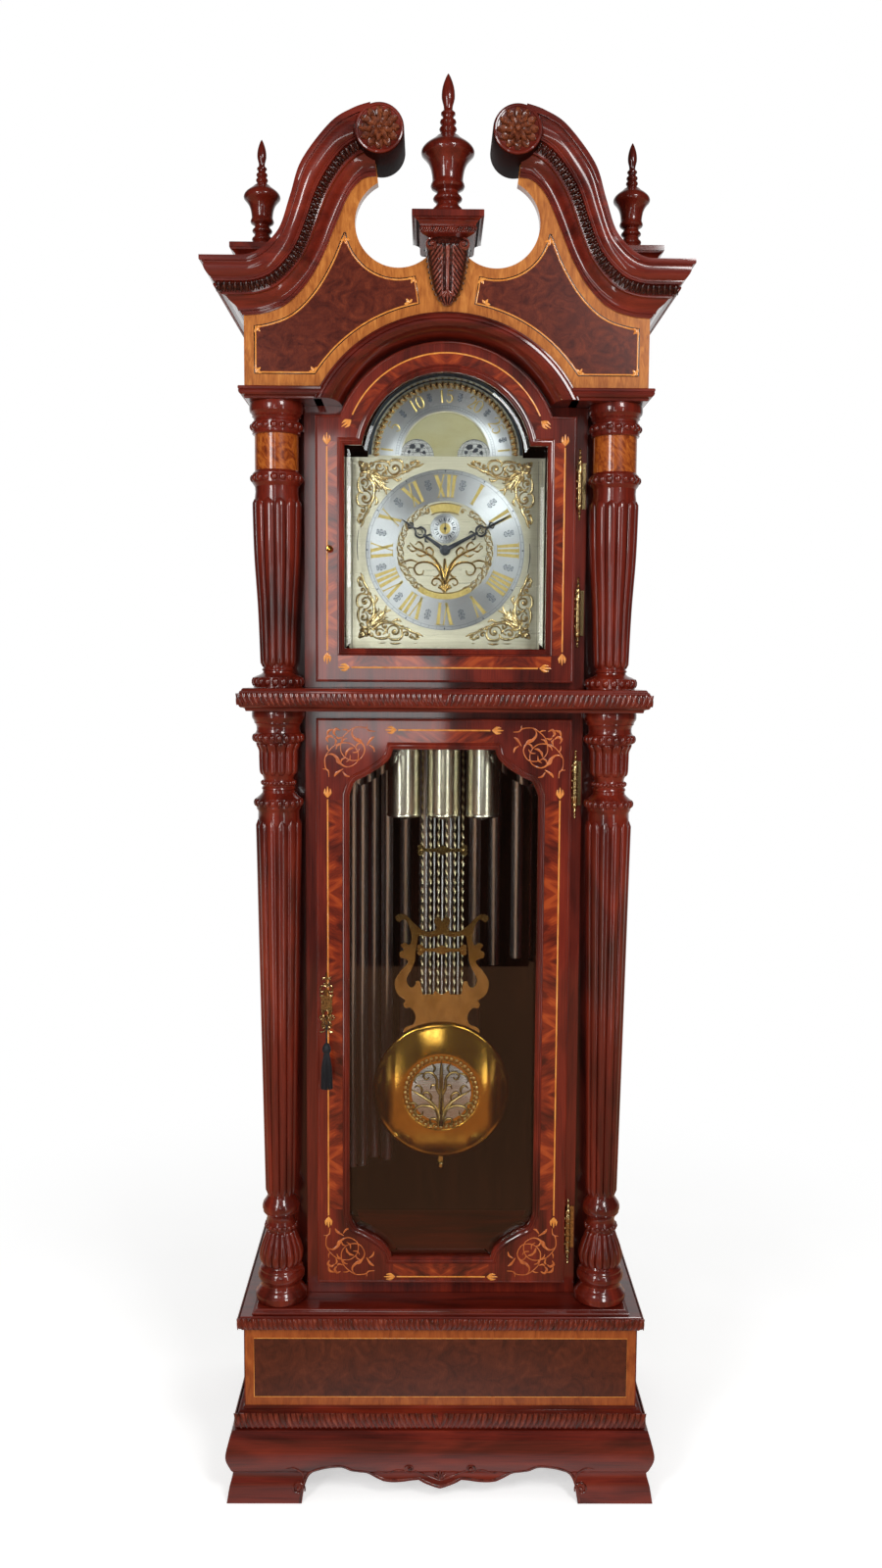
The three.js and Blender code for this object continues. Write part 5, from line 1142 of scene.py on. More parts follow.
# Cast centre: a scrolled border with two blank cartouches, and an acanthus spray under the seconds dial
def spiral(x, z, radius, start, sweep, tail=0.22, steps=18):
    path = []
    for i in range(steps + 1):
        t = i / steps
        r = radius * (1 - (1 - tail) * t)
        a = radians(start + sweep * t)
        path.append((x + r * cos(a), z + r * sin(a)))
    return path


def curl(x, z, radius, start, sweep, y, width=2.4):
    width *= 1.2
    return combine(stroke(spiral(x, z, radius, start, sweep), [width * 0.5, width, width, width * 0.8], y, 0.55),
                   moved(bead(0, 0, 0, radius * 0.3, width * 0.6, radius * 0.3, 8, 4), x, y - 0.4, z))


borderUnit = combine(curl(78.5, 5.2, 4.6, 200, -330, 0, 1.9), curl(75.8, -5, 4.4, 30, 300, 0, 1.8),
                     stroke(smoothCurve([(82.5, -9), (82, -2), (80, 3)], 8), [0.7, 2.2, 1], 0, 0.5),
                     stroke(smoothCurve([(71.5, 9), (72, 2), (75, -2)], 8), [0.7, 2, 0.8], 0, 0.5),
                     stroke([(84, 2), (86.5, 4), (88, 3)], [1.8, 1.6, 0.4], 0, 0.5))
centreY = front - 0.1
faceCopies("centre_border_left", borderUnit, 10, (0, centreY, centre), castBrass, start=117, sweep=128)
faceCopies("centre_border_right", borderUnit, 10, (0, centreY, centre), castBrass, start=-65, sweep=128)


def mirrorForms(forms):
    return forms + [mirrorX(form) for form in forms]


def sprayForms():
    def s(path, widths, steps=14, height=0.6):
        return stroke(smoothCurve(shifted(path, z=centre), steps), [v * 1.35 for v in widths], centreY, height)
    half = [s([(1.5, -50), (8, -30), (20, -13), (38, -2), (52, 4), (61, 13)], [6.5, 5, 4, 3.2, 2.6, 1]),
            s([(22, -12), (20, -2), (27, 5), (33, 1), (29, -3)], [1, 2.6, 3, 2.2, 1]),
            s([(38, -2), (38, 8), (45, 14), (51, 9)], [1, 2.8, 2.4, 0.8]),
            s([(46, 2), (56, -2), (62, 3)], [1, 2.6, 0.8]), s([(30, -7), (42, -10), (50, -6)], [1, 3, 0.8]),
            s([(4, -46), (14, -28), (30, -20), (46, -22), (53, -31), (48, -41), (39, -41), (37, -34)],
              [3, 3.4, 3, 2.8, 2.8, 2.4, 2, 1.4]), s([(44, -22), (58, -17), (74, -21)], [1.6, 2.6, 1.8]),
            s([(3, -57), (10, -49), (19, -49), (22, -56), (17, -60), (13, -56)], [2.4, 3, 2.6, 2.2, 1.8, 1]),
            s([(8, -36), (12, -44), (20, -45)], [1, 3, 0.8]), s([(54, -30), (62, -30), (66, -36)], [1, 2.4, 0.8]),
            curl(78, centre - 22, 5.4, 90, 340, centreY, 2.2), curl(62, centre + 6, 3.6, -90, 330, centreY, 1.6)]
    forms = mirrorForms(half) + [s([(0, -58), (0, -40), (0, -14)], [7, 6, 3.4])]
    forms += [s([(0, -73), (sin(radians(a)) * 5, -66), (sin(radians(a)) * 12, -66 + cos(radians(a)) * 11)],
                [1.6, 3.2, 2.4], 8) for a in (-75, -50, -25, 0, 25, 50, 75)]
    return forms


makePiece("centre_spray", combine(*sprayForms()), castBrass, angle=50)
plates = [slab(circle(0, centre, 79, 70, 110, 20) + circle(0, centre, 66, 110, 70, 20), centreY - 1, centreY),
          slab(circle(0, centre, 84.5, 236, 304, 30) + circle(0, centre, 74.5, 304, 236, 30), centreY - 1, centreY)]
makePiece("blank_cartouches", combine(*plates), gilt)
edges = [stroke(circle(0, centre, r, a, b, 30), [1.2, 2, 1.2], centreY - 0.6, 0.6)
         for r, a, b in ((80, 68, 112), (65, 68, 112), (85.6, 234, 306), (73.4, 234, 306))]
edges += [curl(cos(radians(a)) * r, centre + sin(radians(a)) * r, 5, start, 330, centreY - 0.4, 2)
          for r, a, start in ((73, 65, 0), (73, 115, 180), (79, 231, 90), (79, 309, 90))]
makePiece("cartouche_edges", combine(*edges), castBrass, angle=50)

# Seconds dial
sc, sr = dial["secondsCentre"], dial["secondsRadius"]
secondsY = front - 1.0
makePiece("seconds_dial", ringBand(9.5, sr, sc, secondsY, front - 0.05, steps=60), secondsSilver)
makePiece("seconds_centre", turning([(9.4, 0), (9.4, -0.9), (3, -0.9)], 36, (0, front, sc), "Y"), gilt)
makePiece("seconds_rims", combine(*[ringBand(r - 0.2, r + 0.2, sc, secondsY - 0.1, secondsY, steps=60)
                                    for r in (sr - 0.7, 20.5)]), greyInk)
faceCopies("seconds_ticks", box(21, 24.4, -0.1, 0, -0.25, 0.25), 60, (0, secondsY, sc), greyInk)
faceCopies("seconds_figures", combine(box(13, 18.6, -0.12, 0, -2.4, -1.5), box(13, 18.6, -0.12, 0, 0.6, 2.6),
                                      box(13, 14, -0.12, 0, -2.4, 2.6)), 12, (0, secondsY, sc), greyInk)


# Spandrels: one cast corner drawn from its own corner inwards, mirrored about its diagonal: (in, down).
spandrelCurls = [(64, 14, 12.5, 200, -400), (38, 11, 8, 20, 360), (48, 23, 5.5, 90, 330), (84, 9, 5.6, 200, -350),
                 (12, 12, 6, 45, 340), (27, 27, 5.5, 225, 330), (94, 5, 3.6, 90, 330), (20, 30, 4.6, 0, 300),
                 (50, 33, 5, 45, 330), (40, 40, 5.5, 225, 330), (77, 21, 4, 200, 330), (104, 7, 3.2, 90, 330),
                 (7, 24, 4, 0, 320)]
spandrelLeaves = [([(28, 4), (40, 1), (52, 3), (56, 10)], [1.4, 3.4, 3, 1.4]),
                  ([(52, 6), (60, -0.5), (72, 0), (78, 7), (76, 18)], [1.4, 3, 3.2, 2.6, 1.2]),
                  ([(76, 20), (86, 18), (96, 12), (107, 9), (114, 5)], [1.6, 3.6, 3, 2.4, 0.8]),
                  ([(30, 20), (42, 28), (54, 29), (66, 27), (78, 21)], [2, 4, 3.6, 3, 1.2]),
                  ([(14, 16), (22, 19), (30, 15)], [1.4, 3.6, 1.2]), ([(2, 2), (6, 10), (14, 8)], [1.4, 4, 1.4]),
                  ([(92, 4), (101, 1), (108, 4)], [1.4, 3, 0.8]),
                  ([(24, 25), (38, 36), (50, 42)], [2, 4.4, 1.2]), ([(22, 23), (34, 28), (46, 34)], [2, 3.6, 1]),
                  ([(30, 32), (46, 46), (58, 50)], [2, 4, 1]), ([(60, 30), (70, 34), (76, 30)], [1.4, 3.4, 1]),
                  ([(4, 14), (10, 20), (18, 20)], [1.4, 4, 1.2]), ([(44, 8), (50, 14), (46, 20)], [1.2, 3, 1])]


def spandrel(side, upward):
    offX, offZ = dial["spandrelTop"] if upward else dial["spandrelBottom"]
    def place(a, b):
        return side * (half - offX - a), shoulder - offZ - b if upward else bottom + offZ + b
    forms = []
    for swap in (False, True):
        for a, b, r, start, sweep in spandrelCurls:
            path = [place(q, p) if swap else place(p, q) for p, q in spiral(a, b, r, start, sweep)]
            forms.append(stroke(path, [1.6, 3.4, 3.4, 2.4], centreY, 0.5))
            x, z = place(b, a) if swap else place(a, b)
            forms.append(moved(bead(0, 0, 0, r * 0.28, 1.6, r * 0.28, 8, 4), x, centreY - 0.4, z))
        for path, widths in spandrelLeaves:
            forms.append(stroke([place(b, a) if swap else place(a, b) for a, b in smoothCurve(path, 12)],
                                [v * 1.5 for v in widths], centreY, 0.45))
    return combine(*forms)


makePiece("dial_spandrels", combine(*[spandrel(side, up) for side in (-1, 1) for up in (True, False)]), castBrass,
          angle=50)

# Moon arch
moonInner, moonOuter = dial["lunarRing"]
lunarY = front - 1.6
makePiece("moon_ring_silvered", ringBand(moonInner, moonOuter, base, lunarY, front - 0.05, 0.5, 179.5, 90),
          lunarSilver, angle=20)
low, high = dial["lunarNumerals"]
makePiece("moon_figures", combine(*[figures(word, base, angle, low, high, lunarY)
                                    for word, angle in (("5", 151), ("10", 120), ("15", 90), ("20", 60),
                                        ("25", 31))],
                                  *[bent([(-1.5, low), (1.5, low), (1.5, high), (-1.5, high)], base, a, 100,
                                         lunarY - 0.3, lunarY) for a in (174, 6)]), gilt, angle=50)
makePiece("moon_track", combine(*[ringBand(r - 0.2, r + 0.2, base, lunarY - 0.12, lunarY, 1, 179, 80)
                                  for r in (80.6, 85.2)]), greyInk)
faceCopies("moon_day_ticks", box(80.6, 85.2, -0.12, 0, -0.2, 0.2), 58, (0, lunarY, base), greyInk, start=2,
           sweep=178)
faceCopies("moon_arabesques", arabesque(101, 16, 7), 5, (0, lunarY, base), greyInk, start=16, sweep=150)
leaf = combine(curl(dial["leafBand"], 0, 4.6, 150, -330, 0, 3),
               stroke(smoothCurve([(112.5, 3.6), (119, 5.8), (125.5, 3.8)], 8), [1.2, 4.4, 1.2], 0, 0.7),
               stroke(smoothCurve([(126, -3.4), (121, -4.6), (113.5, -2)], 8), [1, 3.4, 1.2], 0, 0.7))
faceCopies("moon_leaf_band", leaf, 37, (0, front - 0.2, base), castBrass, start=3.5, sweep=178)
globes, gridLines = [], []
for side in (-1, 1):
    gx = side * globeX
    globes.append(slab(circle(gx, base, globeR, 0, 180, 28), front - 0.9, front - 0.05))
    top = front - 0.95
    for f in (0.25, 0.5, 0.75, 0.97):
        gridLines.append(stroke(circle(gx, base, globeR * f, 2, 178, 18), [0.45, 0.45], top, 0.2))
        for s in (-1, 1):
            gridLines.append(stroke([(gx + s * globeR * f * cos(radians(a)), base + globeR * sin(radians(a)) * 0.99)
                                     for a in range(0, 91, 10)], [0.45, 0.45], top, 0.2))
        gridLines.append(stroke([(gx - globeR * sqrt(1 - f * f), base + globeR * f), (gx, base + globeR * f - 1.2),
                                 (gx + globeR * sqrt(1 - f * f), base + globeR * f)], [0.4, 0.4], top, 0.2))
makePiece("moon_globes", combine(*globes), silver)
makePiece("globe_lines", combine(*gridLines), ink, angle=60)
random.seed(7)
lands = []
for side in (-1, 1):
    for lx, lz, size in ((-8, 16, 6.5), (2, 10, 5), (9, 17, 4.4), (12, 6, 4), (-14, 7, 3.6)):
        lands.append(slab([(side * globeX + lx + size * (0.65 + 0.5 * random.random()) * cos(a),
                            base + lz + size * (0.5 + 0.45 * random.random()) * sin(a))
                           for a in [2 * pi * i / 14 for i in range(14)]], front - 1.15, front - 0.9))
makePiece("globe_lands", combine(*lands), bluedSteel)


# Hands: a tapered shaft, a pierced scrolled middle and a spear tip, drawn upright and turned to the time.
hands = {"hour": {"length": 92, "turn": 305, "y": -79.5, "hub": 9},
         "minute": {"length": 128, "turn": 62, "y": -82.0, "hub": 7.5}}


def handForm(length, turnAngle, y, hub, centreZ, ornament=0.5):
    m = length * ornament
    w = 7.6
    forms = [stroke([(0, -hub * 0.6), (0, m * 0.5), (0, m)], [w * 1.2, w * 0.8, w * 0.5], 0, 0.16),
             stroke([(0, m + 20), (0, length * 0.8), (0, length)], [w * 0.45, w * 0.55, 0.5], 0, 0.16)]
    for side in (-1, 1):
        forms.append(stroke(smoothCurve([(0, m - 4), (side * 7.5, m + 1), (side * 8, m + 10), (side * 2.4, m + 14),
                                         (0, m + 22)], 16), [2, 3.4, 3.6, 2.8, 1.6], 0, 0.2))
        forms.append(stroke(smoothCurve([(side * 1, m + 2), (side * 4.5, m + 6), (side * 2.4, m + 9.5)], 8),
                            [1.2, 2.2, 0.8], 0, 0.2))
        forms.append(stroke(smoothCurve([(side * 1.6, m - 6), (side * 7, m - 10), (side * 5.4, m - 15)], 8),
                            [1.6, 3.2, 0.8], 0, 0.2))
        forms.append(stroke(smoothCurve([(side * 1, m + 22), (side * 5, m + 26), (side * 2, m + 31)], 8),
                            [1.4, 3, 0.8], 0, 0.2))
    forms.append(turning([(hub, 0), (hub, -1.2), (hub - 1.4, -1.7), (3, -1.7)], 28, (0, 0, 0), "Y"))
    points, faces = combine(*forms)
    a = radians(-turnAngle)
    return [(x * cos(a) - z * sin(a), y + py, centreZ + x * sin(a) + z * cos(a)) for x, py, z in points], faces


for name, h in hands.items():
    form = handForm(h["length"], h["turn"], h["y"], h["hub"], centre)
    post = turning([(3.4, 0.2), (3.4, 14)], 16, (0, h["y"], centre), "Y")
    makePiece(f"{name}_hand_blued", combine(form, post) if name == "hour" else form, bluedSteel, f"{name}_hand",
              body=name, angle=50)
needle = stroke([(0, sc - 7), (0, sc), (0, sc + 22)], [1.6, 1.4, 0.5], -77.6, 0.3)
makePiece("seconds_hand_blued", combine(needle, turning([(2.6, 0), (2.6, -0.9), (1, -1)], 18, (0, -77.4, sc), "Y")),
          bluedSteel, "seconds_hand", body="seconds", angle=50)
print("dial made")


# Mouldings that run across the front and back along both sides:
# section is (outwards, height), outwards from the given faces

def mitredRun(section, halfWidth, front, back=caseBack):
    corners = ((-1, True), (-1, False), (1, False), (1, True))
    rings = [[(side * (halfWidth + out), back if atBack else -(front + out), z) for out, z in section]
             for side, atBack in corners]
    return loft(rings)


# A form drawn on a flat face at y = 0 and laid over a surface y = surface(x, z).
def draped(form, surface):
    return [(x, y + surface(x, z), z) for x, y, z in form[0]], form[1]


# Carved units in rows from the middle to both corners and back along both sides.
def carvedRows(name, unit, half, front, z, pitch, material, start=0, back=caseBack - 10, angle=40):
    ahead = growMesh(name, rowTree, unit, {"Pitch": pitch * mm, "Facing": (0, 1, 0), "Material": material},
                     path=[(start, -front, z), (half - pitch * 0.55, -front, z)], angle=angle)
    aside = growMesh(name + "_side", rowTree, unit, {"Pitch": pitch * mm, "Facing": (-1, 0, 0),
        "Material": material}, path=[(half, pitch * 0.55 - front, z), (half, back, z)], angle=angle)
    work = bmesh.new()
    work.from_mesh(ahead)
    work.from_mesh(aside)
    work.to_mesh(ahead)
    work.free()
    bpy.data.meshes.remove(aside)
    shade(mirroredMesh(ahead), angle)
    return placePiece(name, ahead, "mahogany")


# A gadroon: a slanting lobe that is full at the top and curls in at the foot. X runs outwards, -Y to the viewer.
def gadroon(pitch, tall, deep, slant):
    rings = []
    for j in range(9):
        t = j / 8
        z = tall * (t - 0.5)
        half = pitch * 0.47 * (0.5 + 0.5 * sin(pi * min(t * 1.15, 1) * 0.62))
        bulge = deep * sin(pi * (0.12 + 0.76 * t)) ** 0.7
        lean = slant * (t - 0.5) + 1.4 * sin(pi * t)
        rings.append([(lean + half * cos(pi * k / 6), -bulge * sin(pi * k / 6) + 0.3, z) for k in range(7)])
    return loft(rings, closed=True)


# Pediment

pediment = {"front": 186, "thickness": 20, "halfWidth": 328, "foot": 1900.3, "neckTop": 2092, "neckHeight": 81,
            "neckReach": 45.7, "sideReach": 64,
            "archRadius": 238.3, "archCentre": 1780, "cutX": 79, "cutZ": 2157, "cutRadius": 69.5, "voluteX": 108.3,
            "voluteZ": 2286, "voluteRadius": 38.9, "voluteFront": -232,
            "blockTop": 2165, "capHeight": 40, "band": 17, "boardShare": 0.55}
p = pediment
neckBack = -p["front"] - 0.3


def neckLower(steps):
    level, x = p["neckTop"] - p["neckHeight"], p["halfWidth"]
    v, end = p["voluteX"], p["voluteZ"] - p["voluteRadius"] - 19
    return smoothCurve([(x, level), (x - 33, level + 3.5), (x - 69, level + 17.5), (x - 101, level + 49),
                        (v + 93, level + 91), (v + 72, level + 140), (v + 50, end - 29), (v + 28, end - 5),
                        (v + 6, end)], steps)


def neckUpper(steps):
    top, x = p["neckTop"], p["halfWidth"]
    v, end = p["voluteX"], p["voluteZ"] + p["voluteRadius"]
    return smoothCurve([(x, top), (x - 12, top + 1), (x - 28, top + 7), (x - 45, top + 20), (v + 155, top + 45),
                        (v + 139, top + 92), (v + 121, top + 144), (v + 77, end - 33), (v + 42, end - 11),
                        (v + 14, end - 1.5)], steps)


def neckLine(share, steps):
    return [(a[0] + (b[0] - a[0]) * share, a[1] + (b[1] - a[1]) * share)
            for a, b in zip(neckLower(steps), neckUpper(steps))]


# Board: satinwood edge to edge, with the burr field, an ebony line and stringing laid on it.
rise = neckLine(p["boardShare"], 40)
postTop = p["blockTop"] - p["capHeight"] - 0.3
postAngle = 180 + degrees(asin((p["cutZ"] - postTop) / p["cutRadius"]))
cutOut = circle(p["cutX"], p["cutZ"], p["cutRadius"], 62, -(360 - postAngle), 44)
archStart = degrees(asin((p["foot"] - p["archCentre"]) / p["archRadius"]))
rightEdge = [(p["halfWidth"], p["foot"])] + rise + cutOut
leftEdge = mirrored(rightEdge)
boardOutline = rightEdge + leftEdge + circle(0, p["archCentre"], p["archRadius"], 180 - archStart, archStart, 72)
makePiece("pediment_board_veneered", slab(boardOutline, -p["front"], -p["front"] + p["thickness"]), satinwood,
          "pediment_board")


def pedimentField(inset):
    band = p["band"] + inset
    below = []
    line = neckLower(60)
    for i in range(1, len(line) - 1):
        d = Vector((line[i + 1][0] - line[i - 1][0], line[i + 1][1] - line[i - 1][1])).normalized()
        x, z = line[i][0] + d.y * -band, line[i][1] + d.x * band
        if x < p["halfWidth"] - band and hypot(x - p["cutX"], z - p["cutZ"]) > p["cutRadius"] + band:
            below.append((x, z))
    r = p["cutRadius"] + band
    a0 = degrees(atan2(below[-1][1] - p["cutZ"], below[-1][0] - p["cutX"]))
    inner = circle(p["cutX"], p["cutZ"], r, a0, -108 + inset * 0.6, 24)
    foot = p["foot"] + 3 + band
    reach = p["archRadius"] + band
    x0 = 45 + inset
    low = circle(0, p["archCentre"], reach, degrees(acos(x0 / reach)),
                 degrees(asin((foot - p["archCentre"]) / reach)), 30)
    return [(p["halfWidth"] - band, foot), (p["halfWidth"] - band, below[0][1])] + below + inner + low


boardFace = -p["front"] - 0.25
for name, material, insets, lift in (("pediment_ebony_line", ebony, (0, 1.6), 0.05),
                                     ("pediment_stringing", boxwood, (1.6, 3.4), 0.05),
                                     ("pediment_burr_fields", burr, (3.4, None), 0)):
    outline = pedimentField(insets[0])
    if insets[1] is None:
        form = slab(outline, boardFace - lift, boardFace + 0.4)
    else:
        line = outline + outline[:1]
        form = stroke(line, [insets[1] - insets[0] + 0.3] * 2, boardFace + 0.1, 0.12)
    makePiece(name, bothSides(form), material, angle=60)


def trefoil(x, z, heading):
    forms = []
    for turnBy in (-70, 0, 70):
        a = radians(heading + turnBy)
        forms.append(stroke([(x, z), (x + 4 * cos(a), z + 4 * sin(a)), (x + 8 * cos(a), z + 8 * sin(a))],
                            [1, 4.6, 1], boardFace - 0.1, 0.1))
    return combine(*forms)


field = pedimentField(1.6)
corners = [(field[0], 135), (field[1], 225)]
apex = max(range(len(field)), key=lambda i: field[i][1])
corners.append((field[apex], 268))
ends = sorted([q for q in field if q[0] < 62], key=lambda q: q[1])
corners += [(ends[0], 60), (ends[-1], 300), (field[-1], 60)]
marks = combine(*[trefoil(q[0] + 3 * cos(radians(h)), q[1] + 3 * sin(radians(h)), h) for q, h in corners])
makePiece("pediment_trefoils", bothSides(marks), boxwood, angle=60)

# Swan necks: a moulding of two glossy ogees with a carved band between them, ending in a rosetted roll
neckProfile = [(0, 0), (1, 0), (1, 6.5), (0.985, 8), (0.93, 8.4), (0.92, 10.4), (0.9, 11.4), (0.905, 14),
               (0.9, 17.5), (0.87, 21.5), (0.83, 25), (0.785, 28.4), (0.75, 30), (0.735, 30.4), (0.735, 32.4),
               (0.705, 32.8), (0.7, 35.4), (0.66, 35.8), (0.6, 37.2), (0.545, 42), (0.5, 48), (0.475, 51.6),
               (0.5, 52), (0.5, 54), (0.45, 54.4), (0.405, 55.4), (0.37, 58), (0.33, 61), (0.27, 64), (0.2, 67),
               (0.155, 70.4), (0.135, 73.4), (0.13, 75), (0.08, 75.4), (0.07, 78), (0.045, 79), (0.04, 81), (0, 81)]


def swanNeck():
    steps = 72
    rings = [[(p["halfWidth"] + share * p["sideReach"] - 0.2, neckBack - share * p["neckReach"],
               p["neckTop"] - drop) for share, drop in neckProfile]]
    for low, high in zip(neckLower(steps), neckUpper(steps)):
        rings.append([(low[0] + (high[0] - low[0]) * (1 - drop / p["neckHeight"]),
                       neckBack - share * p["neckReach"], low[1] + (high[1] - low[1])
                       * (1 - drop / p["neckHeight"])) for share, drop in neckProfile])
    return loft(rings)


def volute():
    r, front = p["voluteRadius"], p["voluteFront"]
    outline = [(2, 1), (30, 1), (32.5, 0.4), (33.5, -0.8), (35.4, -1.2), (37.2, -0.6), (38.4, 1), (r, 3.4),
               (r, 104), (r - 1, 106.6), (2, 107)]
    outline = [(a, b + 1.2) for a, b in outline]
    return turning(outline, 64, (p["voluteX"], front, p["voluteZ"]), "Y")


neck = combine(swanNeck(), volute())


# Gives a second finish to the faces that a test picks by their centre and normal, in metres.
def secondFinish(piece, material, test):
    piece.data.materials.append(material)
    for polygon in piece.data.polygons:
        if test(polygon.center, polygon.normal):
            polygon.material_index = len(piece.data.materials) - 1


# On each neck the sides of the roll take the darker painted shade.
for side, name, form in ((1, "right", neck), (-1, "left", mirrorX(neck))):
    piece = makePiece(f"gooseneck_{name}_carved", form, mahoganyLying, f"gooseneck_{name}", angle=26)
    secondFinish(piece, mahoganyShadedSides, lambda c, n: abs(n.y) < 0.3
                 and hypot(c.x - side * p["voluteX"] * mm, c.z - p["voluteZ"] * mm) < 0.05)

egg = combine(bead(0, -2, 0.4, 3.2, 4.6, 7.4, 10, 6), bead(4.3, 0, -3.2, 0.9, 3, 3.6, 6, 4),
              bead(4.3, 0, 4.4, 0.9, 2.4, 2.4, 6, 4))
egg = [(x, y - z * 0.5, z) for x, y, z in egg[0]], egg[1]
bandShare, bandForward = 1 - 44 / p["neckHeight"], 0.565
bandY = neckBack - bandForward * p["neckReach"]
bandPath = [(x, bandY, z) for x, z in reversed(neckLine(bandShare, 60))][3:]
bandPath.append((p["halfWidth"] + bandForward * p["sideReach"] - 1, bandY, p["neckTop"] - 44))
# The egg band is painted dark as the shade in its deep carving.
rowCopies("neck_carving", egg, bandPath, 8.7, (0, 1, 0), carvedShade, mirror=True, angle=60)
sideX = p["halfWidth"] + bandForward * p["sideReach"]
sideEgg = [(x, y - z * 0.3, z) for x, y, z in egg[0]], egg[1]
returnPath = [(sideX, bandY + 5, p["neckTop"] - 44), (sideX, caseBack - 7, p["neckTop"] - 44)]
rowCopies("return_carving", sideEgg, returnPath, 8.7, (-1, 0, 0), mahogany, mirror=True, angle=60)


# A petal that points along X, seen from -Y: hollow along its middle with a raised rim.
def petal(inner, outer, wide, lift):
    rings = []
    for j in range(9):
        t = j / 8
        half = wide / 2 * sin(pi * (0.12 + 0.82 * t)) ** 0.7
        x = inner + (outer - inner) * t
        y = -lift * sin(pi * (0.1 + 0.72 * t))
        rings.append([(x, y + 2.4, -half), (x, y - 1.1, -half * 0.72), (x, y + 0.5, 0), (x, y - 1.1, half * 0.72),
                      (x, y + 2.4, half)])
    return loft(rings)


for side, name in leftAndRight:
    at = (side * p["voluteX"], p["voluteFront"] + 1.6, p["voluteZ"])
    faceCopies(f"rosette_{name}_outer", petal(14, 32, 13.5, 2.6), 12, at, rosetteWood)
    faceCopies(f"rosette_{name}_inner", moved(petal(3, 22, 9.5, 3.4), y=-3.2), 10, at, rosetteWood, start=15)
    makePiece(f"rosette_{name}_eye", moved(bead(0, 0, 0, 5, 3.6, 5, 12, 6), at[0], at[1] - 5.4, at[2]), rosetteWood)

# Top of the hood: roof, friezes, side returns and finial plinths
top = {"roofZ": 2078, "wall": 16, "outer": 329, "plinthTop": 2150, "plinthHalf": 49, "finialX": 313, "finialY": -60,
       "centreY": -150}
friezeFront = -p["front"] + p["thickness"] + 0.3


def squareRun(steps, x, y):
    rings = [[(x - r, y - r, z), (x + r, y - r, z), (x + r, y + r, z), (x - r, y + r, z)] for r, z in steps]
    return loft(rings)


def sideReturn():
    rings = [[(p["halfWidth"] + share * (p["sideReach"] - 0.3), neckBack - share * p["neckReach"] + 0.4,
               p["neckTop"] - drop) for share, drop in neckProfile],
             [(p["halfWidth"] + share * (p["sideReach"] - 0.3), caseBack, p["neckTop"] - drop)
              for share, drop in neckProfile]]
    return loft(rings)


h, z0 = top["plinthHalf"], top["plinthTop"]
plinthSteps = [(h - 17, p["neckTop"] - 1), (h - 17, z0 - 38), (h - 15.4, z0 - 37), (h - 15, z0 - 34),
               (h - 11, z0 - 32.6), (h - 10.4, z0 - 30), (h - 10.4, z0 - 23), (h - 9.4, z0 - 20),
               (h - 7.4, z0 - 16), (h - 4, z0 - 13),
               (h - 1.4, z0 - 11.4), (h - 1.2, z0 - 9), (h, z0 - 8.6), (h, z0 - 0.8), (h - 0.8, z0)]
forms = [box(-top["outer"], top["outer"], friezeFront, caseBack, top["roofZ"], p["neckTop"]),
         box(-top["outer"], top["outer"], caseBack - top["wall"], caseBack, p["foot"], top["roofZ"]),
         box(-267, 267, caseBack - top["wall"], caseBack, 1880.3, p["foot"] + 1),
         box(-16, 16, friezeFront, top["centreY"] + 60, p["neckTop"] - 1, p["blockTop"] - p["capHeight"] - 0.3)]
for side in (-1, 1):
    x0, x1 = sorted((side * (top["outer"] - top["wall"]), side * top["outer"]))
    forms.append(box(x0, x1, friezeFront, caseBack - top["wall"], p["foot"], top["roofZ"]))
    forms.append(sideReturn() if side > 0 else mirrorX(sideReturn()))
    forms.append(squareRun(plinthSteps, side * top["finialX"], top["finialY"]))
makePiece("hood_top_boards", combine(*forms), mahoganyDeep, "hood_top", angle=26)

# Finials: foot, knop, urn with a rolled lip, ringed neck and spear, in shares of radius and height
finialShape = [(0.64, 0), (0.65, 0.012), (0.64, 0.03), (0.6, 0.042), (0.52, 0.055), (0.5, 0.07), (0.55, 0.082),
               (0.57, 0.094), (0.55, 0.106), (0.48, 0.118), (0.43, 0.132), (0.42, 0.145), (0.47, 0.153),
               (0.53, 0.162), (0.55, 0.173), (0.52, 0.186), (0.45, 0.197), (0.41, 0.208), (0.42, 0.22),
               (0.5, 0.229), (0.6, 0.24), (0.64, 0.254), (0.63, 0.268), (0.6, 0.278), (0.585, 0.284), (0.585, 0.29),
               (0.57, 0.294), (0.59, 0.33), (0.635, 0.37), (0.71, 0.403), (0.82, 0.432), (0.92, 0.45),
               (0.98, 0.463), (1, 0.478), (0.985, 0.493), (0.94, 0.508), (0.86, 0.524), (0.75, 0.54), (0.62, 0.556),
               (0.5, 0.572), (0.43, 0.585), (0.34, 0.592), (0.29, 0.602), (0.27, 0.612), (0.3, 0.62), (0.33, 0.632),
               (0.31, 0.644), (0.25, 0.652), (0.24, 0.66), (0.28, 0.668), (0.31, 0.68), (0.29, 0.692), (0.22, 0.7),
               (0.2, 0.71), (0.22, 0.722), (0.27, 0.73), (0.27, 0.742), (0.21, 0.752), (0.165, 0.765),
               (0.17, 0.785), (0.21, 0.81), (0.245, 0.835), (0.25, 0.86), (0.24, 0.885), (0.21, 0.915),
               (0.16, 0.945), (0.1, 0.972), (0.05, 0.99), (0.015, 1)]
finials = {"finial_left": (-top["finialX"], top["finialY"], top["plinthTop"] + 0.3, 180, 31),
           "finial_right": (top["finialX"], top["finialY"], top["plinthTop"] + 0.3, 180, 31),
           "finial_centre": (0, top["centreY"], p["blockTop"] + 0.3, 235.7, 43.5)}
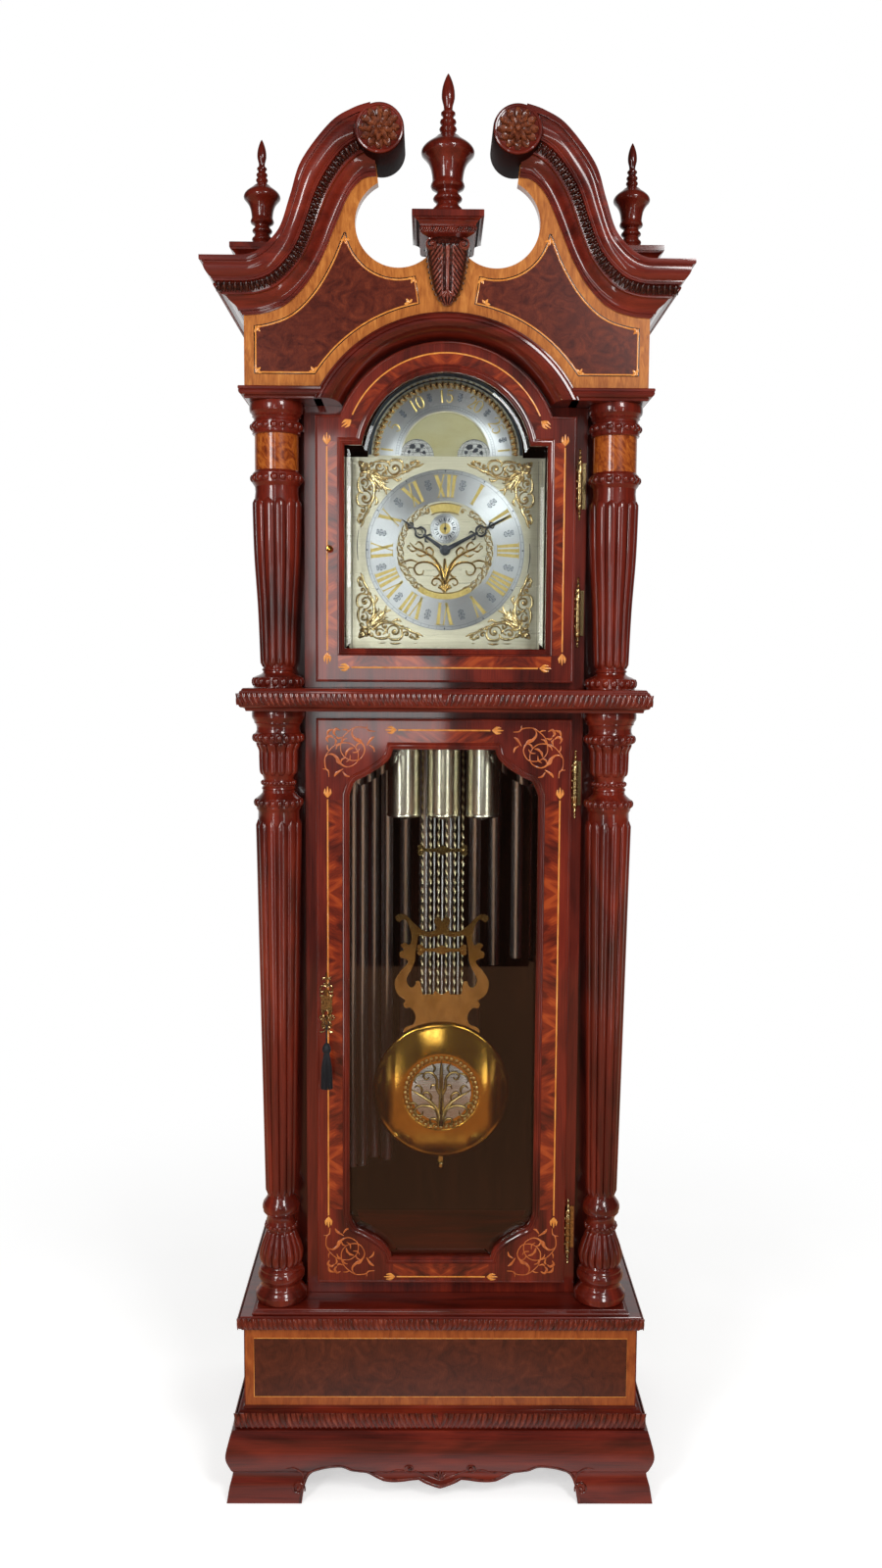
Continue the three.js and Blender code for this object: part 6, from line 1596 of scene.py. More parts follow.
for name, (x, y, z, tall, wide) in finials.items():
    makePiece(name + "_turned", turning([(r * wide, h * tall) for r, h in finialShape], 56, (x, y, z)), mahogany,
              name, angle=28)

# Centre bracket: stepped cap, rope band and a corbel carved with an acanthus leaf between two scrolls
cap = {"front": 230, "back": -80}
capBase = p["blockTop"] - p["capHeight"]


def capRing(w, level, inset):
    z, y0, y1 = capBase + level, -cap["front"] + inset, cap["back"] - inset
    return [(-w, y0, z), (w, y0, z), (w, y1, z), (-w, y1, z)]


capSteps = [(30, 0, 24), (30, 3, 24), (33, 4, 22), (40, 6.5, 16), (43, 8, 13), (43, 18, 13), (44.5, 19, 12),
            (45, 21, 11.4), (47, 24, 9.5), (50.5, 26.5, 6.4), (53, 27.6, 4), (53.4, 29, 3.6), (57, 29.6, 0.2),
            (57, 39, 0.2), (56, 40, 1.2)]
capForm = loft([capRing(*step) for step in capSteps])
corbelSteps = [(30, 5, 23), (34, -2, 30), (36, -10, 34), (35, -18, 31), (33, -28, 26), (30.5, -42, 21.5),
               (28, -54, 18.8), (25, -66, 16.4), (21, -77, 14), (16, -86, 11.5), (10, -93, 8.5), (5, -97, 6)]


def corbelAt(z):
    drop = z - capBase
    for (w0, z0, f0), (w1, z1, f1) in zip(corbelSteps, corbelSteps[1:]):
        if z1 <= drop <= z0:
            t = (z0 - drop) / (z0 - z1)
            return w0 + (w1 - w0) * t, f0 + (f1 - f0) * t
    return (corbelSteps[0][0], corbelSteps[0][2]) if drop > 0 else (corbelSteps[-1][0], corbelSteps[-1][2])


def corbelSurface(x, z):
    w, f = corbelAt(z)
    return neckBack - f * max(1 - abs(x / w) ** 2.6, 0) ** (1 / 2.6)


leaf = {"pitch": 8.6, "slope": 1.2, "barb": 3.2, "rib": 3.0, "ribHalf": 10, "lobe": 0.06}


# The leaf stands proud of the corbel: three upright ribs, and barbs that run down and outwards from them.
def leafRelief(x, z):
    w = corbelAt(z)[0]
    share, drop = min(abs(x) / w, 1), capBase - z
    if drop < 4:
        return 0
    fadeIn = min((drop - 4) / 10, 1)
    outward = min(max((abs(x) - leaf["ribHalf"] * 0.7) / 5, 0), 1)
    barbs = leaf["barb"] * abs(cos(pi * (drop - leaf["slope"] * abs(x)) / leaf["pitch"])) ** 0.7 * outward * (1
        - share ** 6)
    ribs = leaf["rib"] * abs(cos(pi * x / (leaf["ribHalf"] * min(w / 24, 1)))) ** 0.8 * (1 - outward)
    return (barbs + ribs) * fadeIn


corbelRings, around = [], 72
for j in range(121):
    z = capBase + 5 - 102 * j / 120
    ring = []
    for k in range(around + 1):
        x = corbelAt(z)[0] * (1 + leaf["lobe"] * sin(2 * pi * (capBase - z) / leaf["pitch"])) * cos(pi * k / around)
        ring.append((x, corbelSurface(max(min(x, corbelAt(z)[0]), -corbelAt(z)[0]), z) - leafRelief(x, z), z))
    corbelRings.append(ring)
# The leaf is painted with the dark shade of deep carving in its hollows.
leafPiece = makePiece("bracket_leaf", loft(corbelRings), carvedShade, "pediment_bracket", angle=40)
# The high ridges of the leaf take a lighter painted highlight.
secondFinish(leafPiece, carvedHighlight, lambda c, n: leafRelief(c.x / mm, c.z / mm) > 0.72 * leaf["barb"])
block = makePiece("pediment_bracket_block", capForm, mahogany, "pediment_bracket", angle=28)
# The sides of the cap take the darker painted shade.
secondFinish(block, mahoganyShadedSides, lambda c, n: abs(n.x) > 0.45)
leafForms = []
for side in (-1, 1):
    leafForms.append(stroke(spiral(side * 25, capBase - 10, 10.5, 90, side * -430, 0.15, 26), [3, 4.6, 4.2, 3], 0,
                            1.0))
    leafForms.append(bead(side * 25, -2.4, capBase - 10, 4, 4, 4, 12, 7))
for k in range(5):
    a = radians(-150 + 30 * k)
    leafForms.append(stroke([(0, capBase - 76), (9 * cos(a), capBase - 78 + 8 * sin(a)),
                             (13 * cos(a), capBase - 79 + 11 * sin(a))], [1.6, 4, 1.4], 0, 0.5))
# The scrolls and their eyes take the lighter painted highlight.
makePiece("bracket_carving", draped(combine(*leafForms), lambda x, z: corbelSurface(x * 0.7, z) - 2.6), carvedHighlight,
          angle=50)
rope = gadroon(4.2, 9, 2.4, 3.6)
ropeFront, ropeZ = -cap["front"] + 13, capBase + 13
rowCopies("bracket_rope", rope, [(-42.5, ropeFront, ropeZ), (42.5, ropeFront, ropeZ)], 3.6, (0, 1, 0), carvedWood,
          angle=50)
rowCopies("bracket_side_rope", rope, [(43, ropeFront + 1, ropeZ), (43, cap["back"] - 14, ropeZ)], 3.6, (-1, 0, 0),
          carvedWood, mirror=True, angle=50)

# Cornice with the flared arch round the hood door
cornice = {"bottom": 1880, "halfWidth": 337, "front": 200, "depth": 69.5, "archFront": (222, 1780),
           "archBack": (194, 1793), "rim": 238}
c, z = cornice, cornice["bottom"]
strip = shifted([(-c["depth"], 0), (-11, 0), (-9.6, 0.8), (-9.2, 3.4), (-8.6, 4.2), (-4, 5.6), (-1.4, 8),
                 (-0.6, 11), (-1.4, 13.4), (-0.2, 14), (0, 17), (-1, 18.6), (-8, 19.2), (-9, 20),
                 (-c["depth"], 20)], z=z)


def corniceStrip():
    start = 203
    rings = [[(start, -(c["front"] + out), z) for out, z in strip],
             [(c["halfWidth"] + out, -(c["front"] + out), z) for out, z in strip],
             [(c["halfWidth"] + out, caseBack, z) for out, z in strip]]
    return loft(rings)


def archFlare():
    backY = -130.8
    depth = c["front"] + backY
    section = []
    for k in range(13):
        t = k / 12
        bend = 1 - sqrt(max(1 - t * t, 0))
        section.append((c["archBack"][0] + (c["archFront"][0] - c["archBack"][0]) * bend,
                        c["archBack"][1] + (c["archFront"][1] - c["archBack"][1]) * bend,
                        backY - depth * t + (0.9 if k in (5, 9) else 0)))
    r, centreZ = c["archFront"]
    section += [(r + 3.4, centreZ, -c["front"] - 0.2), (r + 4.4, centreZ, -c["front"] + 1.2),
                (r + 5.4, centreZ, -c["front"] - 0.4), (r + 9, centreZ, -c["front"] + 0.2),
                (r + 12, centreZ, -c["front"] + 2.2), (r + 13, centreZ, -c["front"] + 4.4),
                (r + 15, centreZ, -c["front"] + 4.8), (c["rim"], centreZ, -c["front"] + 7),
                (c["rim"], centreZ, backY)]
    rings = []
    for i in range(73):
        ring = []
        for radius, centreZ, y in section:
            start = asin((c["bottom"] - centreZ) / radius)
            a = start + (pi - 2 * start) * i / 72
            ring.append((radius * cos(a), y, centreZ + radius * sin(a)))
        rings.append(ring)
    return loft(rings)


makePiece("hood_cornice_run", combine(bothSides(corniceStrip()), archFlare()), mahoganyLying, "hood_cornice",
          angle=24)
print("pediment made")


# Base: ogee bracket feet, veneered plinth and carved gadroon bands

base = {"ogeeTop": 128, "plinthTop": 338, "halfWidth": 371.5, "front": 222, "plinthHalf": 341.5, "plinthFront": 193,
        "wall": 26, "footSpan": 240, "apronRise": 63, "apronDrop": 25, "band": 15, "boardHalf": 327,
        "boardFront": 197, "boardWidth": 39}
swell = smoothCurve([(-11, 128), (-5.5, 112), (0, 84), (-7.5, 58), (-11.5, 48), (-6, 28), (-1.5, 0)], 44)
ogee = mitredRun([(-base["wall"], 0), (-base["wall"], base["ogeeTop"])] + swell, base["halfWidth"], base["front"])
f = base["footSpan"]
apronHalf = smoothCurve([(f, -2), (f - 2, 14), (f - 6, 32), (f - 14, 47), (f - 34, 58), (f - 58, base["apronRise"]),
                         (168, 62), (154, 54), (141, 51), (127, 49), (112, 42), (98, 36.5)], 44)
apronHalf += smoothCurve([(98, 36.5), (84, 35), (66, 35.6), (50, 37.6), (37, 38.6)], 14)[1:]
apronHalf += smoothCurve([(37, 38.6), (28, 34), (17, 30), (8, 27), (0, base["apronDrop"])], 14)[1:]
apron = apronHalf + mirrored(apronHalf[:-1])
ogeePiece = makePiece("bracket_base_carved", ogee, mahoganyLying, "bracket_base", angle=30)


def cutWith(piece, cutters):
    for cutter in cutters:
        tool = bpy.data.objects.new("cutter", meshFrom("cutter", cutter))
        scene.collection.objects.link(tool)
        cutting = piece.modifiers.new("cut", "BOOLEAN")
        cutting.operation = "DIFFERENCE"
        cutting.solver = "EXACT"
        cutting.object = tool
        bpy.context.view_layer.update()
        mesh = bpy.data.meshes.new_from_object(piece.evaluated_get(bpy.context.evaluated_depsgraph_get()))
        piece.modifiers.clear()
        piece.data = mesh
        bpy.data.objects.remove(tool)
    shade(piece.data, 30)


frontCut = slab([(f, -30)] + apron + [(-f, -30)], -base["front"] - 5, -base["front"] + base["wall"] + 14)
middleY, reach = (caseBack - base["front"]) / 2, (caseBack + base["front"]) / 2 - 122
sideArch = smoothCurve([(middleY - reach, -3), (middleY - reach + 14, 34), (middleY - reach + 34, 56),
                        (middleY - reach + 70, base["apronRise"])], 14)
farArch = [(2 * middleY - y, z) for y, z in reversed(sideArch)]
sideArch = [(middleY - reach, -30)] + sideArch + farArch + [(middleY + reach, -30)]
points, faces = slab(sideArch, -400, 400)
cutWith(ogeePiece, [frontCut, ([(y, x, z) for x, y, z in points], faces)])


def ogeeOut(z):
    for (o0, z0), (o1, z1) in zip(swell, swell[1:]):
        if z1 <= z <= z0:
            return o0 + (o1 - o0) * (z0 - z) / (z0 - z1)
    return swell[-1][0]


def ogeeFace(x, z):
    return -(base["front"] + ogeeOut(z)) - 0.1


edge = stroke([(x, max(z, 0.5)) for x, z in grown([(f, -30)] + apron + [(-f, -30)], 3.5)[2:-2]], [3.2, 3.2], 0,
              0.45)
scrolls = []
for side in (-1, 1):
    scrolls.append(stroke(spiral(side * 246, 25, 12, 200 if side > 0 else -20, side * -520, 0.12, 30),
                          [2.4, 3.8, 3.6, 3], 0, 0.6))
    scrolls.append(bead(side * 246, -1, 25, 3.4, 3, 3.4, 9, 5))
    scrolls.append(stroke(smoothCurve([(side * 236, 34), (side * 240, 50), (side * 254, 62), (side * 268, 60)], 12),
                          [2, 3.4, 3.2, 1], 0, 0.5))
    scrolls.append(stroke(spiral(side * 53, 61, 10.5, 250 if side > 0 else -70, side * 540, 0.12, 30),
                          [2.4, 3.6, 3.4, 2.8], 0, 0.6))
    scrolls.append(bead(side * 53, -1, 61, 3, 3, 3, 9, 5))
    scrolls.append(stroke(smoothCurve([(side * 62, 56), (side * 76, 57), (side * 92, 50), (side * 110, 56)], 14),
                          [2.6, 3, 2.4, 1], 0, 0.5))
    scrolls.append(stroke(smoothCurve([(side * 44, 56), (side * 30, 48), (side * 14, 42), (0, 38)], 12),
                          [2.6, 3, 2.6, 2], 0, 0.5))
for a in (-60, -30, 0, 30, 60):
    scrolls.append(stroke([(0, 40), (7 * sin(radians(a)), 40 + 8 * cos(radians(a))),
                           (12 * sin(radians(a)), 40 + 17 * cos(radians(a)))], [1.6, 4.4, 1.2], 0, 0.5))
makePiece("apron_carving", draped(combine(edge, *scrolls), ogeeFace), carvedWood, angle=50)

# Plinth: walls with a veneered panel, top board of three steps
b0, b1 = base["ogeeTop"] + 0.3, base["plinthTop"] - 10
plinthFoot = shifted([(-20, 0), (10, 0), (13, 0.6), (14.6, 3), (15, 6), (14.6, 18), (12, 26), (6, 30), (2, 31),
                      (1.6, 33.4), (0.5, 34), (0, 36)], z=b0)
plinthHead = shifted([(0, -27), (1.4, -25), (2, -23.4), (7, -22), (9.6, -17), (10, -12), (9, -4), (6.4, -2), (5, 0),
                      (-20, 0)], z=b1)
boardSection = shifted([(-40, -12), (-15, -12), (-15, 0), (-4, 0), (-3.4, 0.6), (-1, 1), (0, 2.6), (0.2, 4.6),
                        (-0.8, 6), (-3, 6.6), (-3.4, 7.4), (-5.4, 8), (-6, 9.2), (-7, 10), (-40, 10)], z=b1)
inner = base["boardHalf"] - base["boardWidth"]
makePiece("plinth_walls", combine(mitredRun(plinthFoot + plinthHead, base["plinthHalf"], base["plinthFront"]),
                                  mitredRun(boardSection, base["boardHalf"], base["boardFront"]),
                                  box(-inner, inner, base["boardWidth"] - base["boardFront"], caseBack, b1 - 12,
                                      b1 + 10)), mahoganyLying, "plinth", angle=28)
low, high, band = b0 + 36, b1 - 27, base["band"]
panelFace = -base["plinthFront"]
halfPanel = base["plinthHalf"] - 2
makePiece("plinth_crossband", combine(box(-halfPanel, halfPanel, panelFace - 0.2, panelFace + 0.2, low, high),
                                      *[box(*sorted((side * (base["plinthHalf"] + 0.2),
                                          side * (base["plinthHalf"] - 0.2))), -base["plinthFront"] + 2, 228, low,
                                            high) for side in (-1, 1)]),
          plinthBanding)
makePiece("plinth_field", combine(box(-halfPanel + band, halfPanel - band, panelFace - 0.35, panelFace - 0.1,
                                      low + band, high - band),
          *[box(*sorted((side * (base["plinthHalf"] + 0.35), side * base["plinthHalf"])),
                -base["plinthFront"] + 2 + band, 228 - band, low + band, high - band) for side in (-1, 1)]),
          plinthVeneer)
r = (halfPanel - band, low + band, high - band)
makePiece("plinth_stringing", stroke([(-r[0], r[1]), (r[0], r[1]), (r[0], r[2]), (-r[0], r[2]), (-r[0], r[1])],
                                     [1.5, 1.5], panelFace - 0.3, 0.12), boxwood, angle=60)
carvedRows("plinth_lower_gadroons", gadroon(9.8, 27, 3.8, 9), base["plinthHalf"] + 13.6, base["plinthFront"] + 13.6,
           b0 + 15, 9.6, carvedWood, start=5)
carvedRows("plinth_upper_gadroons", gadroon(8.8, 20, 3.4, 7), base["plinthHalf"] + 8.8, base["plinthFront"] + 8.8,
           b1 - 12, 8.6, carvedWood, start=4.5)

# Waist moulding with its own gadroon edge
waist = {"foot": 1374, "halfWidth": 344, "front": 215, "back": 215.7}
waistSection = shifted([(-128, 0), (-16, 0), (-15, 1), (-14.4, 4), (-12, 5.4), (-8, 6.4), (-6, 8), (-5.4, 10),
                        (-4, 11), (-3, 14), (-2.6, 20), (-3.4, 27), (-5, 29.6), (-6.2, 30.6), (-6.6, 33), (-9, 34),
                        (-10, 36.4), (-12, 38), (-128, 38)], z=waist["foot"])
makePiece("waist_moulding_run", mitredRun(waistSection, waist["halfWidth"], waist["front"], waist["back"]),
          mahoganyLying, "waist_moulding", angle=26)
carvedRows("waist_gadroons", gadroon(8.8, 19, 3.4, 7), waist["halfWidth"] - 3.4, waist["front"] - 3.4,
           waist["foot"] + 20, 8.6, carvedWood, start=4.5, back=212)
print("base made")


# Inside: pendulum with its lyre and pierced medallion, weights and chime tubes

pend = {"rodY": 15, "rods": 11, "pitch": 7.4, "rodFoot": 834, "rodTop": 1352, "plate": (10.2, 12.2),
        "lyreFoot": 750, "bars": (1113, 927), "pivot": 1680, "bobZ": 663, "twist": 34}
plateFace = pend["plate"][0]


def twistedBar(z0, z1, wide, thin, turn):
    rings, steps = [], round((z1 - z0) / 4)
    for i in range(steps + 1):
        z = z0 + (z1 - z0) * i / steps
        a = 2 * pi * (z - z0) / turn
        rings.append([(u * cos(a) - v * sin(a), u * sin(a) + v * cos(a), z)
                      for u, v in ((wide, 0), (wide * 0.6, thin), (-wide * 0.6, thin), (-wide, 0),
                                   (-wide * 0.6, -thin), (wide * 0.6, -thin))])
    return loft(rings)


span = (pend["rods"] - 1) / 2 * pend["pitch"]
rowPath = [(-span, pend["rodY"], 0), (span, pend["rodY"], 0)]
rowCopies("pendulum_twisted_rods", twistedBar(pend["rodFoot"], pend["rodTop"], 2.6, 0.9, pend["twist"]), rowPath,
          pend["pitch"] * 2, (0, 1, 0), rodBrass, body="pendulum", angle=60)
rowPath = [(-span + pend["pitch"], pend["rodY"], 0), (span - pend["pitch"], pend["rodY"], 0)]
rowCopies("pendulum_plain_rods", turning([(2, pend["rodFoot"]), (2, pend["rodTop"])], 14), rowPath,
          pend["pitch"] * 2, (0, 1, 0), chrome, body="pendulum", slot="brass")

# The lyre is sawn from flat plate: half outlines from its foot, mirrored.
lyreOutside = [(0, 230), (5, 238), (12, 237), (15, 229), (10, 219), (18, 212), (34, 213), (50, 225), (66, 241),
               (78, 244), (86, 237), (80, 229), (69, 234), (61, 222), (56, 200), (60, 186), (68, 190), (76, 186),
               (71, 177), (78, 172), (77, 163), (68, 160), (63, 153), (77, 136), (87, 116), (82, 94), (68, 82),
               (71, 75), (67, 67), (59, 68), (51, 60), (48, 48), (53, 36), (66, 31), (71, 22), (66, 12), (52, 6),
               (26, 1), (0, 0)]
lyreInside = [(0, 206), (20, 201), (42, 204), (46, 190), (49, 172), (50, 156), (57, 139), (65, 123), (62, 110),
              (55, 106), (49, 111), (47, 118), (40, 116), (37, 98), (30, 87), (21, 86), (17, 92), (12, 100),
              (7, 96), (0, 93)]
outside, inside = smoothCurve(lyreOutside, 150), smoothCurve(lyreInside, 76)
foot = pend["lyreFoot"]
lyre = shifted(outside + mirrored(outside[1:-1]), z=foot)
opening = shifted(inside + mirrored(inside[1:-1]), z=foot)
lyreForm = slab(lyre, *pend["plate"], [opening])
barHalf = smoothCurve([(0, 9.5), (6, 6), (14, 3.4), (27, 3.2), (33, 4), (36, 9), (42, 10), (46, 6), (44, 1.6),
                       (48, 0)], 40)
bars = []
for z in pend["bars"]:
    top = [(x, z + h) for x, h in barHalf]
    loop = top + [(x, 2 * z - h) for x, h in reversed(top[:-1])]
    bars.append(slab(loop + [(-x, h) for x, h in reversed(loop[1:-1])], plateFace - 0.3, plateFace + 1.7))
    bars += [turning([(0.3, 0), (1.6, 0.5), (1.9, 1.2)], 12, (side * 38, plateFace - 1.4, z), "Y")
             for side in (-1, 1)]
w = span + pend["pitch"]
rivets = [turning([(0.3, 0), (1.6, 0.5), (1.9, 1.2)], 12, (x, plateFace - 1.2, foot + 30), "Y") for x in (-30, 30)]
head = [box(-w, w, plateFace, 18.5, 1326, 1353), box(-w, w, plateFace + 1, 17, 833, 843),
        box(-4, 4, 13.5, 16.5, 1351, pend["pivot"]), turning([(4, -3), (4, 3)], 20,
            (0, pend["rodY"], pend["pivot"]), "Y")]
tail = [box(-4, 4, *pend["plate"], 514, foot + 6), turning([(3, 512), (6.5, 513), (8, 515), (8, 521), (6.5, 523),
    (3, 524)], 24, (0, sum(pend["plate"]) / 2, 0))]
makePiece("pendulum_frame", combine(lyreForm, *bars, *rivets, *head, *tail), palePolish, "pendulum_rod",
          body="pendulum", angle=30, bevel=0.25)

bobZ = pend["bobZ"]
bobProfile = [(0.5, 9.9), (107, 9.9), (122, 8.4), (126, 6), (127, 3.9), (126.4, 2), (125, 0.9), (122, 0.6),
              (116, -0.9), (106, -3.2), (95, -5.8), (85, -8), (78, -9.4), (74, -10.1), (71.5, -10.2), (70.4, -9.6),
              (69.9, -8.1), (40, -8), (0.5, -8)]
makePiece("pendulum_bob_disc", turning(bobProfile, 128, (0, 0, bobZ), "Y"), brass, "pendulum_bob", body="pendulum",
          angle=40)
makePiece("medallion_ground", turning([(0.5, -8.05), (68, -8.05), (69, -7.6)], 64, (0, 0, bobZ), "Y"), silver,
          body="pendulum")
medalY = -8.1


def medal(path, widths, steps=14, height=0.55):
    return stroke(smoothCurve(shifted(path, z=bobZ), steps), [v * 1.3 for v in widths], medalY, height)


halfMedal = [medal([(2, -56), (7, -36), (18, -20), (34, -8), (46, -1), (56, 6)], [7, 6, 5, 4.4, 3.4, 1.2]),
             medal([(20, -18), (18, -8), (26, 0), (33, -3), (30, -9)], [1.4, 3.4, 4, 3, 1.4]),
             medal([(38, -6), (36, 6), (43, 13), (50, 8)], [1.4, 3.8, 3.4, 1]),
             medal([(3, -44), (13, -30), (28, -25), (42, -27), (49, -35), (44, -44), (35, -43), (34, -36)],
                   [4, 4.6, 4, 3.8, 3.8, 3.2, 2.8, 2]), medal([(42, -26), (52, -20), (61, -22)], [2, 3.6, 1.4]),
             medal([(2, -4), (8, 8), (8, 24), (16, 36), (28, 38), (33, 30), (27, 24), (22, 29)],
                   [4.6, 4.2, 3.8, 4, 3.6, 3.2, 2.8, 2]), medal([(16, 36), (12, 46), (18, 55)], [1.6, 3.6, 1.2]),
             medal([(30, 36), (42, 34), (50, 24), (46, 17)], [1.6, 3.6, 3.2, 1.2]),
             medal([(5, -58), (12, -50), (20, -52), (19, -60), (13, -60)], [2.6, 3.8, 3.2, 2.4, 1.4]),
             medal([(6, 12), (16, 14), (20, 6)], [1.4, 3.6, 1.2])]
makePiece("medallion_tracery", combine(*mirrorForms(halfMedal),
                                       medal([(0, -63), (0, -30), (0, 4), (0, 40), (0, 58)], [9, 8, 6, 5, 1.6])),
          medalBrass, body="pendulum", angle=50)
medalUnit = combine(bead(66.4, -1, 0, 2.6, 2, 3.8, 8, 5), bead(61.8, -0.7, 2.8, 2.2, 1.5, 1.5, 7, 4),
                    stroke(smoothCurve([(63.5, -4), (60.5, -1.4), (62, 1.6)], 6), [1, 2.4, 0.8], 0, 0.6))
faceCopies("medallion_border", medalUnit, 44, (0, medalY, bobZ), medalBrass, body="pendulum")

# Weights: drawn shells with rolled rims, capped and hung from pulleys
weightAt = {"y": -45, "pitch": 70.5, "foot": 1182, "top": 1412, "pulley": 1446}
shell = [(0.6, -6), (4, -5.4), (6, -4.2), (10, -2.4), (20, -0.6), (24, 0), (27.4, 0), (29.4, 1.2), (30.4, 3),
         (30, 5.2), (29, 6.6), (29.2, 9), (29.2, 221), (29, 223.4), (30, 224.8), (30.3, 227), (29.4, 228.8),
         (27.4, 230), (24, 230), (8, 232), (4, 234), (3, 237), (3, 252)]
pulleyWheel = [(3, -6.4), (4.4, -6.2), (4.6, -5), (12.5, -5), (13, -4.6), (15.6, -5), (16, -4), (13.2, -1.2),
               (13.2, 1.2), (16, 4), (15.6, 5), (13, 4.6), (12.5, 5), (4.6, 5), (4.4, 6.2), (3, 6.4)]
for k, name in ((-1, "left"), (0, "centre"), (1, "right")):
    x, y = k * weightAt["pitch"], weightAt["y"]
    makePiece(f"weight_{name}_shell", turning(shell, 56, (x, y, weightAt["foot"])), shellBrass, f"weight_{name}",
              body=f"{name}_weight", angle=35)
    yoke = [box(x - 2.2, x + 2.2, y + s * 7.2 - 0.8, y + s * 7.2 + 0.8, weightAt["top"] + 18,
                weightAt["pulley"] + 4)
            for s in (-1, 1)]
    yoke.append(box(x - 2.2, x + 2.2, y - 8, y + 8, weightAt["top"] + 16, weightAt["top"] + 18.4))
    makePiece(f"weight_{name}_pulley", combine(turning(pulleyWheel, 36, (x, y, weightAt["pulley"]), "Y"), *yoke),
              brass, body=f"{name}_weight", angle=35)

# Chime tubes: chromed, open at the foot, each under its peg of the rack
tubes = {"top": 1700, "radius": 11, "bore": 9.4, "rows": (94, 122),
         "centres": (-152, -130, -104, -70, -32, 14, 62, 100, 142),
         "feet": (485, 491, 497, 540, 590, 645, 700, 874, 894)}
for k, (x, z0) in enumerate(zip(tubes["centres"], tubes["feet"])):
    r, b, top = tubes["radius"], tubes["bore"], tubes["top"]
    profile = [(b, top - 12), (b, z0 + 0.4), (b + 0.4, z0), (r - 0.4, z0), (r, z0 + 0.6), (r, top - 14),
               (r + 0.5, top - 13), (r + 0.5, top - 3), (r - 0.6, top - 0.8), (r - 2.4, top), (0.5, top),
               (0.5, top - 12)]
    rings = turning(profile, 32, (x, tubes["rows"][k % 2], 0))
    makePiece(f"chime_tube_{k + 1}_chromed", loft([rings[0][i * 32:(i + 1) * 32]
        for i in range(len(profile))] + [rings[0][:32]], caps=False), chrome, f"chime_tube_{k + 1}", angle=35)
pin = combine(turning([(0.4, 0), (5.6, 0.6), (6, 2), (5.6, 3.4)], 16, (0, 205.5, 444), "Y"),
              box(-1.6, 1.6, 205.8, 215.8, 430, 444), box(-5, 5, 206, 208, 442.4, 446))
makePiece("beat_pointer", pin, brass, bevel=0.3)
print("inside works made")


# Fittings: hinges with ball finials, escutcheon, key, silk tassel and hood knob

fittings = {"hingeX": 222.5, "hingeY": -152, "hinges": {"waist_hinge_lower": 461, "waist_hinge_upper": 1251,
    "hood_hinge_lower": 1540, "hood_hinge_upper": 1751},
            "keyX": -198, "keyZ": 848, "escutcheonX": -200, "escutcheonFoot": 815, "bow": (9, 4),
            "tasselTop": 837.5, "tasselY": -178.5, "threads": 30}
halfHinge = [(4.5, 0), (4.6, 4.6), (3.7, 5.4), (3.7, 6.6), (4.6, 7.4), (4.6, 15.4), (3.7, 16.4), (3.7, 17.6),
             (4.6, 18.6), (4.6, 31), (3.8, 32.4), (4.5, 34), (4.6, 37), (3.6, 40.4), (1.9, 42), (2.4, 43.4),
             (3.3, 46), (2.5, 48.6), (1.2, 50), (1.9, 51.4), (1.8, 52.6), (0.9, 53.6), (1.9, 54.6), (2.4, 56.2),
             (1.8, 57.8), (0.5, 59)]
hingeProfile = [(r, -z) for r, z in reversed(halfHinge[1:])] + halfHinge
hx, hy = fittings["hingeX"], fittings["hingeY"]
for node, level in fittings["hinges"].items():
    leaf = [box(hx - 1, hx + 1.4, hy, -130.3, level - 38, level + 38),
            box(hx - 1, 235, -132.3, -130.3, level - 38, level + 38)]
    knobs = [bead(hx - 4.6, hy + 1, level + d, 2.1, 2.1, 2.4, 10, 6) for d in (-23, -6, 6, 23)]
    knobs += [bead(hx - 3.4, hy + 1.2, level + d, 1.4, 1.4, 3.6, 8, 6) for d in (-31, -14.5, 14.5, 31)]
    makePiece(f"{node}_cast", combine(turning(hingeProfile, 28, (hx, hy, level)), *leaf, *knobs), agedBrass, node,
              body=bodyOf[node], angle=35)

# Escutcheon: a pierced plate with a fleur at its head and scrolls at its foot
ex, ez, ey = fittings["escutcheonX"], fittings["escutcheonFoot"], face - 0.6
arch = shifted(smoothCurve([(-4.6, 24), (-4.6, 36), (0, 42), (4.6, 36), (4.6, 24)], 20), ex, ez)
plateHalf = smoothCurve([(0, 7), (4, 12), (6, 20), (9.4, 25), (8, 33), (9.8, 44), (9, 56), (10, 66), (5, 69),
                         (0, 66)], 40)
plateLoop = shifted(plateHalf + mirrored(plateHalf[1:-1]), ex, ez)


def lock(path, widths, height=0.6, steps=12):
    return stroke(smoothCurve(shifted(path, ex, ez), steps), widths, ey - 0.6, height)


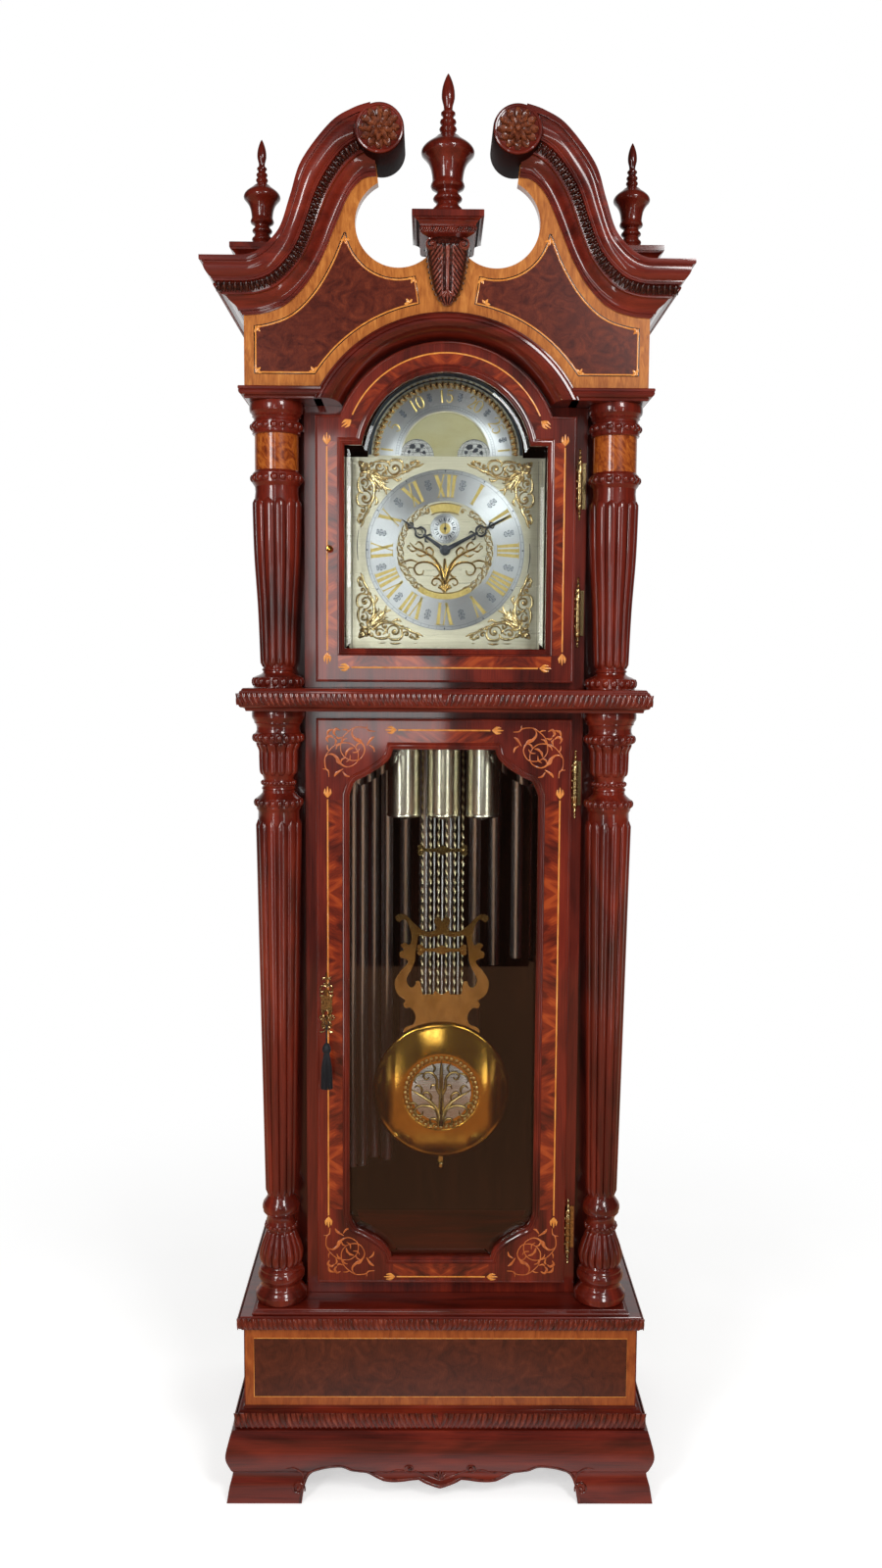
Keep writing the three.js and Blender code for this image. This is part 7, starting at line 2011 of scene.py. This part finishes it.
plateForms = [slab(plateLoop, ey - 1, face, [arch]), stroke([(ex, ez + 94), (ex, ez + 102), (ex, ez + 109)],
    [3, 4.4, 0.8], ey, 0.6), stroke([(ex, ez + 66), (ex, ez + 80), (ex, ez + 94)], [4, 2.4, 3], ey, 0.6),
              stroke(arch, [1.2, 1.2], ey - 0.6, 0.6)]
for side in (-1, 1):
    plateForms += [lock([(0, 94), (side * 3, 98), (side * 6, 99), (side * 6.6, 95)], [1.4, 2.6, 2.6, 1.6]),
                   lock([(side * 1, 84), (side * 8, 85), (side * 10.4, 78), (side * 6, 74), (side * 4, 78)],
                        [1.6, 2.8, 2.8, 2.4, 1.6]),
                   lock([(side * 2, 78), (side * 4, 71), (side * 9, 67), (side * 10.6, 72)], [1.6, 2.4, 2.6, 1.8]),
                   lock([(side * 4, 22), (side * 8, 17), (side * 6, 11), (side * 3, 14)], [2, 3, 3, 1.8]),
                   lock([(side * 1, 11), (side * 5, 5), (side * 10, 3)], [2.4, 3, 2]),
                   lock([(side * 2, 86), (side * 4.6, 89)], [1.8, 2.6], steps=4)]
    plateForms += [bead(ex + side * x, ey - 0.6, ez + z, 1.7, 1.3, 1.7, 8, 5)
                   for x, z in ((6.4, 97), (3.6, 89), (9.8, 74), (10.4, 68), (6.2, 13.6), (10, 3.4), (8.4, 40),
                                (8.4, 56))]
makePiece("key_escutcheon", combine(*plateForms), agedBrass, body="waist_door", angle=40)

kx, kz = fittings["keyX"], fittings["keyZ"]
ring, breadth = fittings["bow"]
ringY = doors["front"] - 19 - ring
shankForm = turning([(2.2, -136.5), (2.6, -137), (2.6, -164), (3.4, -164.6), (3.4, -166.4), (2.6, -167),
                     (3.6, -168), (3.6, -171), (2.6, -171.5)], 20, (kx, 0, kz), "Y")
bowRings = []
for j in range(28):
    a = 2 * pi * j / 28
    c = Vector((kx, ringY - (ring - breadth / 2) * cos(a), kz + (ring - breadth / 2) * sin(a)))
    out = Vector((0, -cos(a), sin(a)))
    bowRings.append([tuple(c + out * (breadth / 2 * cos(b)) + Vector((1.6 * sin(b), 0, 0)))
                     for b in [2 * pi * i / 10 for i in range(10)]])
wings = [stroke(smoothCurve([(kx + s * 2, kz), (kx + s * 7, kz + 4), (kx + s * 12, kz + 2.4),
                             (kx + s * 10, kz - 2.4), (kx + s * 5, kz - 1)], 14), [2, 2.6, 2.8, 2.4, 1.4], -168,
                0.7) for s in (-1, 1)]
makePiece("door_key_cast", combine(shankForm, loft(bowRings + bowRings[:1], caps=False), *wings,
                                   *[bead(kx + s * 12.4, -169.5, kz + 1, 1.6, 1.6, 1.6, 8, 5) for s in (-1, 1)]),
          agedBrass, "door_key", body="key", angle=40)

# Tassel: a corded loop, a bound head and a skirt of separate threads
tTop, tY = fittings["tasselTop"], fittings["tasselY"]
cordLoop = []
for j in range(24):
    a = 2 * pi * j / 24
    c = Vector((kx + 3.65 * cos(a), tY, tTop + 3.6 + 3.65 * sin(a)))
    cordLoop.append([tuple(c + Vector((cos(a), 0, sin(a))) * (0.75 * cos(b)) + Vector((0, 0.9 * sin(b), 0)))
                     for b in [2 * pi * i / 8 for i in range(8)]])
tasselHead = turning([(1.4, 0), (1.5, -30.4), (3.4, -31.4), (5.4, -34.1), (7.3, -38.6), (7.4, -43), (6.2, -46.8),
                      (4.8, -48.4), (5.3, -49.2), (4.8, -50), (5.3, -50.8), (4.8, -51.6), (4.4, -53)], 30,
                     (kx, tY, tTop))


# One strand of the skirt: it starts at an angle about the middle and passes
# through the given radii on its way down.
def strandForm(angle, radii):
    rings = []
    for j, r in enumerate(radii):
        wave = angle + 0.05 * sin(j * 2.1 + angle)
        x, y, z = r * cos(wave), r * sin(angle), -51 - 59 * j / 6
        rings.append([(x + 0.62 * cos(b), y + 0.62 * sin(b), z) for b in (0, 1.257, 2.513, 3.77, 5.027)])
    return loft(rings)


strand = combine(strandForm(0, (4.6, 6.6, 8, 8.8, 9.2, 9.5, 9.8)), strandForm(0.1, (3.2, 5, 6.4, 7.2, 7.6, 8, 8.2)),
                 strandForm(-0.08, (1.4, 3, 4, 5, 5.6, 6, 6.4)))
makePiece("tassel_head", combine(loft(cordLoop + cordLoop[:1], caps=False), tasselHead), silk, "key_tassel",
          body="tassel", angle=50)
roundCopies("tassel_skirt", strand, fittings["threads"], (kx, tY, tTop), silk, body="tassel", angle=80)

knobY = doors["front"] - 0.3
makePiece("hood_knob_turned", turning([(4, 0), (4, -0.8), (3, -1.6), (2.2, -3), (2.4, -5.6), (4, -7), (5.2, -9),
                                       (5.7, -11), (5.2, -13), (3.8, -14.6), (2, -15)], 32, (-193, knobY, 1643),
                                      "Y"), brass, "hood_door_knob", body="hood_door")
print("fittings made")


# Nodes that keep their plain form get softened edges and their finish, and the small ones inside the finish alone.
for node in ("back_panel", "trunk_side_left", "trunk_side_right", "trunk_front_frame", "hood_side_left",
             "hood_side_right",
             "hood_front_frame", "seat_board", "tube_rack"):
    refine(node, stained if node in ("back_panel", "seat_board", "tube_rack") else mahogany)
bright = {"movement": brass, "moon_disc": moonGold, "cable_left": bluedSteel, "cable_centre": bluedSteel,
          "cable_right": bluedSteel}
for node, material in bright.items():
    for slot in frame["nodes"][node].material_slots:
        slot.material = material
print("plain nodes dressed")
